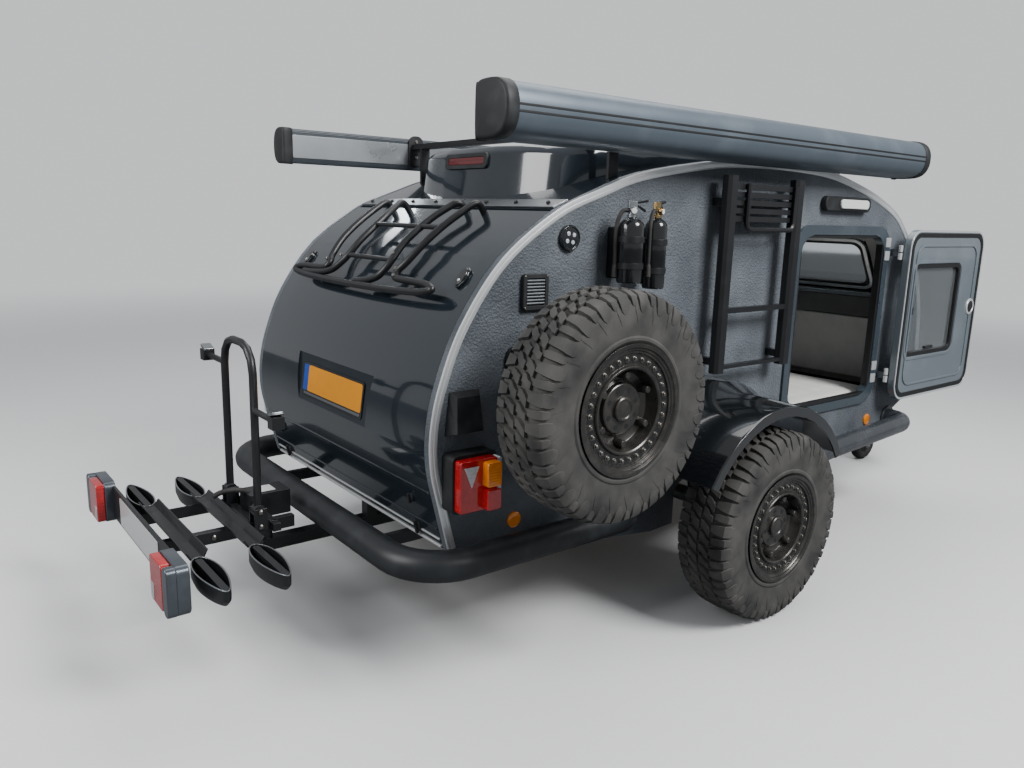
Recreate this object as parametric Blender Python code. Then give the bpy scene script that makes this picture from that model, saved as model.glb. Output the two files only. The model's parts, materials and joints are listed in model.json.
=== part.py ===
"""Off-road teardrop camping trailer, modelled in metres with +Z up and +Y forward.

Every place is measured from the axle: x = 0 is the middle of the trailer, y = 0 the axle
and z = 0 the ground. A root empty then moves the whole trailer so that the origin lies
under the middle of its length.
"""
import math

import bmesh
import bpy
from mathutils import Matrix, Vector

# Fits and clearances
GAP = 0.0003
RUNNING_GAP = 0.006
OVERRUN = 0.05
WELD_DEPTH = 0.004

# Reach of the whole trailer from the axle
REAR_REACH = 2.13
FRONT_REACH = 3.12

# Body shell
BODY_WIDTH = 1.50
BODY_LENGTH = 3.303
BODY_REAR = 1.323
BODY_HEIGHT = 1.571
BODY_LOW = 0.25
SIDE_WALL = 0.030
SKIN = 0.025
HALF_BODY = BODY_WIDTH / 2
INNER_HALF = HALF_BODY - SIDE_WALL - GAP
OUTER_SEAT = HALF_BODY + GAP

# Outlines as shares of the body's length, from its rear, and of its height, from its low edge
HATCH_LINE_SHARES = (
    (0.0242, 0.1050), (0.0127, 0.1992), (0.0015, 0.2992), (0.0012, 0.3877),
    (0.0115, 0.4825), (0.0369, 0.6073), (0.0869, 0.7448), (0.1592, 0.8504),
)
ROOF_LINE_SHARES = (
    (0.1592, 0.8504), (0.2234, 0.9032), (0.2858, 0.9459), (0.3899, 0.9822),
    (0.4681, 0.9975), (0.5780, 1.0000), (0.6776, 0.9885), (0.7624, 0.9548),
    (0.8247, 0.9192), (0.8762, 0.8765), (0.9122, 0.8180), (0.9455, 0.7447),
    (0.9758, 0.6365), (0.9939, 0.5092), (1.0000, 0.3819), (0.9939, 0.2864),
    (0.9830, 0.2285),
)
NOSE_END_SHARES = ((0.9485, 0.1961), (0.9225, 0.1687))
SKIRT_SHARES = ((0.9485, 0.1961), (0.9064, 0.1521), (0.4384, 0.0121), (0.3391, 0.0), (0.1829, 0.0395))
LINE_STEPS = 3

# Hinge rail
RAIL_WIDTH = 0.075
RAIL_THICK = 0.008
HATCH_TOP_GAP = 0.010
HINGE_LIFT = 0.004

# Chassis
RAIL_X = 0.45
RAIL_TALL = 0.080
RAIL_WIDE = 0.050
RAIL_TOP = 0.500
RAIL_REAR = 1.170
RAIL_FRONT = 1.350
DRAWBAR_START = 1.325
DRAWBAR_NOSE = 2.86
DRAWBAR_NOSE_X = 0.045
CROSS_PLACE_SHARES = (-1.0, 0.0, 0.70)
FLOOR_THICK = 0.030
FLOOR_FRONT = 1.80

# Axle and hubs
WHEEL_X = 1.1435
WHEEL_RADIUS = 0.385
AXLE_RADIUS = 0.0345
HUB_RADIUS = 0.075
HUB_LONG = 0.060
AXLE_NOTCH = 0.130
DRUM_RADIUS = 0.130
DRUM_LONG = 0.050

# Tyres
TYRE_WIDTH = 0.235
LUG_TALL = 0.013
LUG_COUNT = 18
LUG_LONG_SHARE = 0.56
LUG_TAPER_SHARE = 0.90
LUG_SKEW_SHARE = 0.35
# Columns: share of half the width, share of the way from the rim's lip to the tread
TYRE_WALL_SHARES = ((0.96, 0.10), (1.0, 0.40), (0.955, 0.78))
TYRE_TREAD_SHARES = ((0.80, 1.0), (0.42, 1.0), (0.30, 1.0))

# Rims: columns are place along the axle and radius, from the cap to the back of the hub
RIM_LIP_RADIUS = 0.221
RIM_SEAT_RADIUS = 0.2032
RIM_LIP_PLACE = 0.1175
RIM_LIP_SEAT = 0.1000
RIM_RING_WIDTH = 0.030
RIM_DISC_FACE = 0.058
RIM_DISC_BACK = 0.036
RIM_STEP = 0.014
RIM_CAP_RADIUS = 0.042
RIM_CAP_TALL = 0.022
RIM_HUB_RADIUS = 0.098
RIM_WINDOW_RADIUS = 0.0165
RIM_WINDOW_CIRCLE = 0.142
RIM_WINDOWS = 10
RIM_STEPS = 24

# Spare wheel
SPARE_Y = -0.865
SPARE_Z = 0.964
SPARE_X = 1.1075
SPARE_PLATE = 0.30
SPARE_PLATE_THICK = 0.012
SPARE_POST_RADIUS = 0.045

# Fenders
FENDER_RADIUS = 0.490
FENDER_THICK = 0.008
FENDER_LIP = 0.045
FENDER_OUT = 1.225
FENDER_BULGE = 0.035
FENDER_BULGE_X = 0.93
FENDER_HALF_ANGLE = math.radians(61)
FENDER_STEPS = 14

# Bumper and slider tubes
BUMPER_RADIUS = 0.055
BUMPER_REAR = 1.42
BUMPER_Z = 0.405
BUMPER_X = 0.85
BUMPER_FRONT = 0.44
BUMPER_BEND = 0.20
BUMPER_END_BEND = 0.07
BUMPER_TUBE_SIDES = 10
BUMPER_PLATE = 0.012
BUMPER_FLANGE = 0.085
BUMPER_BRACKET_TALL = 0.06
SLIDER_RADIUS = 0.050
SLIDER_Z = 0.500
SLIDER_DROP = 0.06
SLIDER_REAR = 0.62
SLIDER_FRONT = 1.72
SLIDER_X = 0.86

# Door: frame, leaf and hinge
DOOR_REAR = 0.66
DOOR_FRONT = 1.51
DOOR_LOW = 0.62
DOOR_TOP = 1.555
DOOR_CORNER = 0.10
FRAME_WIDTH = 0.045
FRAME_PROUD = 0.012
FRAME_JAMB = 0.012
LEAF_THICK = 0.045
LEAF_OVERLAP = 0.012
SEAL_GAP = 0.005
HINGE_X = 0.815
HINGE_Y = 1.530
HINGE_PIN = 0.010
HINGE_LONG = 0.035
HINGE_SHARES = (0.14, 0.84)
HINGE_LEAF = 0.010
LEAF_EDGE = 0.016
WINDOW_NEAR = 0.070
WINDOW_WIDE = 0.48
WINDOW_TALL = 0.50
WINDOW_LOW = 0.865
WINDOW_CORNER = 0.05
WINDOW_BEZEL = 0.022
WINDOW_BEZEL_PROUD = 0.005
GLASS_THICK = 0.004
LOCK_RADIUS = 0.028
LOCK_PROUD = 0.020
LOCK_Z = 1.11
LOCK_INSET = 0.085
CORNER_STEPS = 3
DOOR_OPEN_ANGLE = math.pi

# Cabin and galley
BULKHEAD_Y = -0.36
BULKHEAD_THICK = 0.018
LINING_GAP = 0.004
MATTRESS_TALL = 0.145
MATTRESS_FRONT = 1.70
MATTRESS_CORNER = 0.05
WORKTOP_Z = 0.93
WORKTOP_THICK = 0.030
GALLEY_DEEP = 0.62
GALLEY_SHELF_Z = 0.72
GALLEY_POST = 0.018

# Roof pod and its brake lamp
POD_HALF = 0.60
POD_REAR_LOW = 0.680
POD_REAR_TOP = 0.555
POD_FRONT = 0.25
POD_TOP = 1.800
POD_CROWN = 0.035
POD_STATION_SHARES = (-1.0, -0.93, -0.6, -0.2, 0.2, 0.6, 0.93, 1.0)
POD_EDGE_SHARE = 0.78
POD_RISE = 0.028
BRAKE_WIDE = 0.28
BRAKE_TALL = 0.040
BRAKE_PROUD = 0.012
BRAKE_HEIGHT_SHARE = 0.72

# Awning cases and crossbars
AWNING_LONG = 2.85
AWNING_REAR = 1.20
AWNING_RIGHT_X = 0.765
AWNING_RIGHT_WIDE = 0.165
AWNING_RIGHT_LOW = 1.838
AWNING_RIGHT_TALL = 0.150
AWNING_LEFT_X = 0.765
AWNING_LEFT_WIDE = 0.105
AWNING_LEFT_LOW = 1.80
AWNING_LEFT_TALL = 0.135
AWNING_CAP_LONG = 0.030
AWNING_CAP_PROUD = 0.005
CROSSBAR_Y = (-0.46, 1.08)
CROSSBAR_Z = 1.875
CROSSBAR_TALL = 0.026
CROSSBAR_WIDE = 0.050
CROSSBAR_FOOT = 0.67
CROSSBAR_FOOT_THICK = 0.014

# Hatch fittings
RACK_TUBE = 0.014
RACK_SIDES = 8
RACK_HALF = 0.60
RACK_RAIL_X = (0.30, 0.235)
RACK_STAND = 0.055
RACK_LOW_SHARE = 0.66
RACK_HIGH_SHARE = 0.955
RACK_RUNG_SHARES = (0.77, 0.86)
RACK_END_BEND = 0.04
PLATE_CENTRE_SHARE = 0.335
RECESS_DEEP = 0.010
RECESS_LOW_WIDE = 0.60
RECESS_TOP_WIDE = 0.66
RECESS_TALL = 0.20
LAMP_OVAL_X = 0.625
LAMP_OVAL_SHARE = 0.79
LAMP_OVAL_LONG = 0.080
LAMP_OVAL_WIDE = 0.045
LAMP_OVAL_PROUD = 0.012

# Side fittings of the right wall
VENT_REAR = 0.952
VENT_WIDE = 0.113
VENT_LOW = 1.240
VENT_TALL = 0.125
VENT_PROUD = 0.018
VENT_SLATS = 5
WEDGE_REAR = 1.262
WEDGE_LONG = 0.140
WEDGE_LOW = 0.830
WEDGE_TALL = 0.150
WEDGE_PROUD = 0.055
WEDGE_EDGE = 0.016
TAIL_REAR = 1.272
TAIL_LONG = 0.185
TAIL_LOW = 0.570
TAIL_TALL = 0.205
TAIL_OUT = 0.105
TAIL_RAKE = 0.028
TAIL_CORNER = 0.020
PORCH_REAR = 0.842
PORCH_LONG = 0.405
PORCH_LOW = 1.622
PORCH_TALL = 0.070
PORCH_PROUD = 0.045

# Extinguishers: columns are middle y, foot z, radius and height of the bottle
BOTTLE_PLACES = (
    (-0.525, 1.330, 0.056, 0.250),
    (-0.388, 1.305, 0.046, 0.275),
)
BOTTLE_X = 0.845
BOTTLE_HEAD = 0.060
BOTTLE_CLAMP_TALL = 0.025
BOTTLE_CLAMP_SHARE = 0.55
BOTTLE_SIDES = 12

# Ladder
LADDER_REAR = 0.030
LADDER_LONG = 0.530
LADDER_LOW = 0.930
LADDER_TOP = 1.745
LADDER_X = 0.800
STILE_DEEP = 0.050
STILE_WIDE = 0.062
RUNG_TALL = 0.022
RUNG_SHARES = (0.31, 0.775, 0.815, 0.855, 0.895, 0.935)
LADDER_HANDLE_Z = 1.53
LADDER_HANDLE_TUBE = 0.011
LADDER_FOOT = 0.030

# Jockey wheel and coupler
COUPLER_LONG = 0.30
COUPLER_WIDE = 0.080
COUPLER_TALL = 0.065
COUPLER_HEAD_RADIUS = 0.042
SOCKET_RADIUS = 0.026
LEVER_LONG = 0.17
LEVER_THICK = 0.016
JOCKEY_Y = 2.52
JOCKEY_X = 0.235
JOCKEY_TUBE = 0.030
JOCKEY_TUBE_LOW = 0.300
JOCKEY_TUBE_TOP = 0.800
JOCKEY_INNER = 0.024
JOCKEY_WHEEL = 0.110
JOCKEY_TYRE = 0.060
JOCKEY_TRAIL = 0.045
JOCKEY_FORK = 0.008
JOCKEY_FORK_GAP = 0.008
JOCKEY_HANDLE = 0.10
CLAMP_TALL = 0.070

# Corner steadies
STEADY_X = 0.60
STEADY_Y = -0.35
STEADY_LONG = 0.42
STEADY_WIDE = 0.035
STEADY_THICK = 0.030
STEADY_FOOT = 0.060
STEADY_EAR = 0.010
STEADY_Z = 0.352

# Bike carrier
BALL_Y = -1.60
BALL_Z = 0.425
BALL_RADIUS = 0.025
RECEIVER_WIDE = 0.050
RECEIVER_Z = 0.270
RECEIVER_FRONT = -0.98
BEAM_X = (-0.14, 0.17)
BEAM_WIDE = 0.030
BEAM_TALL = 0.045
BEAM_Z = 0.415
BEAM_REAR = 2.055
COUPLING_WIDE = 0.110
COUPLING_LONG = 0.160
COUPLING_TALL = 0.095
TRAY_Y = (-1.79, -1.98)
TRAY_LEFT = -0.45
TRAY_RIGHT = 0.68
TRAY_WIDE = 0.075
TRAY_TALL = 0.028
TRAY_WALL = 0.005
TRAY_CUP_LONG = 0.26
BOARD_LEFT = -0.62
BOARD_RIGHT = 0.69
BOARD_Z = 0.40
BOARD_TALL = 0.110
BOARD_THICK = 0.012
BOARD_LAMP_LONG = 0.16
BOARD_LAMP_TALL = 0.130
HOOP_Y = -1.70
HOOP_BASE_Z = 0.485
HOOP_TOP = 1.09
HOOP_X = (-0.10, 0.19)
HOOP_TUBE = 0.0145
HOOP_BEND = 0.10
HOOP_HUB = 0.024
HOOP_HUB_HALF = 0.019
HOOP_EAR = 0.008
HOOP_ARM_Z = 0.86
HOOP_ARM_LONG = 0.20
HOOP_CLAMP = 0.022

# Colours: red, green, blue, roughness and metallic value
PAINT_GLOSS = (0.045, 0.062, 0.080, 0.20, 0.0)
PAINT_COARSE = (0.080, 0.095, 0.115, 0.75, 0.0)
PAINT_FRAME = (0.130, 0.150, 0.175, 0.35, 0.0)
BLACK_POWDER = (0.020, 0.021, 0.023, 0.50, 0.2)
TUBE_GREY = (0.055, 0.062, 0.070, 0.55, 0.1)
GALVANISED = (0.55, 0.56, 0.57, 0.45, 1.0)
RUBBER = (0.018, 0.018, 0.018, 0.85, 0.0)
DARK_ALLOY = (0.050, 0.046, 0.044, 0.40, 0.8)
AWNING_GREY = (0.070, 0.080, 0.092, 0.40, 0.3)
ANODISED = (0.50, 0.52, 0.54, 0.35, 0.9)
RED_LENS = (0.60, 0.02, 0.02, 0.15, 0.0)
WHITE_FABRIC = (0.80, 0.80, 0.78, 0.90, 0.0)
PLYWOOD = (0.42, 0.30, 0.18, 0.60, 0.0)
TINTED_GLASS = (0.030, 0.034, 0.036, 0.08, 0.0)


def clear_scene():
    """Remove every object that the file opened with."""
    for obj in list(bpy.data.objects):
        bpy.data.objects.remove(obj, do_unlink=True)


def make_material(name, look):
    """Return a Principled material from a row of colour, roughness and metallic value."""
    red, green, blue, rough, metal = look
    material = bpy.data.materials.new(name)
    material.use_nodes = True
    shader = material.node_tree.nodes["Principled BSDF"]
    shader.inputs["Base Color"].default_value = (red, green, blue, 1.0)
    shader.inputs["Roughness"].default_value = rough
    shader.inputs["Metallic"].default_value = metal
    return material


# Lines and outlines in a plane

def smooth_line(points, steps):
    """Run a Catmull-Rom curve through the points, with some steps in each span."""
    line = []
    last = len(points) - 1
    for index in range(last):
        before = Vector(points[max(index - 1, 0)])
        start = Vector(points[index])
        stop = Vector(points[index + 1])
        after = Vector(points[min(index + 2, last)])
        for step in range(steps):
            t = step / steps
            leave = (stop - before) * 0.5
            arrive = (after - start) * 0.5
            line.append(tuple(
                start * (2 * t**3 - 3 * t**2 + 1) + leave * (t**3 - 2 * t**2 + t)
                + stop * (3 * t**2 - 2 * t**3) + arrive * (t**3 - t**2)
            ))
    line.append(tuple(points[last]))
    return line


def slice_line(line, start, stop):
    """Return the stretch of a line between two lengths along it."""
    piece = []
    walked = 0.0
    for a, b in zip(line, line[1:]):
        a, b = Vector(a), Vector(b)
        span = (b - a).length
        low, high = max(start - walked, 0.0), min(stop - walked, span)
        if high > low:
            if not piece:
                piece.append(tuple(a.lerp(b, low / span)))
            piece.append(tuple(a.lerp(b, high / span)))
        walked += span
    return piece


def line_length(line):
    """Return the length of a line."""
    return sum((Vector(b) - Vector(a)).length for a, b in zip(line, line[1:]))


def offset_line(line, distance, closed=False):
    """Shift a line to its left by a distance, with mitred corners."""
    count = len(line)
    moved = []
    for index in range(count):
        here = Vector(line[index])
        before = Vector(line[index - 1]) if closed or index > 0 else None
        after = Vector(line[(index + 1) % count]) if closed or index < count - 1 else None
        sides = []
        if before is not None:
            sides.append((here - before).normalized())
        if after is not None:
            sides.append((after - here).normalized())
        normals = [Vector((-side.y, side.x)) for side in sides]
        mean = sum(normals, Vector((0, 0))).normalized()
        moved.append(tuple(here + mean * (distance / mean.dot(normals[0]))))
    return moved


def rounded_rectangle(low_u, low_v, high_u, high_v, radius, steps=CORNER_STEPS):
    """Return the outline of a rectangle with round corners."""
    corners = (
        (high_u - radius, low_v + radius, -0.5), (high_u - radius, high_v - radius, 0.0),
        (low_u + radius, high_v - radius, 0.5), (low_u + radius, low_v + radius, 1.0),
    )
    outline = []
    for centre_u, centre_v, quarter_turns in corners:
        for step in range(steps + 1):
            angle = (quarter_turns + 0.5 * step / steps) * math.pi
            outline.append((centre_u + radius * math.cos(angle), centre_v + radius * math.sin(angle)))
    return outline


def oval(centre_u, centre_v, radius_u, radius_v, steps):
    """Return an oval outline."""
    angles = [2 * math.pi * step / steps for step in range(steps)]
    return [(centre_u + radius_u * math.cos(a), centre_v + radius_v * math.sin(a)) for a in angles]


def bent_path(points, radius, steps=CORNER_STEPS):
    """Round the corners of a path in space with arcs of one bend radius."""
    path = [Vector(points[0])]
    for before, here, after in zip(points, points[1:], points[2:]):
        here = Vector(here)
        back = (Vector(before) - here).normalized()
        ahead = (Vector(after) - here).normalized()
        half = back.angle(ahead) / 2
        reach = radius / math.tan(half)
        centre = here + (back + ahead).normalized() * (radius / math.sin(half))
        start = here + back * reach - centre
        stop = here + ahead * reach - centre
        swing = start.angle(stop)
        for step in range(steps + 1):
            t = step / steps
            mix = start * math.sin((1 - t) * swing) + stop * math.sin(t * swing)
            path.append(centre + mix / math.sin(swing))
    path.append(Vector(points[-1]))
    return path


# Solids

def finish_mesh(work, name="solid"):
    """Turn a bmesh into a mesh whose faces point out."""
    bmesh.ops.recalc_face_normals(work, faces=work.faces)
    mesh = bpy.data.meshes.new(name)
    work.to_mesh(mesh)
    work.free()
    return mesh


def skin_rings(rings, close_ends=True, close_loop=False):
    """Join rings of points, one after another, into a closed solid."""
    work = bmesh.new()
    grid = [[work.verts.new(point) for point in ring] for ring in rings]
    count = len(rings[0])
    pairs = list(zip(grid, grid[1:]))
    if close_loop:
        pairs.append((grid[-1], grid[0]))
    for ring, following in pairs:
        for index in range(count):
            after = (index + 1) % count
            work.faces.new((ring[index], ring[after], following[after], following[index]))
    if close_ends and not close_loop:
        work.faces.new(grid[0])
        work.faces.new(grid[-1])
    return finish_mesh(work)


def place_point(axis, along, u, v):
    """Return the point in space of a flat point at a place along an axis."""
    return {"x": (along, u, v), "y": (u, along, v), "z": (u, v, along)}[axis]


def prism(outline, axis, low, high):
    """Extrude an outline along an axis: its points are (y, z), (x, z) or (x, y)."""
    rings = [[place_point(axis, along, u, v) for u, v in outline] for along in (low, high)]
    return skin_rings(rings)


def block(low, high):
    """Return a box between two corners."""
    outline = [(low[1], low[2]), (high[1], low[2]), (high[1], high[2]), (low[1], high[2])]
    return prism(outline, "x", low[0], high[0])


def tube(path, radius, sides, flat=1.0):
    """Sweep a circle along a path, closed at both ends."""
    points = [Vector(point) for point in path]
    tangents = []
    for index in range(len(points)):
        ahead = points[min(index + 1, len(points) - 1)] - points[index]
        behind = points[index] - points[max(index - 1, 0)]
        tangents.append((ahead.normalized() + behind.normalized()).normalized())
    up = Vector((0, 0, 1)) if abs(tangents[0].z) < 0.9 else Vector((1, 0, 0))
    side = tangents[0].cross(up).normalized()
    rings = []
    for index, (point, tangent) in enumerate(zip(points, tangents)):
        side = (side - tangent * side.dot(tangent)).normalized()
        rise = side.cross(tangent)
        ahead = points[min(index + 1, len(points) - 1)] - points[max(index, 1) - 1]
        stretch = 1.0
        if 0 < index < len(points) - 1:
            stretch = 1 / max(tangent.dot((points[index] - points[index - 1]).normalized()), 0.5)
            bend = (points[index + 1] - points[index]).normalized() - (points[index] - points[index - 1]).normalized()
            bend = bend.normalized() if bend.length > 1e-6 else side
        else:
            bend = side
        ring = []
        for step in range(sides):
            angle = 2 * math.pi * (step + 0.5) / sides
            arm = side * math.cos(angle) * radius + rise * math.sin(angle) * radius * flat
            ring.append(point + arm + bend * arm.dot(bend) * (stretch - 1))
        rings.append(ring)
    return skin_rings(rings)


def cylinder(start, stop, radius, sides=16):
    """Return a straight round bar between two points."""
    return tube((start, stop), radius, sides)


def beam(start, stop, wide, tall):
    """Return a flat-lying rectangular bar between two points at one height."""
    start, stop = Vector(start), Vector(stop)
    ahead = (stop - start).normalized()
    side = ahead.cross(Vector((0, 0, 1))).normalized() * (wide / 2)
    rise = side.cross(ahead).normalized() * (tall / 2)
    rings = [[p - side - rise, p + side - rise, p + side + rise, p - side + rise] for p in (start, stop)]
    return skin_rings(rings)


def turned(profile, steps, centre=(0, 0, 0), axis="x"):
    """Turn an open profile of (along, radius) points, both ends on the axis."""
    work = bmesh.new()
    centre = Vector(centre)
    rings = []
    for along, radius in profile:
        if radius == 0:
            spot = Vector(place_point(axis, along, 0.0, 0.0))
            rings.append([work.verts.new(centre + spot)])
            continue
        ring = []
        for step in range(steps):
            angle = 2 * math.pi * step / steps
            spot = place_point(axis, along, radius * math.cos(angle), radius * math.sin(angle))
            ring.append(work.verts.new(centre + Vector(spot)))
        rings.append(ring)
    for ring, following in zip(rings, rings[1:]):
        for step in range(steps):
            after = (step + 1) % steps
            corners = [ring[step % len(ring)], ring[after % len(ring)]]
            corners += [following[after % len(following)], following[step % len(following)]]
            work.faces.new(list(dict.fromkeys(corners)))
    return finish_mesh(work)


def combine(base, others, operation):
    """Apply one exact Boolean operation of the other meshes on the base."""
    scene = bpy.context.scene.collection
    target = bpy.data.objects.new("target", base)
    scene.objects.link(target)
    tools = []
    for other in others:
        tool = bpy.data.objects.new("tool", other)
        scene.objects.link(tool)
        change = target.modifiers.new("change", "BOOLEAN")
        change.operation = operation
        change.solver = "EXACT"
        change.object = tool
        tools.append(tool)
    bpy.context.view_layer.update()
    result = bpy.data.meshes.new_from_object(target.evaluated_get(bpy.context.evaluated_depsgraph_get()))
    for obj in tools + [target]:
        bpy.data.objects.remove(obj, do_unlink=True)
    return result


def fuse(*meshes):
    """Join meshes that overlap into one closed body."""
    return combine(meshes[0], meshes[1:], "UNION")


def cut(mesh, *cutters):
    """Take the cutters away from a mesh."""
    return combine(mesh, cutters, "DIFFERENCE")


def moved(mesh, matrix):
    """Return the mesh after a move."""
    mesh.transform(matrix)
    return mesh


def mirrored(mesh):
    """Return a copy of the mesh for the other side of the trailer."""
    copy = mesh.copy()
    copy.transform(Matrix.Scale(-1, 4, (1, 0, 0)))
    copy.flip_normals()
    return copy


class Trailer:
    """Holds the root empty and adds pieces to it."""

    def __init__(self):
        self.root = bpy.data.objects.new("trailer_root", None)
        self.root.location = (0, (REAR_REACH - FRONT_REACH) / 2, 0)
        bpy.context.scene.collection.objects.link(self.root)

    def pivot(self, name, place, parent=None):
        """Add an empty on a joint's axis."""
        empty = bpy.data.objects.new(name, None)
        empty.location = place
        empty.parent = parent or self.root
        bpy.context.scene.collection.objects.link(empty)
        return empty

    def add(self, name, mesh, material, pivot=None, smooth=True):
        """Add a mesh, given in the axle's frame, as a named piece on its pivot or on the root."""
        mesh.name = name
        holder = pivot or self.root
        if pivot is not None:
            origin = Vector(pivot.location)
            upper = pivot.parent
            while upper is not None and upper is not self.root:
                origin += Vector(upper.location)
                upper = upper.parent
            mesh.transform(Matrix.Translation(-origin))
        mesh.materials.clear()
        mesh.materials.append(material)
        if smooth:
            mesh.shade_smooth()
            mesh.set_sharp_from_angle(angle=math.radians(32))
        piece = bpy.data.objects.new(name, mesh)
        piece.parent = holder
        bpy.context.scene.collection.objects.link(piece)
        return piece

    def add_pair(self, stem, mesh, material):
        """Add a right-hand piece and its mirror image."""
        other = mirrored(mesh)
        self.add(stem + "_right", mesh, material)
        self.add(stem + "_left", other, material)


# The body's lines, in (y, z)

def from_shares(shares):
    """Turn shares of the body's length and height into places."""
    return [(share_y * BODY_LENGTH - BODY_REAR, share_z * BODY_HEIGHT + BODY_LOW) for share_y, share_z in shares]


HATCH_LINE = smooth_line(from_shares(HATCH_LINE_SHARES), LINE_STEPS)
ROOF_LINE = smooth_line(from_shares(ROOF_LINE_SHARES), LINE_STEPS)
SKIRT_LINE = from_shares(SKIRT_SHARES)
BODY_OUTLINE = HATCH_LINE + ROOF_LINE[1:] + SKIRT_LINE
HATCH_LONG = line_length(HATCH_LINE)
HATCH_HINGE = HATCH_LINE[-1]


def line_at(line, length):
    """Return the point and the outward direction at a length along a body line."""
    start, *_, stop = slice_line(line, length - WELD_DEPTH, length + WELD_DEPTH)
    ahead = (Vector(stop) - Vector(start)).normalized()
    return Vector(start).lerp(Vector(stop), 0.5), Vector((-ahead.y, ahead.x))


def body_filler(grow):
    """Return the whole body as one block, grown by a clearance, to seat pieces on."""
    outline = offset_line(BODY_OUTLINE, grow, closed=True)
    return prism(outline, "x", -HALF_BODY, HALF_BODY)


def strip(line, low_offset, high_offset, half):
    """Return a sheet that follows a body line between two offsets."""
    outline = offset_line(line, high_offset) + offset_line(line, low_offset)[::-1]
    return prism(outline, "x", -half, half)


def door_outline(shrink, corner=DOOR_CORNER):
    """Return the door frame's outline, made smaller all round."""
    return rounded_rectangle(
        DOOR_REAR + shrink, DOOR_LOW + shrink, DOOR_FRONT - shrink, DOOR_TOP - shrink, corner)


# Shell

def build_sides(trailer, material):
    """Add both side walls with door openings and notches for the axle."""
    wall = prism(BODY_OUTLINE, "x", HALF_BODY - SIDE_WALL, HALF_BODY)
    opening = prism(door_outline(FRAME_WIDTH - FRAME_JAMB), "x", HALF_BODY - SIDE_WALL - OVERRUN,
                    HALF_BODY + OVERRUN)
    half = AXLE_NOTCH / 2
    notch = prism(
        [(-half, 0.0), (half, 0.0), (half, WHEEL_RADIUS)]
        + [(half * math.cos(a), WHEEL_RADIUS + half * math.sin(a))
           for a in (math.pi * step / 6 for step in range(1, 6))]
        + [(-half, WHEEL_RADIUS)],
        "x", HALF_BODY - SIDE_WALL - OVERRUN, HALF_BODY + OVERRUN)
    trailer.add_pair("side_wall", cut(wall, opening, notch), material)


def build_roof(trailer, material):
    """Add the skin that runs from the hatch hinge over the roof and down the nose."""
    line = slice_line(ROOF_LINE, HATCH_TOP_GAP, line_length(ROOF_LINE)) + from_shares(NOSE_END_SHARES)
    trailer.add("roof_skin", strip(line, -SKIN, 0.0, INNER_HALF), material)


def build_hinge_rail(trailer, material):
    """Add the rail that carries the hatch hinge along the roof's rear edge."""
    line = slice_line(ROOF_LINE, HATCH_TOP_GAP, HATCH_TOP_GAP + RAIL_WIDTH)
    trailer.add("hinge_rail", strip(line, GAP, GAP + RAIL_THICK, INNER_HALF), material)


def build_floor(trailer, material):
    """Add the floor board on the chassis."""
    low = RAIL_TOP + GAP
    board = block((-INNER_HALF, -RAIL_REAR, low), (INNER_HALF, FLOOR_FRONT, low + FLOOR_THICK))
    filler = body_filler(-SKIN - LINING_GAP)
    trailer.add("floor_board", combine(board, [filler], "INTERSECT"), material)


def build_cabin(trailer, wood, fabric):
    """Add the bulkhead, the galley behind it and the mattress in front of it."""
    floor_top = RAIL_TOP + GAP + FLOOR_THICK + GAP
    half = INNER_HALF - GAP
    inside = body_filler(-SKIN - GAP)
    wall = block((-half, BULKHEAD_Y - BULKHEAD_THICK, floor_top), (half, BULKHEAD_Y, BODY_LOW + BODY_HEIGHT))
    trailer.add("bulkhead", combine(wall, [inside], "INTERSECT"), wood)
    rear = BULKHEAD_Y - BULKHEAD_THICK - GAP
    top = block((-half, rear - GALLEY_DEEP, WORKTOP_Z), (half, rear, WORKTOP_Z + WORKTOP_THICK))
    shelf = block((-half, rear - GALLEY_DEEP, GALLEY_SHELF_Z), (half, rear, GALLEY_SHELF_Z + GALLEY_POST))
    posts = []
    for share in (-1.0, -0.33, 0.33, 1.0):
        x = share * (half - GALLEY_POST / 2)
        posts.append(block((x - GALLEY_POST / 2, rear - GALLEY_DEEP, floor_top),
                           (x + GALLEY_POST / 2, rear, WORKTOP_Z + WORKTOP_THICK / 2)))
    trailer.add("galley", fuse(top, shelf, *posts), wood)
    front = BULKHEAD_Y + GAP
    outline = rounded_rectangle(front, floor_top, MATTRESS_FRONT, floor_top + MATTRESS_TALL, MATTRESS_CORNER, 3)
    trailer.add("mattress", prism(outline, "x", -half, half), fabric)


# Chassis and running gear

def build_chassis(trailer, material):
    """Add the rails, cross members and the A-shaped drawbar as one welded frame."""
    z = RAIL_TOP - RAIL_TALL / 2
    parts = []
    for side in (-1, 1):
        rear, bend = (side * RAIL_X, -RAIL_REAR, z), (side * RAIL_X, RAIL_FRONT, z)
        parts.append(beam(rear, bend, RAIL_WIDE, RAIL_TALL))
        parts.append(beam((side * RAIL_X, DRAWBAR_START, z),
                          (side * DRAWBAR_NOSE_X, DRAWBAR_NOSE - WELD_DEPTH, z), RAIL_WIDE, RAIL_TALL))
    for share in CROSS_PLACE_SHARES:
        y = share * (RAIL_REAR - RAIL_WIDE / 2) if share < 0 else share * RAIL_FRONT * 1.35
        parts.append(beam((-RAIL_X, y, z), (RAIL_X, y, z), RAIL_WIDE, RAIL_TALL - WELD_DEPTH))
    neck = block((-DRAWBAR_NOSE_X, DRAWBAR_NOSE - COUPLER_LONG, RAIL_TOP - RAIL_TALL + WELD_DEPTH),
                 (DRAWBAR_NOSE_X, DRAWBAR_NOSE, RAIL_TOP - WELD_DEPTH))
    trailer.add("chassis", fuse(parts[0], *parts[1:], neck, *steady_ears()), material)


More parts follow.
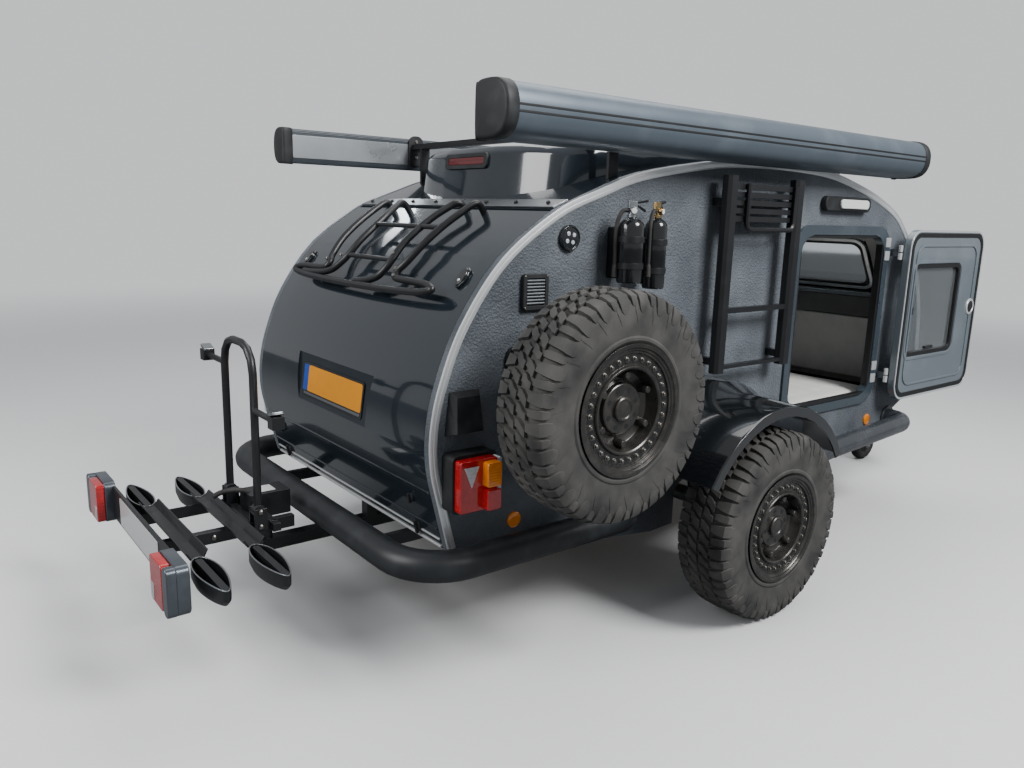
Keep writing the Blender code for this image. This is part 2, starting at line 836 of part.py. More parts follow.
def steady_ears():
    """Return the arms and ears on the rails that carry the corner steadies."""
    parts = []
    half = STEADY_WIDE / 2
    for side in (-1, 1):
        x = side * STEADY_X
        reach = x + side * (half + GAP + STEADY_EAR)
        low, high = sorted((side * RAIL_X, reach))
        parts.append(block((low, STEADY_Y - half, RAIL_TOP - STEADY_THICK),
                           (high, STEADY_Y + half, RAIL_TOP - WELD_DEPTH)))
        for edge in (-1, 1):
            near, far = x + edge * (half + GAP), x + edge * (half + GAP + STEADY_EAR)
            low, high = sorted((near, far))
            parts.append(block((low, STEADY_Y - half + WELD_DEPTH, STEADY_Z - half),
                               (high, STEADY_Y + half - WELD_DEPTH, RAIL_TOP - 2 * WELD_DEPTH)))
    return parts


def build_axle(trailer, material):
    """Add the axle beam with its brake drums and hubs."""
    z = WHEEL_RADIUS
    beam_end = WHEEL_X + RIM_DISC_BACK - HUB_LONG - DRUM_LONG / 2
    hub_face = WHEEL_X + RIM_DISC_BACK - GAP
    bar = cylinder((-beam_end, 0, z), (beam_end, 0, z), AXLE_RADIUS, 12)
    parts = []
    for side in (-1, 1):
        parts.append(block((side * RAIL_X - RAIL_WIDE / 2, -AXLE_RADIUS * 1.3, z),
                           (side * RAIL_X + RAIL_WIDE / 2, AXLE_RADIUS * 1.3, RAIL_TOP - RAIL_TALL - GAP)))
        drum_out = WHEEL_X + RIM_DISC_BACK - HUB_LONG
        drum_in = drum_out - DRUM_LONG
        parts.append(cylinder((side * drum_in, 0, z), (side * drum_out, 0, z), DRUM_RADIUS, 16))
        parts.append(cylinder((side * (drum_out - WELD_DEPTH), 0, z), (side * hub_face, 0, z), HUB_RADIUS, 16))
    trailer.add("axle", fuse(bar, *parts), material)


def tyre_mesh(centre, side):
    """Return a mud-terrain tyre with tapered lugs, its outer face to the given side."""
    half = TYRE_WIDTH / 2
    pitch = 2 * math.pi / LUG_COUNT
    flat = math.cos(pitch * max(LUG_LONG_SHARE, 1 - LUG_LONG_SHARE) / 2)
    bead = (RIM_SEAT_RADIUS + GAP) / flat
    ledge = (RIM_LIP_RADIUS + GAP) / flat
    span = WHEEL_RADIUS - LUG_TALL - ledge
    one_side = [(RIM_LIP_SEAT - GAP, bead), (RIM_LIP_SEAT - GAP, ledge)]
    one_side += [(wide * half, ledge + rise * span) for wide, rise in TYRE_WALL_SHARES + TYRE_TREAD_SHARES]
    stations = [(-x, radius) for x, radius in one_side] + one_side[::-1]
    count = len(stations)
    shoulder = len(TYRE_WALL_SHARES) + 1
    rows = ({shoulder, shoulder + 1}, {shoulder + 3}, {count - shoulder - 3, count - shoulder - 2})
    phases = (0, 1, 1)
    work = bmesh.new()
    rings = []
    for step in range(2 * LUG_COUNT):
        turn = pitch * (step // 2) + (pitch * LUG_LONG_SHARE if step % 2 else 0.0)
        ring = []
        for x, radius in stations:
            lean = LUG_SKEW_SHARE * pitch * x / half * (radius > ledge + span / 2)
            ring.append(work.verts.new((x, radius * math.cos(turn + lean), radius * math.sin(turn + lean))))
        rings.append(ring)
    blocks = []
    for step in range(len(rings)):
        ring, following = rings[step], rings[(step + 1) % len(rings)]
        for index in range(count):
            after = (index + 1) % count
            face = work.faces.new((ring[index], ring[after], following[after], following[index]))
            for row, phase in zip(rows, phases):
                if index in row and step % 2 == phase:
                    if index - 1 in row:
                        blocks[-1].append(face)
                    else:
                        blocks.append([face])
    bmesh.ops.recalc_face_normals(work, faces=work.faces)
    for faces in blocks:
        raise_lug(work, faces)
    mesh = finish_mesh(work)
    mesh.transform(Matrix.Diagonal((side, 1, 1, 1)))
    if side < 0:
        mesh.flip_normals()
    return moved(mesh, Matrix.Translation(centre))


def raise_lug(work, faces):
    """Extrude a block of tread faces outward and taper its top."""
    old_edges = bmesh.ops.extrude_face_region(work, geom=faces)
    tops = [item for item in old_edges["geom"] if isinstance(item, bmesh.types.BMVert)]
    middle = sum((vert.co for vert in tops), Vector()) / len(tops)
    for vert in tops:
        outward = Vector((0, vert.co.y, vert.co.z)).normalized()
        vert.co = middle + (vert.co - middle) * LUG_TAPER_SHARE + outward * LUG_TALL
    bmesh.ops.delete(work, geom=faces, context="FACES")


def rim_mesh(centre, side):
    """Return a dark rim with a wide locking ring, a dished disc with round windows and a plain cap."""
    profile = (
        (RIM_DISC_FACE + RIM_CAP_TALL, 0.0),
        (RIM_DISC_FACE + RIM_CAP_TALL, RIM_CAP_RADIUS * 0.8),
        (RIM_DISC_FACE + RIM_STEP / 2, RIM_CAP_RADIUS),
        (RIM_DISC_FACE + RIM_STEP / 2, RIM_HUB_RADIUS),
        (RIM_DISC_FACE, RIM_HUB_RADIUS + RIM_STEP / 2),
        (RIM_DISC_FACE, RIM_LIP_RADIUS - 2 * RIM_RING_WIDTH),
        (RIM_LIP_PLACE, RIM_LIP_RADIUS - RIM_RING_WIDTH),
        (RIM_LIP_PLACE, RIM_LIP_RADIUS),
        (RIM_LIP_SEAT, RIM_LIP_RADIUS),
        (RIM_LIP_SEAT, RIM_SEAT_RADIUS),
        (-RIM_LIP_SEAT, RIM_SEAT_RADIUS),
        (-RIM_LIP_SEAT, RIM_LIP_RADIUS),
        (-RIM_LIP_PLACE, RIM_LIP_RADIUS),
        (-RIM_LIP_PLACE, RIM_SEAT_RADIUS - RIM_STEP),
        (RIM_DISC_BACK - RIM_STEP, RIM_SEAT_RADIUS - RIM_STEP),
        (RIM_DISC_BACK, RIM_LIP_RADIUS - 2 * RIM_RING_WIDTH),
        (RIM_DISC_BACK, 0.0),
    )
    body = turned(profile, RIM_STEPS)
    windows = []
    for step in range(RIM_WINDOWS):
        angle = 2 * math.pi * step / RIM_WINDOWS
        y, z = RIM_WINDOW_CIRCLE * math.cos(angle), RIM_WINDOW_CIRCLE * math.sin(angle)
        windows.append(cylinder((RIM_DISC_BACK - OVERRUN, y, z), (RIM_DISC_FACE + OVERRUN, y, z),
                                RIM_WINDOW_RADIUS, 6))
    mesh = cut(body, *windows)
    mesh.transform(Matrix.Diagonal((side, 1, 1, 1)))
    if side < 0:
        mesh.flip_normals()
    return moved(mesh, Matrix.Translation(centre))


def build_wheels(trailer, rubber, alloy):
    """Add the two road wheels on their spin axes and the spare on the right wall."""
    for side, name in ((1, "right"), (-1, "left")):
        centre = (side * WHEEL_X, 0, WHEEL_RADIUS)
        pivot = trailer.pivot("wheel_" + name + "_axis", centre)
        trailer.add("tyre_" + name, tyre_mesh(centre, side), rubber, pivot)
        trailer.add("rim_" + name, rim_mesh(centre, side), alloy, pivot)
    centre = (SPARE_X, SPARE_Y, SPARE_Z)
    trailer.add("tyre_spare", tyre_mesh(centre, 1), rubber)
    trailer.add("rim_spare", rim_mesh(centre, 1), alloy)


def build_spare_bracket(trailer, material):
    """Add the plate and post that hold the spare wheel to the wall."""
    half = SPARE_PLATE / 2
    outline = rounded_rectangle(SPARE_Y - half, SPARE_Z - half, SPARE_Y + half, SPARE_Z + half, SPARE_PLATE / 8)
    plate = prism(outline, "x", OUTER_SEAT, OUTER_SEAT + SPARE_PLATE_THICK)
    rim_back = SPARE_X + RIM_DISC_BACK - GAP
    post = cylinder((OUTER_SEAT + SPARE_PLATE_THICK - WELD_DEPTH, SPARE_Y, SPARE_Z),
                    (rim_back, SPARE_Y, SPARE_Z), SPARE_POST_RADIUS)
    flange = cylinder((rim_back - SPARE_PLATE_THICK, SPARE_Y, SPARE_Z), (rim_back, SPARE_Y, SPARE_Z),
                      RIM_HUB_RADIUS)
    trailer.add("spare_bracket", fuse(plate, post, flange), material)


def build_fenders(trailer, material):
    """Add the fenders: an arch with a bulge by the wall and a turned-down lip."""
    profile = (
        (OUTER_SEAT, FENDER_RADIUS + FENDER_BULGE),
        (FENDER_BULGE_X - FENDER_BULGE, FENDER_RADIUS + FENDER_BULGE),
        (FENDER_BULGE_X + FENDER_BULGE, FENDER_RADIUS),
        (FENDER_OUT - FENDER_THICK, FENDER_RADIUS - FENDER_THICK / 2),
        (FENDER_OUT, FENDER_RADIUS - FENDER_THICK),
        (FENDER_OUT, FENDER_RADIUS - FENDER_LIP),
        (FENDER_OUT - FENDER_THICK, FENDER_RADIUS - FENDER_LIP),
        (FENDER_OUT - FENDER_THICK, FENDER_RADIUS - 2 * FENDER_THICK),
        (FENDER_BULGE_X + FENDER_BULGE, FENDER_RADIUS - FENDER_THICK),
        (FENDER_BULGE_X - FENDER_BULGE, FENDER_RADIUS + FENDER_BULGE - FENDER_THICK),
        (OUTER_SEAT, FENDER_RADIUS + FENDER_BULGE - FENDER_THICK),
    )
    rings = []
    for step in range(FENDER_STEPS + 1):
        angle = FENDER_HALF_ANGLE * (2 * step / FENDER_STEPS - 1)
        rings.append([(x, r * math.sin(angle), WHEEL_RADIUS + r * math.cos(angle)) for x, r in profile])
    trailer.add_pair("fender", skin_rings(rings), material)


def build_bumper(trailer, material):
    """Add the rear bumper: one bent tube with end flanges and brackets under the rails."""
    inner = OUTER_SEAT + BUMPER_PLATE / 2
    half = ((inner, -BUMPER_FRONT, BUMPER_Z), (BUMPER_X, -BUMPER_FRONT, BUMPER_Z),
            (BUMPER_X, -BUMPER_REAR, BUMPER_Z))
    corners = list(half) + [(-x, y, z) for x, y, z in reversed(half)]
    right_end = bent_path([corners[0], corners[1], (BUMPER_X, -BUMPER_FRONT - BUMPER_BEND, BUMPER_Z)],
                          BUMPER_END_BEND, 3)
    back = bent_path([right_end[-1], corners[2], corners[3], (-right_end[-1].x, *right_end[-1][1:])], BUMPER_BEND)
    left_end = [Vector((-p.x, p.y, p.z)) for p in reversed(right_end)]
    main = tube(right_end[:-1] + back[1:-1] + left_end[1:], BUMPER_RADIUS, BUMPER_TUBE_SIDES)
    parts = []
    for side in (-1, 1):
        parts.append(cylinder((side * OUTER_SEAT, -BUMPER_FRONT, BUMPER_Z),
                              (side * (OUTER_SEAT + BUMPER_PLATE), -BUMPER_FRONT, BUMPER_Z), BUMPER_FLANGE))
        under = RAIL_TOP - RAIL_TALL - GAP
        x = side * RAIL_X
        parts.append(block((x - BUMPER_PLATE, -BUMPER_REAR, BUMPER_Z - BUMPER_BRACKET_TALL),
                           (x + BUMPER_PLATE, -RAIL_REAR + BUMPER_BEND, BUMPER_Z - BUMPER_PLATE)))
        parts.append(block((x - BUMPER_PLATE, -RAIL_REAR + BUMPER_PLATE, BUMPER_Z - BUMPER_BRACKET_TALL),
                           (x + BUMPER_PLATE, -RAIL_REAR + BUMPER_BEND, under)))
    trailer.add("rear_bumper", fuse(main, *parts), material)


def build_sliders(trailer, material):
    """Add the step tube below each door, curving in round the front corner."""
    low, high = SLIDER_Z - SLIDER_DROP, SLIDER_Z
    inner = OUTER_SEAT + BUMPER_PLATE / 2
    corners = ((inner, SLIDER_REAR, low), (SLIDER_X, SLIDER_REAR, low), (SLIDER_X, SLIDER_FRONT, high),
               (inner, SLIDER_FRONT, high))
    main = tube(bent_path(corners, BUMPER_END_BEND, 4), SLIDER_RADIUS, BUMPER_TUBE_SIDES)
    parts = []
    for y, z in ((SLIDER_REAR, low), (SLIDER_FRONT, high)):
        parts.append(cylinder((OUTER_SEAT, y, z), (OUTER_SEAT + BUMPER_PLATE, y, z), BUMPER_FLANGE * 0.8))
    trailer.add_pair("slider", fuse(main, *parts), material)


# Doors

def build_door_frames(trailer, material):
    """Add the door surrounds with their jambs and fixed hinge knuckles."""
    flange = prism(door_outline(0.0), "x", OUTER_SEAT, OUTER_SEAT + FRAME_PROUD)
    jamb = prism(door_outline(FRAME_WIDTH - FRAME_JAMB + GAP), "x", HALF_BODY - SIDE_WALL,
                 OUTER_SEAT + FRAME_PROUD / 2)
    hole = prism(door_outline(FRAME_WIDTH), "x", HALF_BODY - SIDE_WALL - OVERRUN, HALF_BODY + OVERRUN)
    frame = cut(fuse(flange, jamb), hole)
    posts = []
    for share in HINGE_SHARES:
        z = DOOR_LOW + share * (DOOR_TOP - DOOR_LOW)
        posts.append(cylinder((HINGE_X, HINGE_Y, z), (HINGE_X, HINGE_Y, z + HINGE_LONG), HINGE_PIN, 12))
        posts.append(block((OUTER_SEAT, DOOR_FRONT - FRAME_WIDTH / 2, z),
                           (OUTER_SEAT + FRAME_PROUD, HINGE_Y + HINGE_PIN, z + HINGE_LONG)))
        posts.append(block((OUTER_SEAT + FRAME_PROUD / 2, HINGE_Y, z),
                           (HINGE_X, HINGE_Y + HINGE_PIN, z + HINGE_LONG)))
    trailer.add_pair("door_frame", fuse(frame, *posts), material)


def door_leaf():
    """Return the right leaf and its pane in the closed place, with a round-cornered window."""
    inner = OUTER_SEAT + FRAME_PROUD + SEAL_GAP
    outer = inner + LEAF_THICK
    front = HINGE_Y - LEAF_EDGE
    rear = DOOR_REAR - LEAF_OVERLAP
    outline = rounded_rectangle(rear, DOOR_LOW + LEAF_OVERLAP, front, DOOR_TOP - LEAF_OVERLAP, DOOR_CORNER)
    leaf = prism(outline, "x", inner, outer)
    window = (front - WINDOW_NEAR - WINDOW_WIDE, WINDOW_LOW, front - WINDOW_NEAR, WINDOW_LOW + WINDOW_TALL)
    bezel = rounded_rectangle(window[0] - WINDOW_BEZEL, window[1] - WINDOW_BEZEL,
                              window[2] + WINDOW_BEZEL, window[3] + WINDOW_BEZEL, WINDOW_CORNER + WINDOW_BEZEL)
    surround = prism(bezel, "x", inner - WINDOW_BEZEL_PROUD / 2, outer + WINDOW_BEZEL_PROUD)
    hole = prism(rounded_rectangle(*window, WINDOW_CORNER), "x", inner - OVERRUN, outer + OVERRUN)
    parts = []
    for share in HINGE_SHARES:
        z = DOOR_LOW + share * (DOOR_TOP - DOOR_LOW) + HINGE_LONG + GAP
        parts.append(cylinder((HINGE_X, HINGE_Y, z), (HINGE_X, HINGE_Y, z + HINGE_LONG), HINGE_PIN, 12))
        parts.append(block((HINGE_X - HINGE_LEAF / 2, front - HINGE_LONG, z + WELD_DEPTH),
                           (HINGE_X + HINGE_LEAF / 2, HINGE_Y, z + HINGE_LONG - WELD_DEPTH)))
    lock_y = rear + LOCK_INSET
    parts.append(cylinder((inner + WELD_DEPTH, lock_y, LOCK_Z), (outer + LOCK_PROUD, lock_y, LOCK_Z), LOCK_RADIUS))
    leaf = cut(fuse(leaf, surround, *parts), hole)
    middle = (inner + outer) / 2
    pane_corners = (window[0] + GAP, window[1] + GAP, window[2] - GAP, window[3] - GAP)
    pane = prism(rounded_rectangle(*pane_corners, WINDOW_CORNER), "x",
                 middle - GLASS_THICK / 2, middle + GLASS_THICK / 2)
    return leaf, pane


def build_doors(trailer, paint, glass):
    """Add the left door closed and the right door folded open against the wall."""
    leaf, pane = door_leaf()
    other_leaf, other_pane = mirrored(leaf), mirrored(pane)
    right = trailer.pivot("door_right_axis", (HINGE_X, HINGE_Y, DOOR_LOW))
    left = trailer.pivot("door_left_axis", (-HINGE_X, HINGE_Y, DOOR_LOW))
    trailer.add("door_right", leaf, paint, right)
    trailer.add("door_glass_right", pane, glass, right)
    trailer.add("door_left", other_leaf, paint, left)
    trailer.add("door_glass_left", other_pane, glass, left)
    right.rotation_euler.z = DOOR_OPEN_ANGLE


# Hatch

def build_hatch(trailer, paint, black):
    """Add the hatch panel with its plate recess and oval lamps, and its tube rack, on one hinge."""
    pivot = trailer.pivot("hatch_axis", (0, HATCH_HINGE[0], HATCH_HINGE[1] + HINGE_LIFT))
    line = slice_line(HATCH_LINE, 0.0, HATCH_LONG - HATCH_TOP_GAP)
    panel = strip(line, -SKIN, 0.0, INNER_HALF)
    spot, out = line_at(HATCH_LINE, HATCH_LONG * PLATE_CENTRE_SHARE)
    tilt = Matrix.Rotation(-math.atan2(out.y, -out.x), 4, "X")
    place = Matrix.Translation((0, spot.x, spot.y)) @ tilt
    half = RECESS_TALL / 2
    shape = [(-RECESS_LOW_WIDE / 2, -half), (RECESS_LOW_WIDE / 2, -half), (RECESS_TOP_WIDE / 2, half),
             (-RECESS_TOP_WIDE / 2, half)]
    recess = moved(prism(shape, "y", -OVERRUN, RECESS_DEEP), place)
    trailer.add("hatch_rack", hatch_rack(), black, pivot)
    spot, out = line_at(HATCH_LINE, HATCH_LONG * LAMP_OVAL_SHARE)
    place = Matrix.Translation((0, spot.x, spot.y)) @ Matrix.Rotation(-math.atan2(out.y, -out.x), 4, "X")
    lamps = []
    for side in (1, -1):
        shape = oval(side * LAMP_OVAL_X, 0.0, LAMP_OVAL_WIDE / 2, LAMP_OVAL_LONG / 2, 16)
        lamps.append(moved(prism(shape, "y", -LAMP_OVAL_PROUD, SKIN / 2), place))
    trailer.add("hatch_panel", fuse(cut(panel, recess), *lamps), paint, pivot)


def hatch_rack():
    """Return the tube rack: a low cross bar, two pairs of rails and two rungs, standing on feet."""
    def above(share, lift):
        spot, out = line_at(HATCH_LINE, HATCH_LONG * share)
        return spot + out * lift
    low = above(RACK_LOW_SHARE, RACK_STAND)
    feet = above(RACK_LOW_SHARE - RACK_END_BEND, -SKIN)
    ends = [(-RACK_HALF - RACK_END_BEND, *feet), (-RACK_HALF, *low), (RACK_HALF, *low),
            (RACK_HALF + RACK_END_BEND, *feet)]
    parts = [tube(bent_path(ends, RACK_END_BEND / 2, 3), RACK_TUBE, RACK_SIDES)]
    rail_shares = (RACK_LOW_SHARE, 0.5 * (RACK_LOW_SHARE + RACK_HIGH_SHARE), RACK_HIGH_SHARE - RACK_END_BEND)
    for side in (-1, 1):
        for x in RACK_RAIL_X:
            points = [(side * x, *above(share, RACK_STAND)) for share in rail_shares]
            points.append((side * x, *above(RACK_HIGH_SHARE, -SKIN)))
            parts.append(tube(points, RACK_TUBE, RACK_SIDES))
    for share in RACK_RUNG_SHARES:
        spot = above(share, RACK_STAND)
        parts.append(tube(((-RACK_RAIL_X[0], *spot), (RACK_RAIL_X[0], *spot)), RACK_TUBE * 0.8, RACK_SIDES))
    return cut(fuse(*parts), body_filler(GAP))


# Roof

def build_pod(trailer, paint):
    """Add the crowned roof pod, seated on the roof skin."""
    floor = slice_line(ROOF_LINE, *(line_place(ROOF_LINE, y) for y in (-POD_REAR_LOW, POD_FRONT)))
    seat = offset_line(floor, GAP)
    rings = []
    for share in POD_STATION_SHARES:
        x = share * POD_HALF
        crown = POD_CROWN * (1 - share * share)
        keep = POD_EDGE_SHARE if abs(share) == 1.0 else 1.0
        over = []
        for y, rise in ((-POD_REAR_TOP, 0.0), (-POD_REAR_TOP / 2, POD_RISE / 2), (POD_RISE, POD_RISE)):
            low = line_height(ROOF_LINE, y) + GAP
            over.append((y, low + (POD_TOP + rise + crown - low) * keep))
        rings.append([(x, *p) for p in seat] + [(x, *p) for p in reversed(over)])
    trailer.add("roof_pod", skin_rings(rings), paint)


def build_brake_lamp(trailer, lens):
    """Add the high brake lamp on the pod's rear face."""
    low = Vector((-POD_REAR_LOW, line_height(ROOF_LINE, -POD_REAR_LOW)))
    high = Vector((-POD_REAR_TOP, POD_TOP + POD_CROWN))
    spot = low.lerp(high, BRAKE_HEIGHT_SHARE)
    ahead = (high - low).normalized()
    place = Matrix.Translation((0, *spot)) @ Matrix.Rotation(-math.atan2(ahead.x, ahead.y), 4, "X")
    outline = rounded_rectangle(-BRAKE_WIDE / 2, -BRAKE_TALL / 2, BRAKE_WIDE / 2, BRAKE_TALL / 2, BRAKE_TALL / 3, 3)
    trailer.add("brake_lamp", moved(prism(outline, "y", -BRAKE_PROUD - GAP, -GAP), place), lens)


def line_place(line, y):
    """Return the length along a body line at a place along the trailer."""
    walked = 0.0
    for a, b in zip(line, line[1:]):
        span = (Vector(b) - Vector(a)).length
        if a[0] <= y <= b[0]:
            return walked + span * (y - a[0]) / (b[0] - a[0])
        walked += span
    return walked


def line_height(line, y):
    """Return the height of a body line at a place along the trailer."""
    for a, b in zip(line, line[1:]):
        if a[0] <= y <= b[0]:
            return a[1] + (b[1] - a[1]) * (y - a[0]) / (b[0] - a[0])
    return line[-1][1]


def awning(side, inner, wide, low, tall):
    """Return an awning case with a bulging outer face and a cap on each end."""
    def outline(grow):
        return [(side * x, z) for x, z in (
            (inner, low - grow), (inner + 0.72 * wide, low - grow),
            (inner + 0.93 * wide + grow, low + 0.12 * tall), (inner + wide + grow, low + 0.36 * tall),
            (inner + wide + grow, low + 0.60 * tall), (inner + 0.90 * wide + grow, low + 0.86 * tall),
            (inner + 0.70 * wide, low + tall + grow), (inner + 0.15 * wide, low + tall + grow),
            (inner, low + 0.88 * tall))]
    start, stop = -AWNING_REAR, -AWNING_REAR + AWNING_LONG
    case = prism(outline(0.0), "y", start + AWNING_CAP_LONG / 2, stop - AWNING_CAP_LONG / 2)
    caps = [prism(outline(AWNING_CAP_PROUD), "y", start, start + AWNING_CAP_LONG),
            prism(outline(AWNING_CAP_PROUD), "y", stop - AWNING_CAP_LONG, stop)]
    return fuse(case, *caps)


def build_awnings(trailer, grey, silver):
    """Add the wide awning case on the right and the slim one on the left."""
    right = awning(1, AWNING_RIGHT_X, AWNING_RIGHT_WIDE, AWNING_RIGHT_LOW, AWNING_RIGHT_TALL)
    left = awning(-1, AWNING_LEFT_X, AWNING_LEFT_WIDE, AWNING_LEFT_LOW, AWNING_LEFT_TALL)
    trailer.add("awning_right", right, grey)
    trailer.add("awning_left", left, silver)


def build_crossbars(trailer, material):
    """Add the two crossbars between the awnings, each on feet that stand on the roof."""
    for y, name in zip(CROSSBAR_Y, ("rear", "front")):
        bar = block((-AWNING_LEFT_X + GAP, y - CROSSBAR_WIDE / 2, CROSSBAR_Z),
                    (AWNING_RIGHT_X - GAP, y + CROSSBAR_WIDE / 2, CROSSBAR_Z + CROSSBAR_TALL))
        feet = []
        for side in (-1, 1):
            x = side * CROSSBAR_FOOT
            feet.append(block((x - CROSSBAR_FOOT_THICK / 2, y - CROSSBAR_WIDE / 2, BODY_LOW + BODY_HEIGHT / 2),
                              (x + CROSSBAR_FOOT_THICK / 2, y + CROSSBAR_WIDE / 2, CROSSBAR_Z + WELD_DEPTH)))
        bars = fuse(bar, *feet)
        trailer.add("crossbar_" + name, cut(bars, body_filler(GAP)), material)


# Fittings on the walls

def build_tail_lamps(trailer, material):
    """Add the tail lamps: raked boxes that stand out from the walls and face the rear."""
    rear, front = -TAIL_REAR, -TAIL_REAR + TAIL_LONG
    outline = [(rear, TAIL_LOW), (front, TAIL_LOW + TAIL_RAKE), (front, TAIL_LOW + TAIL_TALL),
               (rear + TAIL_RAKE, TAIL_LOW + TAIL_TALL)]
    inner, outer = OUTER_SEAT, OUTER_SEAT + TAIL_OUT
    full = [(inner, *p) for p in outline]
    waist = [(outer - TAIL_CORNER, *p) for p in outline]
    small = offset_line(outline, TAIL_CORNER / 2, closed=True)
    tip = [(outer, *p) for p in small]
    trailer.add_pair("tail_lamp", skin_rings([full, waist, tip]), material)


def build_vent(trailer, material):
    """Add the slatted vent on the right wall."""
    rear, low = -VENT_REAR, VENT_LOW
    outline = rounded_rectangle(rear, low, rear + VENT_WIDE, low + VENT_TALL, VENT_PROUD / 2, 3)
    body = prism(outline, "x", OUTER_SEAT, OUTER_SEAT + VENT_PROUD)
    pitch = VENT_TALL / (VENT_SLATS + 1)
    slots = []
    for index in range(VENT_SLATS):
        z = low + (index + 1) * pitch
        slots.append(block((OUTER_SEAT + VENT_PROUD / 2, rear + pitch / 2, z - pitch / 4),
                           (OUTER_SEAT + VENT_PROUD + OVERRUN, rear + VENT_WIDE - pitch / 2, z + pitch / 4)))
    trailer.add("side_vent", cut(body, *slots), material)


def build_wedge(trailer, material):
    """Add the black wedge-shaped hood over the power inlet."""
    rear, front = -WEDGE_REAR, -WEDGE_REAR + WEDGE_LONG
    low, high = WEDGE_LOW, WEDGE_LOW + WEDGE_TALL
    base = [(OUTER_SEAT, *p) for p in ((rear, low), (front, low), (front, high), (rear + WEDGE_EDGE, high))]
    top = [(OUTER_SEAT + WEDGE_PROUD, rear + WEDGE_EDGE, low + WEDGE_EDGE),
           (OUTER_SEAT + WEDGE_PROUD, front - WEDGE_EDGE, low + WEDGE_EDGE),
           (OUTER_SEAT + WEDGE_PROUD / 2, front - WEDGE_EDGE, high - WEDGE_EDGE),
           (OUTER_SEAT + WEDGE_PROUD / 2, rear + 2 * WEDGE_EDGE, high - WEDGE_EDGE)]
    trailer.add("inlet_hood", skin_rings([base, top]), material)


def build_porch_lamps(trailer, material):
    """Add the long lamp above each door, sloping like a small visor."""
    rear, front = PORCH_REAR, PORCH_REAR + PORCH_LONG
    low, high = PORCH_LOW, PORCH_LOW + PORCH_TALL
    outer = OUTER_SEAT + PORCH_PROUD
    section = ((OUTER_SEAT, low), (outer - PORCH_PROUD / 4, low), (outer, low + PORCH_TALL / 4),
               (OUTER_SEAT + PORCH_PROUD / 3, high), (OUTER_SEAT, high))
    rings = []
    for y, share in ((rear, 0.5), (rear + PORCH_PROUD, 1.0), (front - PORCH_PROUD, 1.0), (front, 0.5)):
        middle = (low + high) / 2
        rings.append([(OUTER_SEAT + (x - OUTER_SEAT) * share, y, middle + (z - middle) * share)
                      for x, z in section])
    trailer.add_pair("porch_lamp", skin_rings(rings), material)


def build_bottles(trailer, material):
    """Add the two fire extinguishers, each with a valve head and a clamp to the wall."""
    for (y, foot, radius, tall), name in zip(BOTTLE_PLACES, ("rear", "front")):
        shoulder = foot + tall
        profile = ((foot, 0.0), (foot, radius * 0.9), (foot + radius * 0.15, radius), (shoulder - radius * 0.6, radius),
                   (shoulder - radius * 0.15, radius * 0.7), (shoulder, radius * 0.35),
                   (shoulder + BOTTLE_HEAD * 0.6, radius * 0.35), (shoulder + BOTTLE_HEAD * 0.6, 0.0))
        bottle = turned(profile, BOTTLE_SIDES, (BOTTLE_X, y, 0.0), "z")
        grip = block((BOTTLE_X - radius * 0.2, y - radius * 0.5, shoulder + BOTTLE_HEAD * 0.45),
                     (BOTTLE_X + radius * 0.2, y + radius * 0.9, shoulder + BOTTLE_HEAD * 0.75))
        z = foot + tall * BOTTLE_CLAMP_SHARE
        clamp = block((OUTER_SEAT, y - radius * 0.6, z), (BOTTLE_X, y + radius * 0.6, z + BOTTLE_CLAMP_TALL))
        back = block((OUTER_SEAT, y - radius * 0.5, foot), (OUTER_SEAT + BOTTLE_CLAMP_TALL / 4,
                                                            y + radius * 0.5, shoulder))
        trailer.add("extinguisher_" + name, fuse(bottle, grip, clamp, back), material)


def build_ladder(trailer, material):
    """Add the folded telescopic ladder with its stacked rungs, handle and wall brackets."""
    front = LADDER_REAR + LADDER_LONG
    low_x = LADDER_X
    parts = []
    for y in (LADDER_REAR, front - STILE_WIDE):
        outline = rounded_rectangle(low_x, y, low_x + STILE_DEEP, y + STILE_WIDE, STILE_DEEP / 4, 1)
        parts.append(prism(outline, "z", LADDER_LOW, LADDER_TOP))
    for share in RUNG_SHARES:
        z = LADDER_LOW + share * (LADDER_TOP - LADDER_LOW)
        parts.append(block((low_x + STILE_DEEP / 4, LADDER_REAR + STILE_WIDE / 2, z),
                           (low_x + STILE_DEEP * 0.8, front - STILE_WIDE / 2, z + RUNG_TALL)))
    parts.append(block((low_x + STILE_DEEP / 4, LADDER_REAR + STILE_WIDE / 2, LADDER_LOW + LADDER_FOOT / 2),
                       (low_x + STILE_DEEP * 0.8, front - STILE_WIDE / 2, LADDER_LOW + LADDER_FOOT)))
    for y in (LADDER_REAR + STILE_WIDE * 0.3, front - STILE_WIDE * 0.3 - LADDER_FOOT):
        for z in (LADDER_LOW + LADDER_FOOT, LADDER_TOP - 4 * LADDER_FOOT):
            parts.append(block((OUTER_SEAT, y, z), (low_x + WELD_DEPTH, y + LADDER_FOOT, z + LADDER_FOOT)))
    handle = bent_path((
        (low_x + STILE_DEEP, LADDER_REAR + 2 * STILE_WIDE, LADDER_TOP - LADDER_FOOT),
        (low_x + STILE_DEEP, LADDER_REAR + 2 * STILE_WIDE, LADDER_HANDLE_Z),
        (low_x + STILE_DEEP, front - STILE_WIDE * 1.2, LADDER_HANDLE_Z),
        (low_x + STILE_DEEP, front - STILE_WIDE * 1.2, LADDER_TOP - LADDER_FOOT)), LADDER_FOOT, 3)
    parts.append(tube(handle, LADDER_HANDLE_TUBE, 8))
    trailer.add("ladder", fuse(*parts), material)


# Drawbar

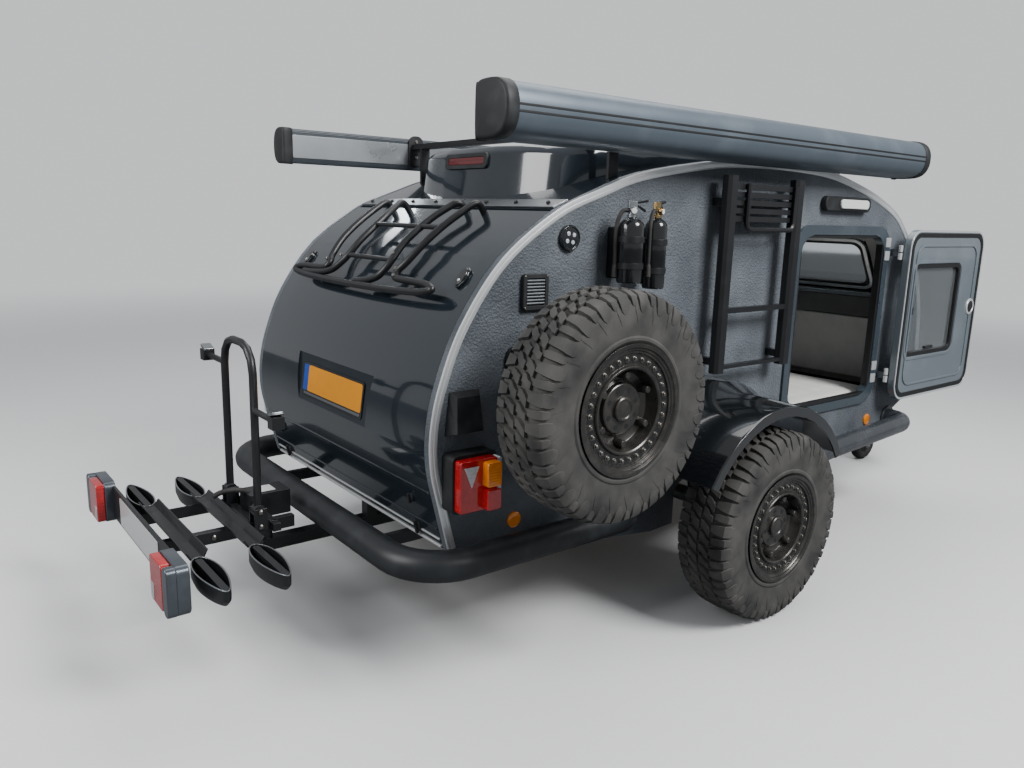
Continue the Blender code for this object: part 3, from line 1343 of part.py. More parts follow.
def build_coupler(trailer, material):
    """Add the ball coupler with its socket and lever on the drawbar's nose."""
    z = RAIL_TOP - RAIL_TALL / 2
    nose = FRONT_REACH - COUPLER_HEAD_RADIUS
    shank = block((-COUPLER_WIDE / 2, DRAWBAR_NOSE + GAP, z - COUPLER_TALL / 2),
                  (COUPLER_WIDE / 2, nose, z + COUPLER_TALL / 2))
    head = cylinder((0, nose, z - COUPLER_TALL / 2), (0, nose, z + COUPLER_TALL / 2), COUPLER_HEAD_RADIUS, 20)
    socket = turned(((z - COUPLER_TALL / 2 - OVERRUN, 0.0), (z - COUPLER_TALL / 2 - OVERRUN, SOCKET_RADIUS),
                     (z - COUPLER_TALL / 8, SOCKET_RADIUS), (z + COUPLER_TALL / 8, SOCKET_RADIUS * 0.8),
                     (z + COUPLER_TALL / 4, 0.0)), 16, (0, nose, 0), "z")
    lever = beam((0, nose, z + COUPLER_TALL / 2 + LEVER_THICK / 4),
                 (0, nose - LEVER_LONG, z + COUPLER_TALL * 0.9), LEVER_THICK * 1.5, LEVER_THICK)
    trailer.add("coupler", cut(fuse(shank, head, lever), socket), material)


def build_jockey(trailer, steel, rubber):
    """Add the jockey wheel: clamp and outer tube, swivelling fork, and spinning wheel."""
    z = RAIL_TOP - RAIL_TALL / 2
    slope = (DRAWBAR_NOSE_X - RAIL_X) / (DRAWBAR_NOSE - WELD_DEPTH - DRAWBAR_START)
    member_x = RAIL_X + (JOCKEY_Y - DRAWBAR_START) * slope
    outer = cylinder((JOCKEY_X, JOCKEY_Y, JOCKEY_TUBE_LOW), (JOCKEY_X, JOCKEY_Y, JOCKEY_TUBE_TOP), JOCKEY_TUBE)
    half = JOCKEY_TUBE * 1.2
    face = member_x + RAIL_WIDE / 2 * math.sqrt(1 + slope * slope) + GAP
    clamp_outline = [(face + slope * -half, JOCKEY_Y - half), (JOCKEY_X, JOCKEY_Y - half),
                     (JOCKEY_X, JOCKEY_Y + half), (face + slope * half, JOCKEY_Y + half)]
    clamp = prism(clamp_outline, "z", z - CLAMP_TALL / 2, z + CLAMP_TALL / 2)
    crank = tube(bent_path(((JOCKEY_X, JOCKEY_Y, JOCKEY_TUBE_TOP - WELD_DEPTH),
                            (JOCKEY_X, JOCKEY_Y, JOCKEY_TUBE_TOP + JOCKEY_HANDLE / 3),
                            (JOCKEY_X, JOCKEY_Y - JOCKEY_HANDLE, JOCKEY_TUBE_TOP + JOCKEY_HANDLE / 3),
                            (JOCKEY_X, JOCKEY_Y - JOCKEY_HANDLE, JOCKEY_TUBE_TOP + JOCKEY_HANDLE)),
                           JOCKEY_HANDLE / 8, 2), JOCKEY_FORK, 8)
    trailer.add("jockey_clamp", fuse(outer, clamp, crank), steel)
    swivel = trailer.pivot("jockey_swivel_axis", (JOCKEY_X, JOCKEY_Y, JOCKEY_TUBE_LOW))
    wheel_y = JOCKEY_Y - JOCKEY_TRAIL
    crown = 2 * JOCKEY_WHEEL + JOCKEY_FORK_GAP
    stem = cylinder((JOCKEY_X, JOCKEY_Y, crown), (JOCKEY_X, JOCKEY_Y, JOCKEY_TUBE_LOW - GAP), JOCKEY_INNER)
    cheek_in = JOCKEY_TYRE / 2 + JOCKEY_FORK_GAP
    cheek_out = cheek_in + JOCKEY_FORK
    bridge = block((JOCKEY_X - cheek_out, wheel_y - JOCKEY_INNER, crown),
                   (JOCKEY_X + cheek_out, JOCKEY_Y + JOCKEY_INNER, crown + JOCKEY_FORK))
    cheeks = [block((JOCKEY_X + side * cheek_in, wheel_y - JOCKEY_INNER, JOCKEY_WHEEL - JOCKEY_INNER),
                    (JOCKEY_X + side * cheek_out, wheel_y + JOCKEY_INNER, crown + WELD_DEPTH))
              for side in (-1, 1)]
    trailer.add("jockey_fork", fuse(stem, bridge, *cheeks), steel, swivel)
    spin = trailer.pivot("jockey_spin_axis", (0, -JOCKEY_TRAIL, JOCKEY_WHEEL - JOCKEY_TUBE_LOW), swivel)
    half = JOCKEY_TYRE / 2
    profile = ((-half - JOCKEY_FORK_GAP + GAP, 0.0), (-half - JOCKEY_FORK_GAP + GAP, JOCKEY_FORK * 1.5),
               (-half * 0.8, JOCKEY_FORK * 2), (-half * 0.5, JOCKEY_WHEEL * 0.55), (-half, JOCKEY_WHEEL * 0.65),
               (-half, JOCKEY_WHEEL * 0.9), (-half * 0.6, JOCKEY_WHEEL), (half * 0.6, JOCKEY_WHEEL),
               (half, JOCKEY_WHEEL * 0.9), (half, JOCKEY_WHEEL * 0.65), (half * 0.5, JOCKEY_WHEEL * 0.55),
               (half * 0.8, JOCKEY_FORK * 2), (half + JOCKEY_FORK_GAP - GAP, JOCKEY_FORK * 1.5),
               (half + JOCKEY_FORK_GAP - GAP, 0.0))
    wheel = turned(profile, 16, (JOCKEY_X, wheel_y, JOCKEY_WHEEL))
    trailer.add("jockey_wheel", wheel, rubber, spin)


def build_steadies(trailer, steel):
    """Add the two rear corner steadies, folded up under the floor."""
    for side, name in ((1, "right"), (-1, "left")):
        x = side * STEADY_X
        half = STEADY_WIDE / 2
        pivot = trailer.pivot("steady_" + name + "_axis", (x, STEADY_Y, STEADY_Z))
        outline = [(STEADY_Y + half, STEADY_Z - half), (STEADY_Y + half, STEADY_Z + half),
                   (STEADY_Y - STEADY_LONG, STEADY_Z + half), (STEADY_Y - STEADY_LONG, STEADY_Z - half)]
        leg = prism(outline, "x", x - half, x + half)
        foot = block((x - STEADY_FOOT, STEADY_Y - STEADY_LONG - STEADY_THICK / 3, STEADY_Z - STEADY_FOOT),
                     (x + STEADY_FOOT, STEADY_Y - STEADY_LONG + STEADY_THICK / 3, STEADY_Z + STEADY_FOOT))
        trailer.add("steady_" + name, fuse(leg, foot), steel, pivot)


# Bike carrier

def build_receiver(trailer, steel):
    """Add the hitch bar that runs under the bumper and ends in a tow ball."""
    half = RECEIVER_WIDE / 2
    under = RAIL_TOP - RAIL_TALL + WELD_DEPTH / 2 - GAP
    bar = block((-half, BALL_Y - half, RECEIVER_Z - half), (half, RECEIVER_FRONT, RECEIVER_Z + half))
    riser = block((-half, -RAIL_REAR, RECEIVER_Z), (half, -RAIL_REAR + RAIL_WIDE, under))
    profile = ((RECEIVER_Z, 0.0), (RECEIVER_Z, half * 0.9), (BALL_Z - BALL_RADIUS * 1.6, half * 0.9),
               (BALL_Z - BALL_RADIUS * 1.4, BALL_RADIUS * 0.6), (BALL_Z - BALL_RADIUS * 0.8, BALL_RADIUS * 0.6),
               (BALL_Z, BALL_RADIUS), (BALL_Z + BALL_RADIUS * 0.7, BALL_RADIUS * 0.7), (BALL_Z + BALL_RADIUS, 0.0))
    ball = turned(profile, 16, (0, BALL_Y, 0), "z")
    trailer.add("tow_bar", fuse(bar, riser, ball), steel)


def build_carrier(trailer, black, lens):
    """Add the bike carrier: a frame with coupling, beams and wheel trays, and its lamp board."""
    low = BALL_Z - BALL_RADIUS
    box = block((-COUPLING_WIDE / 2, BALL_Y - COUPLING_LONG / 2, low),
                (COUPLING_WIDE / 2, BALL_Y + COUPLING_LONG / 2, low + COUPLING_TALL))
    cavity = BALL_RADIUS + GAP
    hole = turned(((low - OVERRUN, 0.0), (low - OVERRUN, cavity), (BALL_Z + cavity * 0.3, cavity),
                   (BALL_Z + cavity * 0.8, cavity * 0.8), (BALL_Z + cavity * 1.1, 0.0)), 16, (0, BALL_Y, 0), "z")
    parts = []
    for x in BEAM_X:
        parts.append(block((x - BEAM_WIDE / 2, -BEAM_REAR, BEAM_Z - BEAM_TALL / 2),
                           (x + BEAM_WIDE / 2, BALL_Y + COUPLING_LONG / 4, BEAM_Z + BEAM_TALL / 2)))
    for y in (BALL_Y - COUPLING_LONG / 4, HOOP_Y, -BEAM_REAR + BEAM_WIDE / 2):
        parts.append(block((HOOP_X[0] * 1.3 - HOOP_EAR, y - BEAM_WIDE / 2, BEAM_Z - BEAM_TALL / 3),
                           (HOOP_X[1] + HOOP_HUB_HALF + HOOP_EAR, y + BEAM_WIDE / 2, BEAM_Z + BEAM_TALL / 3)))
    for x in HOOP_X:
        for edge in (-1, 1):
            near, far = x + edge * (HOOP_HUB_HALF + GAP), x + edge * (HOOP_HUB_HALF + GAP + HOOP_EAR)
            low, high = sorted((near, far))
            parts.append(block((low, HOOP_Y - HOOP_HUB, BEAM_Z), (high, HOOP_Y + HOOP_HUB, HOOP_BASE_Z + HOOP_HUB / 2)))
    trays = [tray(y) for y in TRAY_Y]
    trailer.add("carrier_frame", cut(fuse(box, *parts, *trays), hole), black)
    board = block((BOARD_LEFT + BOARD_LAMP_LONG / 2, -BEAM_REAR - GAP - BOARD_THICK, BOARD_Z - BOARD_TALL / 2),
                  (BOARD_RIGHT - BOARD_LAMP_LONG / 2, -BEAM_REAR - GAP, BOARD_Z + BOARD_TALL / 2))
    lamps = []
    for x in (BOARD_LEFT, BOARD_RIGHT - BOARD_LAMP_LONG):
        outline = rounded_rectangle(x, BOARD_Z - BOARD_LAMP_TALL / 2, x + BOARD_LAMP_LONG,
                                    BOARD_Z + BOARD_LAMP_TALL / 2, BOARD_THICK, 2)
        lamps.append(prism(outline, "y", -REAR_REACH, -BEAM_REAR - 2 * GAP))
    trailer.add("lamp_board", fuse(board, *lamps), lens)


def tray(y):
    """Return a wheel tray: an open channel with a raised cup at its right end."""
    low = BEAM_Z + BEAM_TALL / 2 - TRAY_WALL / 2
    half = TRAY_WIDE / 2
    section = [(y - half * 0.6, low), (y + half * 0.6, low), (y + half, low + TRAY_TALL),
               (y + half - TRAY_WALL, low + TRAY_TALL), (y + half * 0.6 - TRAY_WALL, low + TRAY_WALL),
               (y - half * 0.6 + TRAY_WALL, low + TRAY_WALL), (y - half + TRAY_WALL, low + TRAY_TALL),
               (y - half, low + TRAY_TALL)]
    channel = prism(section, "x", TRAY_LEFT, TRAY_RIGHT - TRAY_CUP_LONG / 2)
    centre = TRAY_RIGHT - TRAY_CUP_LONG / 2
    cup = prism(oval(centre, y, TRAY_CUP_LONG / 2, half * 1.15, 14), "z", low, low + TRAY_TALL)
    hollow = prism(oval(centre, y, TRAY_CUP_LONG / 2 - TRAY_WALL, half * 1.15 - TRAY_WALL, 14), "z",
                   low + TRAY_WALL, low + TRAY_TALL + OVERRUN)
    return fuse(cut(cup, hollow), channel)


def build_hoop(trailer, black):
    """Add the hoop that holds the bikes, on its folding axis, with two clamp arms."""
    pivot = trailer.pivot("hoop_axis", (0, HOOP_Y, HOOP_BASE_Z))
    left, right = HOOP_X
    path = bent_path(((left, HOOP_Y, HOOP_BASE_Z), (left, HOOP_Y, HOOP_TOP), (right, HOOP_Y, HOOP_TOP),
                      (right, HOOP_Y, HOOP_BASE_Z)), HOOP_BEND)
    parts = [tube(path, HOOP_TUBE, 8)]
    for x in HOOP_X:
        parts.append(cylinder((x - HOOP_HUB_HALF, HOOP_Y, HOOP_BASE_Z), (x + HOOP_HUB_HALF, HOOP_Y, HOOP_BASE_Z),
                              HOOP_HUB, 12))
    for x, z, way in ((right, HOOP_ARM_Z, 1), (left, HOOP_TOP - HOOP_BEND, -1)):
        reach = x + way * HOOP_ARM_LONG
        parts.append(cylinder((x, HOOP_Y, z), (reach, HOOP_Y, z), HOOP_TUBE * 0.8, 8))
        parts.append(block((reach - HOOP_CLAMP, HOOP_Y - HOOP_CLAMP, z - HOOP_CLAMP),
                           (reach + HOOP_CLAMP, HOOP_Y + HOOP_CLAMP, z + HOOP_CLAMP)))
    trailer.add("carrier_hoop", fuse(*parts), black, pivot)


def main():
    """Build the trailer, from the chassis up."""
    clear_scene()
    trailer = Trailer()
    gloss = make_material("gloss_paint", PAINT_GLOSS)
    coarse = make_material("coarse_coating", PAINT_COARSE)
    frame = make_material("frame_paint", PAINT_FRAME)
    black = make_material("black_powder_coat", BLACK_POWDER)
    tube_grey = make_material("tube_coat", TUBE_GREY)
    zinc = make_material("galvanised_steel", GALVANISED)
    rubber = make_material("rubber", RUBBER)
    alloy = make_material("dark_alloy", DARK_ALLOY)
    awning_grey = make_material("awning_case", AWNING_GREY)
    silver = make_material("anodised_aluminium", ANODISED)
    red = make_material("red_lens", RED_LENS)
    fabric = make_material("white_fabric", WHITE_FABRIC)
    wood = make_material("plywood", PLYWOOD)
    glass = make_material("tinted_acrylic", TINTED_GLASS)
    build_chassis(trailer, zinc)
    build_axle(trailer, zinc)
    build_wheels(trailer, rubber, alloy)
    build_spare_bracket(trailer, black)
    build_sides(trailer, coarse)
    build_roof(trailer, gloss)
    build_hinge_rail(trailer, silver)
    build_floor(trailer, wood)
    build_cabin(trailer, wood, fabric)
    build_fenders(trailer, gloss)
    build_bumper(trailer, tube_grey)
    build_sliders(trailer, tube_grey)
    build_door_frames(trailer, frame)
    build_doors(trailer, frame, glass)
    build_hatch(trailer, gloss, black)
    build_pod(trailer, gloss)
    build_brake_lamp(trailer, red)
    build_awnings(trailer, awning_grey, silver)
    build_crossbars(trailer, black)
    build_tail_lamps(trailer, red)
    build_vent(trailer, black)
    build_wedge(trailer, black)
    build_porch_lamps(trailer, silver)
    build_bottles(trailer, black)
    build_ladder(trailer, black)
    build_coupler(trailer, zinc)
    build_jockey(trailer, zinc, rubber)
    build_steadies(trailer, zinc)
    build_receiver(trailer, black)
    build_carrier(trailer, black, red)
    build_hoop(trailer, black)


main()
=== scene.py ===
"""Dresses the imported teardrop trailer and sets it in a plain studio.

Finer pieces stand in for the tyres, rims, bumper and step tubes, lamps, vent, hatch rack, roof pod,
awnings, extinguishers, doors with their panes, mattress and lamp board. Every other CAD node gets a
copy of its own faces, shaded round and with broken edges, and the skin's copy has a window cut in its
nose. Trim, seals, plates, hinges, bolts and felt are added. Each piece rides on the body that carries
it. Lengths are metres in the world, and names that end in mm hold millimetres.
"""

from __future__ import annotations

import json
import logging
import math
from collections.abc import Callable
from dataclasses import dataclass
from enum import Enum

import bmesh
import bpy
from mathutils import Matrix, Vector

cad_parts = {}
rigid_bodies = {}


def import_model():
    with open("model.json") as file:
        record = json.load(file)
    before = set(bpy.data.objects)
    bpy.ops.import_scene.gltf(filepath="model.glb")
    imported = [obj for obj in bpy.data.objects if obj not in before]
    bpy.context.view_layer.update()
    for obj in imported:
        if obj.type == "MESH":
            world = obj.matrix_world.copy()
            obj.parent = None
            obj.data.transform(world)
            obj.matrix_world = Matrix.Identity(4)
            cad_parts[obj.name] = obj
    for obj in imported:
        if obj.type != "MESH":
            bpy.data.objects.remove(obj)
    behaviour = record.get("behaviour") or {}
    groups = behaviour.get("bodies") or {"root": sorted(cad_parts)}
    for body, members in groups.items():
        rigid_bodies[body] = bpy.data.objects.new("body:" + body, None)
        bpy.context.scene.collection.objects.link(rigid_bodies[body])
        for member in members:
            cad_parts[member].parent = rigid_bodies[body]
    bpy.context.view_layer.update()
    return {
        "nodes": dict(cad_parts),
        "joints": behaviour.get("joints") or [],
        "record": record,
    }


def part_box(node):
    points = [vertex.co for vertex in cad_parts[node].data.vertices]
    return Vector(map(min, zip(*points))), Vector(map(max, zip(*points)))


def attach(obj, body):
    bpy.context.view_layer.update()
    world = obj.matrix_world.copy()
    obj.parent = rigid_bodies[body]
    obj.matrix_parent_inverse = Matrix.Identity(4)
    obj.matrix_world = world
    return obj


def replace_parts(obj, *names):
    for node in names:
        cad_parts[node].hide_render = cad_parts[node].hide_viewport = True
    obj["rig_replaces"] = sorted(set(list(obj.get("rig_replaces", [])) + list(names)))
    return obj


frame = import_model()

logging.basicConfig(level=logging.INFO, format="%(name)s: %(message)s")
LOG = logging.getLogger("teardrop_trailer")

MM = 0.001
ACROSS = Vector((1.0, 0.0, 0.0))
FORWARD = Vector((0.0, 1.0, 0.0))
UP = Vector((0.0, 0.0, 1.0))
SIDES = {"right": 1.0, "left": -1.0}
# Points across and up from the middle of a flat place
Outline = list[tuple[float, float]]


def linear(hex_colour: str) -> tuple[float, float, float, float]:
    """Turn an sRGB hex colour into the linear one that the shaders take.

    Args:
        hex_colour: Six hex digits after a hash sign.

    Returns:
        Red, green and blue in linear light, and an alpha of one.
    """
    parts = [int(hex_colour[i : i + 2], 16) / 255 for i in (1, 3, 5)]
    red, green, blue = (c / 12.92 if c <= 0.04045 else ((c + 0.055) / 1.055) ** 2.4 for c in parts)
    return red, green, blue, 1.0


def add_node(tree: bpy.types.NodeTree, kind: str, values: dict | None = None, **settings) -> bpy.types.Node:
    """Add one shader node with its settings and links.

    Args:
        tree: The node tree to add to.
        kind: The node's type name without the ShaderNode prefix.
        values: Input name or number, and its value, or the output socket that feeds it.
        **settings: The node's own properties.

    Returns:
        The new node.
    """
    node = tree.nodes.new("ShaderNode" + kind)
    for name, value in settings.items():
        setattr(node, name, value)
    for name, value in (values or {}).items():
        if isinstance(value, bpy.types.NodeSocket):
            tree.links.new(value, node.inputs[name])
        else:
            node.inputs[name].default_value = value
    return node


class Pattern(Enum):
    """How a surface was made, which sets the relief that the eye sees."""

    SMOOTH = "smooth moulding"
    PEEL = "sprayed gloss"
    GRAIN = "moulded leather grain"
    POWDER = "baked powder"
    EXTRUDED = "drawn along its length"
    SPANGLE = "zinc spangle"
    WEAVE = "woven threads"
    QUILT = "quilted jersey"
    PLY = "peeled veneer"
    PRISM = "moulded prisms"
    RUBBER = "cured rubber"


@dataclass(frozen=True)
class Finish:
    """One real material, with the look that its making gives it.

    The pattern's cell is the real spacing of its relief in millimetres, and the bloom is the second colour, such
    as dust or wear, in soft patches of bloom_mm over bloom_share of it. The bloom also gathers in the relief's low
    places: where it is paler this is dust, and where it is darker, as on the quilted jersey, the felt and the
    lenses, it is painted shade in the hollows.
    """

    name: str
    colour: str
    bloom: str
    bloom_share: float
    roughness: float
    pattern: Pattern
    cell_mm: float
    relief_mm: float
    bloom_mm: float = 180.0
    spread: float = 0.08
    metallic: float = 0.0
    ior: float = 1.5
    coat: float = 0.0
    sheen: float = 0.0
    clear: float = 0.0
    glow: float = 0.0

    def material(self) -> bpy.types.Material:
        """Return the material, made once and then shared."""
        made = bpy.data.materials.get(self.name)
        return made if made else self.make()

    def make(self) -> bpy.types.Material:
        """Build the node tree: a colour with its bloom, a roughness that varies, and a relief."""
        material = bpy.data.materials.new(self.name)
        material.use_nodes = True
        tree = material.node_tree
        shader = tree.nodes["Principled BSDF"]
        place = add_node(tree, "TexCoord").outputs["Object"]
        patches = add_node(tree, "TexNoise", {"Vector": place, "Scale": 1000 / self.bloom_mm, "Detail": 6.0})
        edge = 1.0 - self.bloom_share
        mask = add_node(
            tree,
            "MapRange",
            {
                "Value": patches.outputs["Fac"], "From Min": edge - 0.22, "From Max": edge + 0.12,
                "To Max": 0.85,
            },
        )
        height = self.relief(tree, place)
        low = add_node(tree, "Math", {0: 1.0, 1: height}, operation="SUBTRACT")
        worn = add_node(tree, "Math", {0: mask.outputs[0], 1: 0.55}, operation="MULTIPLY")
        # The bloom also sits in the relief's low places: dust where it is paler, painted shade in the hollows
        # where it is darker
        hollow_dust_and_shade = add_node(
            tree, "Math", {0: low.outputs[0], 1: self.bloom_share * 0.35}, operation="MULTIPLY"
        )
        share = add_node(
            tree, "Math", {0: worn.outputs[0], 1: hollow_dust_and_shade.outputs[0]}, operation="ADD", use_clamp=True
        )
        tint = add_node(
            tree,
            "Mix",
            {0: share.outputs[0], 6: linear(self.colour), 7: linear(self.bloom)},
            data_type="RGBA",
        )
        dull = add_node(
            tree,
            "MapRange",
            {
                "Value": patches.outputs["Fac"],
                "To Min": max(self.roughness - self.spread, 0.02),
                "To Max": min(self.roughness + self.spread, 1.0),
            },
        )
        bump = add_node(tree, "Bump", {"Height": height, "Distance": self.relief_mm * MM, "Strength": 1.0})
        tree.links.new(tint.outputs[2], shader.inputs["Base Color"])
        tree.links.new(dull.outputs[0], shader.inputs["Roughness"])
        tree.links.new(bump.outputs[0], shader.inputs["Normal"])
        values = {
            "Metallic": self.metallic, "IOR": self.ior, "Coat Weight": self.coat, "Coat Roughness": 0.04,
            "Sheen Weight": self.sheen, "Transmission Weight": self.clear,
        }
        if self.glow:
            values.update({"Emission Color": linear(self.colour), "Emission Strength": self.glow})
        for name, value in values.items():
            shader.inputs[name].default_value = value
        return material

    def relief(self, tree: bpy.types.NodeTree, place: bpy.types.NodeSocket) -> bpy.types.NodeSocket:
        """Build the pattern's height.

        Args:
            tree: The material's node tree.
            place: The object coordinates, in metres.

        Returns:
            The socket that gives a height from nought to one.
        """
        scale = 1000 / self.cell_mm
        if self.pattern in (Pattern.SPANGLE, Pattern.GRAIN):
            cells = add_node(tree, "TexVoronoi", {"Vector": place, "Scale": scale}, feature="SMOOTH_F1")
            fine = add_node(tree, "TexNoise", {"Vector": place, "Scale": scale * 1.7, "Detail": 4.0})
            return add_node(
                tree, "Math", {0: cells.outputs[0], 1: fine.outputs[0]}, operation="MULTIPLY"
            ).outputs[0]
        if self.pattern in (Pattern.WEAVE, Pattern.PRISM, Pattern.QUILT):
            prism = self.pattern is Pattern.PRISM
            # A wave texture at scale one repeats every 0.314 m, so this gives one repeat in two cells
            wave = {"Vector": place, "Scale": scale * 0.157, "Distortion": 0.0 if prism else 0.6}
            bands = [
                add_node(tree, "TexWave", wave, bands_direction=way).outputs["Fac"]
                for way in ("X", "Z" if prism else "Y")
            ]
            return add_node(tree, "Math", {0: bands[0], 1: bands[1]}, operation="MULTIPLY").outputs[0]
        stretch = {Pattern.EXTRUDED: (1.0, 0.01, 1.0), Pattern.PLY: (1.0, 0.08, 6.0)}.get(
            self.pattern, (1.0, 1.0, 1.0)
        )
        drawn = add_node(tree, "Mapping", {"Vector": place, "Scale": tuple(scale * s for s in stretch)})
        return add_node(
            tree, "TexNoise", {"Vector": drawn.outputs[0], "Scale": 1.0, "Detail": 3.0, "Roughness": 0.55}
        ).outputs["Fac"]


# Gloss gel coat over fibreglass: deep, wet-looking, with a faint orange peel and pale road dust
GEL_COAT = Finish(
    "gel_coat_sprayed_gloss", "#1E262D", "#3A434A", 0.26, 0.13, Pattern.PEEL, 9.0, 0.05,
    bloom_mm=420.0, spread=0.05, coat=1.0,
)
# ABS sheet with a moulded leather grain: pebbled, dull, and paler where dust sits in it
GRAINED_ABS = Finish(
    "abs_sheet_leather_grain", "#3C4249", "#838A91", 0.48, 0.6, Pattern.GRAIN, 8.0, 6.5, bloom_mm=300.0,
    ior=1.46,
)
# Vacuum-formed ABS: smooth, satin, a shade paler than the body
FORMED_ABS = Finish(
    "abs_vacuum_formed_satin", "#38424A", "#59636A", 0.25, 0.28, Pattern.SMOOTH, 14.0, 0.08, coat=0.5,
    ior=1.46,
)
# The door leaves' own moulding: the same sheet in silver grey, glossier from the mould's polish
SILVER_ABS = Finish(
    "abs_vacuum_formed_silver", "#6C767D", "#879197", 0.25, 0.22, Pattern.SMOOTH, 18.0, 0.08, coat=0.7,
    ior=1.46,
)
# Black gel coat on the mudguards: deep gloss, with road dust
BLACK_GLOSS = Finish(
    "gel_coat_black_gloss", "#101316", "#33373A", 0.24, 0.12, Pattern.PEEL, 9.0, 0.05, bloom_mm=260.0,
    spread=0.05, coat=1.0,
)
# Polyester powder on steel: baked, satin, with a fine pebble
POWDER_BLACK = Finish(
    "powder_coat_black_satin", "#15171A", "#3B3D40", 0.2, 0.42, Pattern.POWDER, 2.2, 0.1, bloom_mm=70.0,
    coat=0.15,
)
# The step tubes' powder: smoother and glossier, a shade lighter where feet have polished it
STEP_GREY = Finish(
    "powder_coat_graphite_gloss", "#363A3F", "#5A5E63", 0.3, 0.26, Pattern.POWDER, 2.2, 0.08, bloom_mm=90.0,
    coat=0.5,
)
# The bumper tube's powder: dark grey, duller, dusty on top
POWDER_GREY = Finish(
    "powder_coat_anthracite_satin", "#202326", "#474B4E", 0.28, 0.44, Pattern.POWDER, 2.4, 0.12, bloom_mm=90.0
)
# Stoved enamel on the bottles: black, glossy, with a faint peel
ENAMEL_BLACK = Finish(
    "bottle_enamel_black_gloss", "#141618", "#3A3D40", 0.18, 0.16, Pattern.PEEL, 6.0, 0.04, bloom_mm=60.0,
    coat=0.8,
)
# Moulded ABS, matt black, with a spark-eroded grain
MOULDED_BLACK = Finish(
    "abs_moulded_matt_black", "#1E2022", "#484B4D", 0.3, 0.55, Pattern.POWDER, 1.6, 0.12, bloom_mm=60.0,
    ior=1.46,
)
# Hot-dip zinc: flat spangles that catch the light one by one, greying as it ages
ZINC = Finish(
    "steel_hot_dip_galvanised", "#A9ADB0", "#7C8083", 0.45, 0.44, Pattern.SPANGLE, 11.0, 0.1,
    bloom_mm=60.0, spread=0.14, metallic=1.0,
)
# Cured tread rubber: deep grey-black, dry, with pale road dust in every low place
TYRE_RUBBER = Finish(
    "rubber_vulcanised_tyre", "#222223", "#6A6864", 0.46, 0.76, Pattern.RUBBER, 3.0, 0.25, bloom_mm=120.0,
    ior=1.52,
)
# Solid rubber of hoses, grips and the jockey wheel: dull black, greying
SOLID_RUBBER = Finish(
    "rubber_solid_black", "#232324", "#5C5954", 0.3, 0.7, Pattern.RUBBER, 3.0, 0.15, bloom_mm=60.0, ior=1.52
)
# Extruded rubber seals: black with a soft sheen drawn along them
SEAL_RUBBER = Finish(
    "rubber_extruded_seal", "#17181A", "#3C3E40", 0.18, 0.5, Pattern.EXTRUDED, 2.0, 0.05, bloom_mm=60.0,
    ior=1.52,
)
# Cast alloy under a thin dark coat: satin, with warm brake dust
CAST_ALLOY = Finish(
    "alloy_cast_bronze_coated", "#484746", "#76726C", 0.36, 0.28, Pattern.POWDER, 2.0, 0.06, bloom_mm=45.0,
    metallic=0.75,
)
# Phosphated bolt steel: mid grey, with small bright edges
BOLT_STEEL = Finish(
    "steel_bolt_phosphated", "#7D7B77", "#A09C94", 0.35, 0.36, Pattern.POWDER, 1.5, 0.05, bloom_mm=20.0,
    metallic=1.0,
)
# Anodised aluminium extrusion: soft sheen with drawn lines along its length
ANODISED_SILVER = Finish(
    "aluminium_anodised_silver", "#B9BDC0", "#8F9497", 0.35, 0.3, Pattern.EXTRUDED, 1.6, 0.04, metallic=1.0
)
# The left awning's case, anodised nearly black
ANODISED_DARK = Finish(
    "aluminium_anodised_anthracite", "#343B42", "#565E65", 0.26, 0.42, Pattern.EXTRUDED, 1.8, 0.05,
    metallic=0.35,
)
# The right awning's case, anodised blue grey
ANODISED_GREY = Finish(
    "aluminium_anodised_grey", "#65707A", "#87919A", 0.26, 0.38, Pattern.EXTRUDED, 1.8, 0.05, metallic=0.45
)
# Bright trim and hinge plates: almost white, soft, drawn along its length
BRIGHT_TRIM = Finish(
    "aluminium_bright_anodised_trim", "#E9EBEC", "#C6C9CB", 0.24, 0.34, Pattern.EXTRUDED, 1.5, 0.03,
    metallic=0.55,
)
# Chromed ABS, dark: the carrier lamps' cases
DARK_CHROME = Finish(
    "abs_dark_chromed", "#5B6168", "#7C838A", 0.3, 0.22, Pattern.SMOOTH, 12.0, 0.04, bloom_mm=60.0,
    metallic=0.6,
)
# Light-emitting diodes behind dark red acrylic: almost black until lit, with a row of small cells
LED_LENS = Finish(
    "acrylic_dark_red_led", "#8E0D14", "#2C0507", 0.7, 0.1, Pattern.PRISM, 9.0, 1.2,
    bloom_mm=12.0, spread=0.03, coat=1.0, ior=1.49, glow=0.02,
)
# Acrylic lenses: clear colour over moulded prisms
RED_LENS = Finish(
    "acrylic_moulded_red", "#C4151B", "#7E0A10", 0.45, 0.1, Pattern.PRISM, 7.0, 0.9,
    bloom_mm=30.0, spread=0.03, coat=1.0, ior=1.49, glow=0.05,
)
AMBER_LENS = Finish(
    "acrylic_moulded_amber", "#F08A12", "#C05F08", 0.4, 0.1, Pattern.PRISM, 5.0, 0.7,
    bloom_mm=25.0, spread=0.03, coat=1.0, ior=1.49, glow=0.05,
)
CLEAR_LENS = Finish(
    "acrylic_moulded_clear", "#DDE2E4", "#9AA1A6", 0.45, 0.1, Pattern.PRISM, 6.0, 0.8,
    bloom_mm=25.0, spread=0.03, coat=1.0, ior=1.49,
)
# Smoked polycarbonate: nearly black and very glossy
SMOKED_LENS = Finish(
    "polycarbonate_smoked", "#15181A", "#2E3336", 0.3, 0.08, Pattern.SMOOTH, 20.0, 0.02, bloom_mm=40.0,
    coat=1.0,
)
# Cast acrylic window, lightly smoked: light goes through with a grey tint
WINDOW_ACRYLIC = Finish(
    "acrylic_cast_window", "#DDE3E6", "#D2D9DD", 0.2, 0.04, Pattern.SMOOTH, 60.0, 0.02,
    bloom_mm=300.0, spread=0.02, ior=1.49, clear=0.92,
)
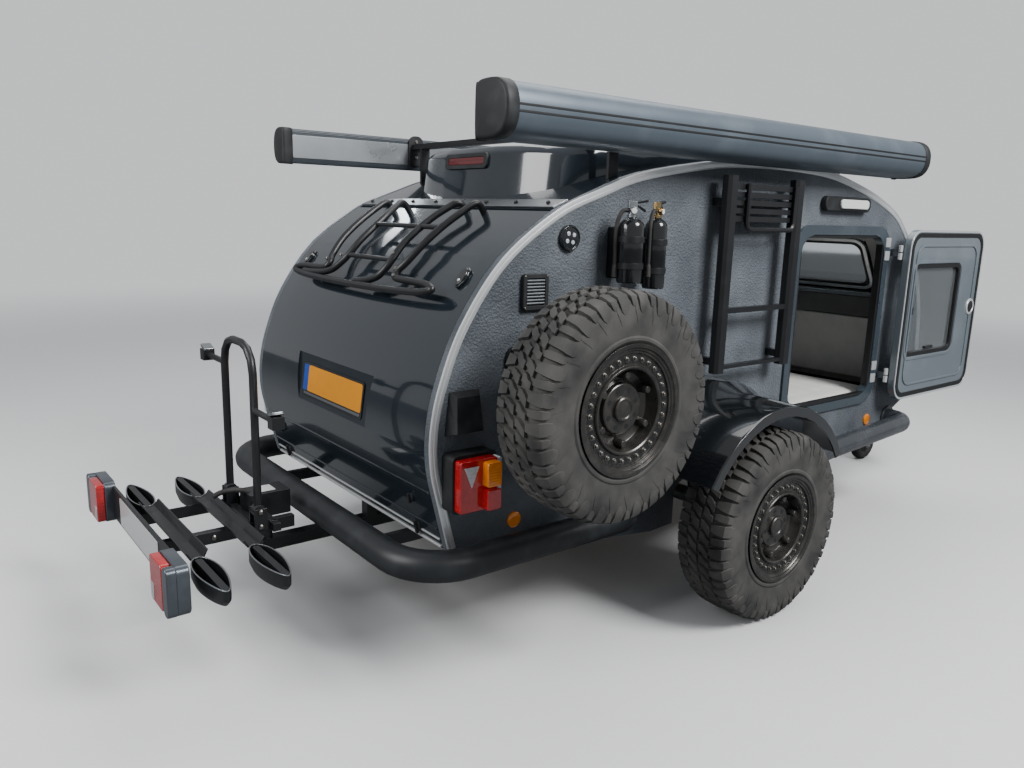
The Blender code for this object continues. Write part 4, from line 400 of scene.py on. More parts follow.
# Number plates: acrylic over a reflecting film, left blank
PLATE_YELLOW = Finish(
    "plate_film_yellow", "#F09A0A", "#DB8805", 0.25, 0.34, Pattern.PRISM, 3.0, 0.03, bloom_mm=60.0, coat=0.2
)
PLATE_BLUE = Finish(
    "plate_film_blue", "#1F4FB4", "#183F92", 0.25, 0.24, Pattern.PRISM, 3.0, 0.03, bloom_mm=30.0, coat=0.6
)
PLATE_WHITE = Finish(
    "plate_film_white", "#D9DCDC", "#BFC3C4", 0.25, 0.24, Pattern.PRISM, 3.0, 0.03, bloom_mm=60.0, coat=0.6
)
# Jersey cover quilted over foam: white, soft, with shallow pillows
JERSEY = Finish(
    "jersey_quilted_white", "#E6E5E1", "#C9C8C4", 0.3, 0.9, Pattern.QUILT, 60.0, 3.0, bloom_mm=150.0,
    sheen=0.3,
)
# Felt lining glued to the cabin wall
FELT = Finish(
    "felt_lining_light_grey", "#B4B5B2", "#989A98", 0.35, 0.95, Pattern.WEAVE, 4.0, 0.35, bloom_mm=90.0,
    sheen=0.4,
)
# The same felt in charcoal, on the locker
DARK_FELT = Finish(
    "felt_lining_charcoal", "#4A4B4D", "#606163", 0.35, 0.95, Pattern.WEAVE, 4.0, 0.35, bloom_mm=90.0,
    sheen=0.4,
)
# Birch plywood under a clear lacquer: long pale grain
PLYWOOD = Finish(
    "birch_plywood_lacquered", "#B99A6E", "#93754C", 0.5, 0.42, Pattern.PLY, 14.0, 0.12, bloom_mm=120.0
)
# Turned brass: warm, with fine turning marks
BRASS = Finish(
    "brass_turned", "#C9AE7C", "#A58A58", 0.35, 0.26, Pattern.POWDER, 1.5, 0.03, bloom_mm=15.0, metallic=1.0
)
# Grey ABS of louvres and rails: matt, so that their edges read
CLEAR_GREY = Finish(
    "abs_moulded_grey_edge", "#6F757A", "#9A9EA1", 0.35, 0.45, Pattern.POWDER, 1.6, 0.08, bloom_mm=30.0,
    ior=1.46,
)
# White enamel of dials and of the porch lamps' covers
DIAL_WHITE = Finish(
    "enamel_dial_white", "#E4E6E4", "#CFD1CE", 0.2, 0.35, Pattern.SMOOTH, 8.0, 0.02, bloom_mm=10.0
)

SLOT_FINISHES = {
    "gloss_paint": GEL_COAT,
    "coarse_coating": GRAINED_ABS,
    "frame_paint": FORMED_ABS,
    "black_powder_coat": POWDER_BLACK,
    "bottle_paint": ENAMEL_BLACK,
    "black_plastic": MOULDED_BLACK,
    "tube_coat": POWDER_GREY,
    "galvanised_steel": ZINC,
    "tyre_rubber": TYRE_RUBBER,
    "solid_rubber": SOLID_RUBBER,
    "dark_alloy": CAST_ALLOY,
    "awning_case": ANODISED_DARK,
    "anodised_aluminium": ANODISED_SILVER,
    "red_lens": RED_LENS,
    "white_fabric": JERSEY,
    "plywood": PLYWOOD,
    "tinted_acrylic": WINDOW_ACRYLIC,
}
# Nodes whose look differs from the rest of their slot's
NODE_FINISHES = {
    "fender_right": BLACK_GLOSS,
    "fender_left": BLACK_GLOSS,
}


def spline(points: list[Vector], steps: int, closed: bool = False) -> list[Vector]:
    """Pass a smooth line through points.

    Args:
        points: The points it goes through.
        steps: How many pieces each stretch is cut into.
        closed: Whether the last point joins the first.

    Returns:
        The points of the smooth line.
    """
    count = len(points)
    line = []
    for i in range(count if closed else count - 1):
        p0, p1, p2, p3 = (
            points[(i + k) % count] if closed else points[min(max(i + k, 0), count - 1)]
            for k in (-1, 0, 1, 2)
        )
        for j in range(steps):
            t = j / steps
            square = (2 * p0 - 5 * p1 + 4 * p2 - p3) * t**2
            cube = (3 * p1 - p0 - 3 * p2 + p3) * t**3
            line.append(0.5 * (2 * p1 + (p2 - p0) * t + square + cube))
    return line if closed else line + [points[-1]]


def bend(points: list[Vector], radii: tuple[float, ...], steps: int = 8) -> list[Vector]:
    """Round the inner corners of a path.

    Args:
        points: The path's corners, ends included.
        radii: The bend radius of each inner corner.
        steps: How many pieces each arc is cut into.

    Returns:
        The points of the bent path.
    """
    line = [points[0]]
    for before, here, after, radius in zip(points, points[1:], points[2:], radii):
        back, ahead = (before - here).normalized(), (after - here).normalized()
        half = back.angle(ahead) / 2
        centre = here + (back + ahead).normalized() * (radius / math.sin(half))
        start, stop = (here + way * (radius / math.tan(half)) - centre for way in (back, ahead))
        swing = start.angle(stop)
        for i in range(steps + 1):
            t = i / steps
            line.append(
                centre + (start * math.sin((1 - t) * swing) + stop * math.sin(t * swing)) / math.sin(swing)
            )
    return line + [points[-1]]


def rounded(wide: float, tall: float, radius: float, steps: int = 4) -> Outline:
    """Give a rectangle with round corners about the origin.

    Args:
        wide: Its width.
        tall: Its height.
        radius: Its corners' radius.
        steps: How many pieces each corner is cut into.

    Returns:
        The outline's points, anticlockwise.
    """
    line = []
    for i, (sx, sy) in enumerate(((1, 1), (-1, 1), (-1, -1), (1, -1))):
        for j in range(steps + 1):
            turn = math.radians(90 * (i + j / steps))
            x, y = sx * (wide / 2 - radius), sy * (tall / 2 - radius)
            line.append((x + radius * math.cos(turn), y + radius * math.sin(turn)))
    return line


def plane(centre: Vector, right: Vector, up: Vector) -> Matrix:
    """Give the matrix of a flat place.

    Args:
        centre: The middle of the place.
        right: The way across it.
        up: The way up it.

    Returns:
        The matrix, whose third axis points out of the surface.
    """
    right, up = right.normalized(), up.normalized()
    out = right.cross(up)
    rows = [(right[i], up[i], out[i], centre[i]) for i in range(3)]
    return Matrix((*rows, (0, 0, 0, 1)))


def circle(count: int, radius: float, start: float = 0.0) -> Outline:
    """Give points evenly round a circle, the first one at a start angle in radians."""
    turns = [start + 2 * math.pi * i / count for i in range(count)]
    return [(radius * math.cos(turn), radius * math.sin(turn)) for turn in turns]


def linked(name: str, data: bpy.types.ID) -> bpy.types.Object:
    """Make an object of some data and put it in the scene."""
    made = bpy.data.objects.new(name, data)
    bpy.context.scene.collection.objects.link(made)
    return made


class Shape:
    """Collects surfaces in world metres, then becomes one dressed piece."""

    def __init__(self) -> None:
        """Start with an empty mesh."""
        self.mesh = bmesh.new()

    def skin(
        self, rings: list[list[Vector]], caps: bool = True, joined: bool = False, closed: bool = True
    ) -> Shape:
        """Join rings of equal length into a surface.

        Args:
            rings: The rings, in order.
            caps: Whether the first and last rings are filled.
            joined: Whether the last ring joins the first.
            closed: Whether each ring closes on itself.

        Returns:
            The shape, so that calls can follow each other.
        """
        rows = [[self.mesh.verts.new(p) for p in ring] for ring in rings]
        pairs = list(zip(rows, rows[1:]))
        if joined:
            pairs.append((rows[-1], rows[0]))
        for a, b in pairs:
            count = len(a)
            for i in range(count if closed else count - 1):
                j = (i + 1) % count
                self.mesh.faces.new((a[i], a[j], b[j], b[i]))
        if caps and not joined:
            self.mesh.faces.new(rows[0][::-1])
            self.mesh.faces.new(rows[-1])
        return self

    def tube(self, path: list[Vector], radius: float, sides: int = 14) -> Shape:
        """Sweep a round tube along a path.

        Args:
            path: The tube's middle line.
            radius: Its radius.
            sides: How many sides its section has.

        Returns:
            The shape.
        """
        rings = []
        side = None
        for i, point in enumerate(path):
            along = (path[min(i + 1, len(path) - 1)] - path[max(i - 1, 0)]).normalized()
            side = along.orthogonal() if side is None else side
            side = (side - along * side.dot(along)).normalized()
            other = along.cross(side)
            rings.append([point + side * a + other * b for a, b in circle(sides, radius)])
        return self.skin(rings)

    def turn(self, profile: tuple, base: Vector, axis: Vector, steps: int = 24) -> Shape:
        """Turn a profile about an axis, capped at both ends.

        Args:
            profile: Pairs of distance along the axis and radius.
            base: Where the axis starts.
            axis: Its way.
            steps: How many sides the turned shape has.

        Returns:
            The shape.
        """
        side = axis.orthogonal().normalized()
        other = axis.cross(side)
        return self.skin(
            [[base + axis * t + side * a + other * b for a, b in circle(steps, r)] for t, r in profile]
        )

    def slab(self, outline: Outline, place: Matrix, thick: float, rise: float = 0.0) -> Shape:
        """Add a slab of an outline, which starts at a rise over a flat place."""
        return self.skin([[place @ Vector((x, y, z)) for x, y in outline] for z in (rise, rise + thick)])

    def band(self, outer: Outline, inner: Outline, place: Matrix, thick: float, rise: float = 0.0) -> Shape:
        """Add the frame between two outlines of as many points, which starts at a rise over a flat place."""
        rings = [
            [place @ Vector((x, y, z)) for x, y in line]
            for line, z in ((outer, rise), (outer, rise + thick), (inner, rise + thick), (inner, rise))
        ]
        return self.skin(rings, joined=True)

    def piece(
        self,
        name: str,
        finish: Finish,
        body: str = "trailer",
        bevel: float = 0.0,
        replaces: tuple = (),
        crease: float = 35.0,
    ) -> bpy.types.Object:
        """Turn the collected surfaces into a dressed piece that rides on a body.

        Args:
            name: The piece's name.
            finish: Its material.
            body: The CAD body that it rides on.
            bevel: The width of its broken edges, in metres.
            replaces: The CAD nodes that it stands for.
            crease: Edges sharper than this many degrees stay crisp.

        Returns:
            The new object.
        """
        bmesh.ops.recalc_face_normals(self.mesh, faces=self.mesh.faces)
        data = bpy.data.meshes.new(name)
        self.mesh.to_mesh(data)
        self.mesh.free()
        data.materials.append(finish.material())
        data.polygons.foreach_set("use_smooth", [True] * len(data.polygons))
        data.set_sharp_from_angle(angle=math.radians(crease))
        made = linked(name, data)
        if bevel:
            edge = made.modifiers.new("edges", "BEVEL")
            edge.width = bevel
            edge.segments = 2
            edge.harden_normals = True
        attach(made, body)
        if replaces:
            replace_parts(made, *replaces)
        LOG.info("%s: %d faces on %s", name, len(data.polygons), body)
        return made


def copy_piece(
    source: bpy.types.Object, name: str, body: str, place: Matrix, replaces: tuple = ()
) -> bpy.types.Object:
    """Set a second piece with the same mesh somewhere else.

    Args:
        source: The piece to copy.
        name: The copy's name.
        body: The body that the copy rides on.
        place: The move from the source's place to the copy's.
        replaces: The CAD nodes that the copy stands for.

    Returns:
        The new object.
    """
    made = source.copy()
    made.name = name
    for key in [k for k in made.keys() if k.startswith("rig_")]:
        del made[key]
    bpy.context.scene.collection.objects.link(made)
    made.parent = None
    made.matrix_world = place
    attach(made, body)
    if replaces:
        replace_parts(made, *replaces)
    return made


def joint_place(name: str) -> Vector:
    """Give the place of a joint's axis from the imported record."""
    return Vector(next(j["pos_m"] for j in frame["joints"] if j["name"] == name))


AXLE = joint_place("wheel_right_spin")


def at(x: float, y: float, z: float) -> Vector:
    """Give the world point for a place measured forward from the axle."""
    return Vector((x, y + AXLE.y, z))


@dataclass
class Tyre:
    """Mud tyre: a turned carcass with two rows of side lugs and two of centre blocks."""

    carcass: tuple = (
        (0.0, 0.3722), (0.05, 0.3715), (0.085, 0.369), (0.1, 0.362), (0.1085, 0.35),
        (0.113, 0.33), (0.114, 0.305), (0.1135, 0.275), (0.1115, 0.25), (0.1105, 0.242),
        (0.114, 0.236), (0.1138, 0.228), (0.109, 0.2215), (0.102, 0.211), (0.09, 0.205),
    )
    pitches: int = 26
    steps: int = 104
    # Each station: distance from the middle along the surface, both edges in shares of a pitch, height
    blocks: tuple = (
        ((0.05, 0.12, 0.44, 11.5), (0.074, 0.06, 0.5, 12.5), (0.1, 0.02, 0.54, 11.0), (0.118, 0.00, 0.55, 6.5),
         (0.138, 0.03, 0.5, 3.0), (0.152, 0.16, 0.38, 1.0)),
        ((0.056, 0.62, 0.9, 11.5), (0.078, 0.6, 0.95, 12.5), (0.102, 0.59, 0.95, 10.5), (0.118, 0.6, 0.93, 5.5),
         (0.13, 0.66, 0.86, 1.5)),
        ((0.003, 0.02, 0.34, 12.2), (0.018, 0.06, 0.42, 12.2), (0.034, 0.2, 0.6, 12.2), (0.047, 0.34, 0.66, 12.2)),
        ((0.005, 0.48, 0.86, 12.2), (0.02, 0.54, 0.92, 12.2), (0.034, 0.72, 1.02, 12.2), (0.05, 0.8, 1.06, 12.2)),
        ((0.128, 0.7, 0.76, 1.6), (0.146, 0.66, 0.71, 1.6), (0.168, 0.56, 0.6, 1.2), (0.186, 0.5, 0.53, 0.6)),
    )

    def surface(self, distance: float, height: float, side: float) -> tuple[float, float]:
        """Find a place over the carcass.

        Args:
            distance: The distance along its surface from the middle.
            height: The height over it.
            side: One on the right, minus one on the left.

        Returns:
            The place across, and the radius.
        """
        left = distance
        for (x0, r0), (x1, r1) in zip(self.carcass, self.carcass[1:]):
            long = math.hypot(x1 - x0, r1 - r0)
            if left <= long:
                break
            left -= long
        share = left / long
        out_x, out_r = -(r1 - r0) / long, (x1 - x0) / long
        return side * (x0 + (x1 - x0) * share + out_x * height), r0 + (r1 - r0) * share + out_r * height

    def build(self, name: str, body: str, centre: Vector, replaces: tuple) -> bpy.types.Object:
        """Build the tyre with its axle along X.

        Args:
            name: The piece's name.
            body: The body that it turns with.
            centre: The wheel's centre.
            replaces: The CAD tyre.

        Returns:
            The tyre, with its mesh about its own centre.
        """
        shape = Shape()
        half = list(self.carcass)
        outline = [(-x, r) for x, r in half[::-1]] + half[1:]
        rings = [[Vector((x, r * a, r * b)) for a, b in circle(self.steps, 1.0)] for x, r in outline]
        shape.skin(rings, joined=True)
        pitch = 2 * math.pi / self.pitches
        for side, shift in ((1.0, 0.0), (-1.0, 0.5)):
            for i in range(self.pitches):
                for block in self.blocks:
                    self.lug(shape, block, side, (i + shift) * pitch, pitch)
        tyre = shape.piece(name, TYRE_RUBBER, body, bevel=1.4 * MM, crease=30)
        tyre.parent = None
        tyre.matrix_world = Matrix.Translation(centre)
        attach(tyre, body)
        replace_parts(tyre, *replaces)
        return tyre

    def lug(self, shape: Shape, block: tuple, side: float, start: float, pitch: float) -> None:
        """Add one tread block as a bar that bends over the shoulder.

        Args:
            shape: The tyre so far.
            block: The block's stations.
            side: One on the right, minus one on the left.
            start: The angle at which its pitch starts.
            pitch: The angle of one pitch.
        """
        rings = []
        for distance, first, last, tall in block:
            corners = []
            for edge, height in ((first, -2.0), (first + 0.035, tall), (last - 0.035, tall), (last, -2.0)):
                x, r = self.surface(distance, height * MM, side)
                turn = start + side * edge * pitch
                corners.append(Vector((x, r * math.cos(turn), r * math.sin(turn))))
            rings.append(corners)
        shape.skin(rings)


@dataclass
class Rim:
    """Alloy rim with a bolted bead ring, six studs in a dished bowl, and a hub disc whose bores are dark discs of
    painted shade.
    """

    face: tuple = (
        (0.0845, 0.01), (0.0845, 0.028), (0.0875, 0.031), (0.0875, 0.037), (0.084, 0.041), (0.0745, 0.0425),
        (0.074, 0.08), (0.0715, 0.0835), (0.058, 0.086), (0.053, 0.096), (0.054, 0.108),
        (0.061, 0.122), (0.08, 0.13), (0.1045, 0.1345), (0.1085, 0.139), (0.1085, 0.144),
        (0.104, 0.1475), (0.0985, 0.149), (0.0985, 0.185), (0.105, 0.187), (0.1065, 0.193),
        (0.111, 0.196), (0.111, 0.203), (0.1165, 0.206), (0.1172, 0.212), (0.116, 0.219),
        (0.102, 0.211), (0.095, 0.201), (0.05, 0.185), (-0.06, 0.185), (-0.095, 0.201),
        (-0.116, 0.219), (-0.1165, 0.21), (-0.095, 0.193), (-0.06, 0.178), (0.03, 0.17),
        (0.035, 0.13), (0.035, 0.03),
    )
    bolts: int = 30
    bolt_circle: float = 0.167
    bolt: tuple = (
        (0.0, 0.009), (0.0028, 0.009), (0.0034, 0.0082), (0.0036, 0.0062), (0.0085, 0.006),
        (0.0095, 0.005),
    )
    bolt_socket: tuple = ((0.0088, 0.0032), (0.0097, 0.003))
    studs: int = 6
    stud_circle: float = 0.113
    stud: tuple = ((0.0, 0.0165), (0.014, 0.015), (0.04, 0.0125), (0.043, 0.0105))
    bores: int = 8
    bore_circle: float = 0.064

    def build(self, name: str, body: str, centre: Vector, replaces: tuple) -> list[bpy.types.Object]:
        """Build the casting, its bolts, and the dark discs and pads that paint the shade of its bores and of the
        hollows between the bolts.

        Args:
            name: The casting's name, which the other pieces add to.
            body: The body that it turns with.
            centre: The wheel's centre.
            replaces: The CAD rim.

        Returns:
            The three pieces, with their meshes about the wheel's centre.
        """
        casting = Shape().turn(self.face, Vector(), ACROSS, 72)
        for a, b in circle(self.studs, self.stud_circle, 0.3):
            foot = Vector((0.048, a, b))
            casting.turn(self.stud, foot, ACROSS, 18)
        bolts = Shape()
        for a, b in circle(self.bolts, self.bolt_circle):
            foot = Vector((0.0982, a, b))
            bolts.turn(self.bolt, foot, ACROSS, 12)
            bolts.turn(self.bolt_socket, foot, ACROSS, 6)
        # Dark discs on the hub face and dark pads between the bolts: painted shade for the bores and for the
        # hollows between the bolts
        dark = Shape()
        for a, b in circle(self.bores, self.bore_circle, 0.15):
            dark.turn(((0.0, 0.0095), (0.0006, 0.0092)), Vector((0.074, a, b)), ACROSS, 16)
        for a, b in circle(self.bolts, self.bolt_circle, math.pi / self.bolts):
            outward = Vector((0.0, a, b))
            place = plane(Vector((0.0984, a, b)), outward.cross(ACROSS), outward)
            dark.slab(rounded(0.012, 0.026, 0.005, 3), place, 0.0006)
        made = [
            casting.piece(name, CAST_ALLOY, body, bevel=0.8 * MM, crease=28),
            bolts.piece(name + "_bolts", BOLT_STEEL, body),
            dark.piece(name + "_pockets", SEAL_RUBBER, body),
        ]
        for part in made:
            part.parent = None
            part.matrix_world = Matrix.Translation(centre)
            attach(part, body)
        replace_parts(made[0], *replaces)
        return made


@dataclass
class Wheels:
    """The two road wheels and the spare, which share their meshes."""

    spare_turn: float = 0.21

    def build(self) -> None:
        """Build one wheel and copy it to the other places, with the far one turned about."""
        tyre = Tyre().build("mud_tyre_right", "wheel_right", AXLE, ("tyre_right",))
        rim = Rim().build("alloy_rim_right", "wheel_right", AXLE, ("rim_right",))
        low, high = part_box("tyre_spare")
        spare = (low + high) / 2
        left = Vector((-AXLE.x, AXLE.y, AXLE.z))
        turned = Matrix.Rotation(math.pi, 4, "Z")
        for where, body, place in (
            ("left", "wheel_left", Matrix.Translation(left) @ turned),
            ("spare", "trailer", Matrix.Translation(spare) @ Matrix.Rotation(self.spare_turn, 4, "X")),
        ):
            copy_piece(tyre, "mud_tyre_" + where, body, place, ("tyre_" + where,))
            for part in rim:
                replaced = ("rim_" + where,) if part is rim[0] else ()
                copy_piece(part, part.name.replace("right", where), body, place, replaced)


@dataclass
class BodyLine:
    """The body's side outline, in shares of its length and height, repeated from the part's source."""

    hatch: tuple = (
        (0.0242, 0.105), (0.0127, 0.1992), (0.0015, 0.2992), (0.0012, 0.3877),
        (0.0115, 0.4825), (0.0369, 0.6073), (0.0869, 0.7448), (0.1592, 0.8504),
    )
    roof: tuple = (
        (0.2234, 0.9032), (0.2858, 0.9459), (0.3899, 0.9822), (0.4681, 0.9975), (0.578, 1.0000),
        (0.6776, 0.9885), (0.7624, 0.9548), (0.8247, 0.9192), (0.8762, 0.8765), (0.9122, 0.818),
        (0.9455, 0.7447), (0.9758, 0.6365), (0.9939, 0.5092), (1.0000, 0.3819), (0.9939, 0.2864),
        (0.983, 0.2285),
    )
    length: float = 3.303
    height: float = 1.571
    rear: float = 1.323
    low: float = 0.25

    def points(self, shares: tuple, steps: int = 6) -> list[Vector]:
        """Turn shares into a smooth line of (forward, up) points in the world."""
        start = AXLE.y - self.rear
        return spline(
            [Vector((start + a * self.length, self.low + b * self.height)) for a, b in shares], steps
        )

    def whole(self) -> list[Vector]:
        """Give the line from the hatch's foot over the roof to the nose."""
        return self.points(self.hatch + self.roof)

    def roof_height(self, y: float) -> float:
        """Give the roof's height.

        Args:
            y: The distance forward from the axle.

        Returns:
            The height over the floor.
        """
        line = self.whole()
        a, b = next((a, b) for a, b in zip(line, line[1:]) if a.x <= y + AXLE.y <= b.x)
        return a.y + (b.y - a.y) * (y + AXLE.y - a.x) / (b.x - a.x)

    def on_hatch(self, share: float, sunk: float = 0.0) -> tuple[Vector, Vector, Vector]:
        """Find a place on the hatch.

        Args:
            share: The share of the hatch line's length, from its foot.
            sunk: How far in from the surface.

        Returns:
            The point at mid width, the way up the hatch and the way out of it, in world metres.
        """
        line = self.points(self.hatch)
        longs = [(b - a).length for a, b in zip(line, line[1:])]
        left = share * sum(longs)
        for (a, b), long in zip(zip(line, line[1:]), longs):
            if left <= long:
                break
            left -= long
        way = (b - a).normalized()
        spot = a + way * left
        along = Vector((0.0, way.x, way.y))
        out = ACROSS.cross(along) * -1 if ACROSS.cross(along).y > 0 else ACROSS.cross(along)
        return Vector((0.0, spot.x, spot.y)) - out * sunk, along, out


LINE = BodyLine()


def walk(line: list[Vector]) -> list[tuple[Vector, Vector]]:
    """Pair each inner point of a side outline with the way in from it.

    Args:
        line: Points of forward and up.

    Returns:
        Each point with its way in.
    """
    pairs = []
    for before, spot, after in zip(line, line[1:], line[2:]):
        way = (after - before).normalized()
        pairs.append((spot, Vector((way.y, -way.x))))
    return pairs


def sheet(run: list[tuple[Vector, Vector]], left: float, right: float, depths: tuple) -> list[list[Vector]]:
    """Give the rings of a sheet that lies between two depths, in millimetres, under a run of the outline."""
    near, deep = depths
    corners = ((left, near), (right, near), (right, deep), (left, deep))
    return [[Vector((x, *(spot + inward * depth * MM))) for x, depth in corners] for spot, inward in run]


@dataclass
class EdgeTrim:
    """Bright ribbed trim round the edge of both side walls."""

    # Distance in from the edge and height over the wall, in millimetres
    ribs: tuple = (
        (0.0, -0.4), (0.3, 3.0), (3.0, 5.4), (10.0, 5.8), (12.5, 3.6),
        (15.5, 3.6), (18.0, 5.8), (27.0, 5.4), (32.0, 3.0), (33.0, -0.4),
    )

    def build(self) -> None:
        """Sweep the ribbed section along the outline on each side."""
        line = LINE.whole()
        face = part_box("side_wall_right")[1].x
        for where, sign in SIDES.items():
            rings = []
            for i, spot in enumerate(line):
                way = (line[min(i + 1, len(line) - 1)] - line[max(i - 1, 0)]).normalized()
                inward = Vector((way.y, -way.x))
                rows = [(sign * (face + high * MM), spot + inward * deep * MM) for deep, high in self.ribs]
                rings.append([Vector((x, *place)) for x, place in rows])
            Shape().skin(rings).piece("edge_trim_" + where, BRIGHT_TRIM, crease=20)


@dataclass
class SideFittings:
    """Round lamp, markers, louvred vent and rear lamps on the side walls."""

    # Forward of the axle, and height
    spot: tuple = (-0.74, 1.489)
    spot_profile: tuple = (
        (0.0, 0.047), (0.012, 0.047), (0.015, 0.044), (0.0155, 0.04), (0.013, 0.037), (0.013, 0.006)
    )
    spot_lens: tuple = ((0.012, 0.0085), (0.015, 0.0075), (0.0165, 0.004))
    spot_lenses: int = 4
    lens_circle: float = 0.019
    markers: tuple = ((-0.955, 0.47), (1.5, 0.517))
    marker_profile: tuple = ((0.0, 0.03), (0.006, 0.03), (0.009, 0.026), (0.01, 0.012))
    slats: int = 8
    # Columns: share of the vent's depth, share of a slat's pitch
    slat: tuple = ((0.3, 0.1), (0.85, 0.25), (0.98, 0.55), (0.9, 0.78), (0.62, 0.8), (0.3, 0.3))
    slat_margin: float = 0.017
    # Columns: name, finish, place across and up, width and height as shares of the lamp's own,
    # rise as a share of its depth
    fields: tuple = (
        ("red", RED_LENS, -0.04, 0.0, 0.82, 0.88, 0.62),
        ("amber", AMBER_LENS, 0.19, 0.19, 0.32, 0.42, 0.92),
        ("low_red", RED_LENS, 0.19, -0.24, 0.32, 0.36, 0.92),
        ("clear", CLEAR_LENS, 0.42, 0.0, 0.1, 0.86, 0.62),
    )
    # The triangle's corners as shares of the lamp's width and height
    triangle: tuple = ((0.16, 0.19), (-0.16, 0.19), (0.0, -0.17))

    def build(self) -> None:
        """Build the fittings of both sides."""
        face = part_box("side_wall_right")[1].x
        for where, sign in SIDES.items():
            out = ACROSS * sign
            amber = Shape()
            for y, z in self.markers:
                amber.turn(self.marker_profile, at(sign * face, y, z), out, 28)
            amber.piece("side_markers_" + where, AMBER_LENS)
        self.lamp(face)
        self.vent(face)
        self.rear_lamps()

    def lamp(self, face: float) -> None:
        """Build the round lamp with its four lenses.

        Args:
            face: How far right the wall's face lies.
        """
        base = at(face, *self.spot)
        Shape().turn(self.spot_profile, base, ACROSS, 32).piece(
            "scene_lamp_housing", SMOKED_LENS, bevel=0.6 * MM
        )
        domes = Shape()
        for a, b in circle(self.spot_lenses, self.lens_circle, 0.6):
            domes.turn(self.spot_lens, base + Vector((0, a, b)), ACROSS, 16)
        domes.piece("scene_lamp_lenses", CLEAR_LENS)

    def vent(self, face: float) -> None:
        """Build the vent's frame, louvres and screws.

        Args:
            face: How far right the wall's face lies.
        """
        low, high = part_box("side_vent")
        mid = (low + high) / 2
        place = plane(Vector((face, mid.y, mid.z)), FORWARD, UP)
        wide, tall, proud = high.y - low.y, high.z - low.z, high.x - face
        case = Shape().band(
            rounded(wide, tall, 0.012), rounded(wide - 0.03, tall - 0.03, 0.008), place, proud
        )
        case.slab(rounded(wide - 0.028, tall - 0.028, 0.008), place, proud * 0.25)
        case.piece("vent_frame", MOULDED_BLACK, bevel=2.0 * MM, replaces=("side_vent",))
        louvres = Shape()
        half = wide / 2 - self.slat_margin
        pitch = (tall - 2 * self.slat_margin) / self.slats
        for i in range(self.slats):
            foot = low.z + self.slat_margin + pitch * i
            rings = [
                [Vector((face + proud * a, mid.y + side * half, foot + pitch * b)) for a, b in self.slat]
                for side in (-1, 0, 1)
            ]
            louvres.skin(rings)
        louvres.piece("vent_louvres", CLEAR_GREY, bevel=0.5 * MM)
        screws = Shape()
        for sy in (-1, 1):
            for sz in (-1, 1):
                spot = Vector(
                    (face + proud, mid.y + sy * (wide / 2 - 0.008), mid.z + sz * (tall / 2 - 0.008))
                )
                screws.turn(((-0.001, 0.0038), (0.0012, 0.0036), (0.002, 0.002)), spot, ACROSS, 12)
        screws.piece("vent_screws", BOLT_STEEL)

    def rear_lamps(self) -> None:
        """Dress the rear lamps: dark housing, coloured lens fields and the triangle reflector."""
        for where, sign in SIDES.items():
            low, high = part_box("tail_lamp_" + where)
            inner, outer = (low.x, high.x) if sign > 0 else (high.x, low.x)
            y0, y1, z0, z1 = low.y, high.y, low.z, high.z
            mid = Vector(((inner + outer) / 2, (y0 + y1) / 2, (z0 + z1) / 2))
            wide, tall = y1 - y0, z1 - z0
            place = plane(Vector((inner, mid.y, mid.z)), FORWARD * sign, UP)
            depth = abs(outer - inner)
            Shape().slab(rounded(wide, tall, 0.02), place, depth * 0.62).piece(
                "rear_lamp_housing_" + where, MOULDED_BLACK, bevel=3 * MM, replaces=("tail_lamp_" + where,)
            )
            for label, finish, u, v, w, h, rise in self.fields:
                spot = Vector((inner, mid.y + sign * wide * u, mid.z + tall * v))
                place = plane(spot, FORWARD * sign, UP)
                Shape().slab(rounded(wide * w, tall * h, 0.008), place, depth * 0.36, depth * rise).piece(
                    f"rear_lamp_{label}_{where}", finish, bevel=4 * MM
                )
            spot = Vector((inner, mid.y - sign * wide * 0.22, mid.z + tall * 0.15))
            corners = [(wide * a, tall * b) for a, b in self.triangle]
            Shape().slab(corners, plane(spot, FORWARD * sign, UP), depth * 0.05, depth * 0.975).piece(
                f"rear_lamp_reflector_{where}", CLEAR_LENS, bevel=2 * MM
            )


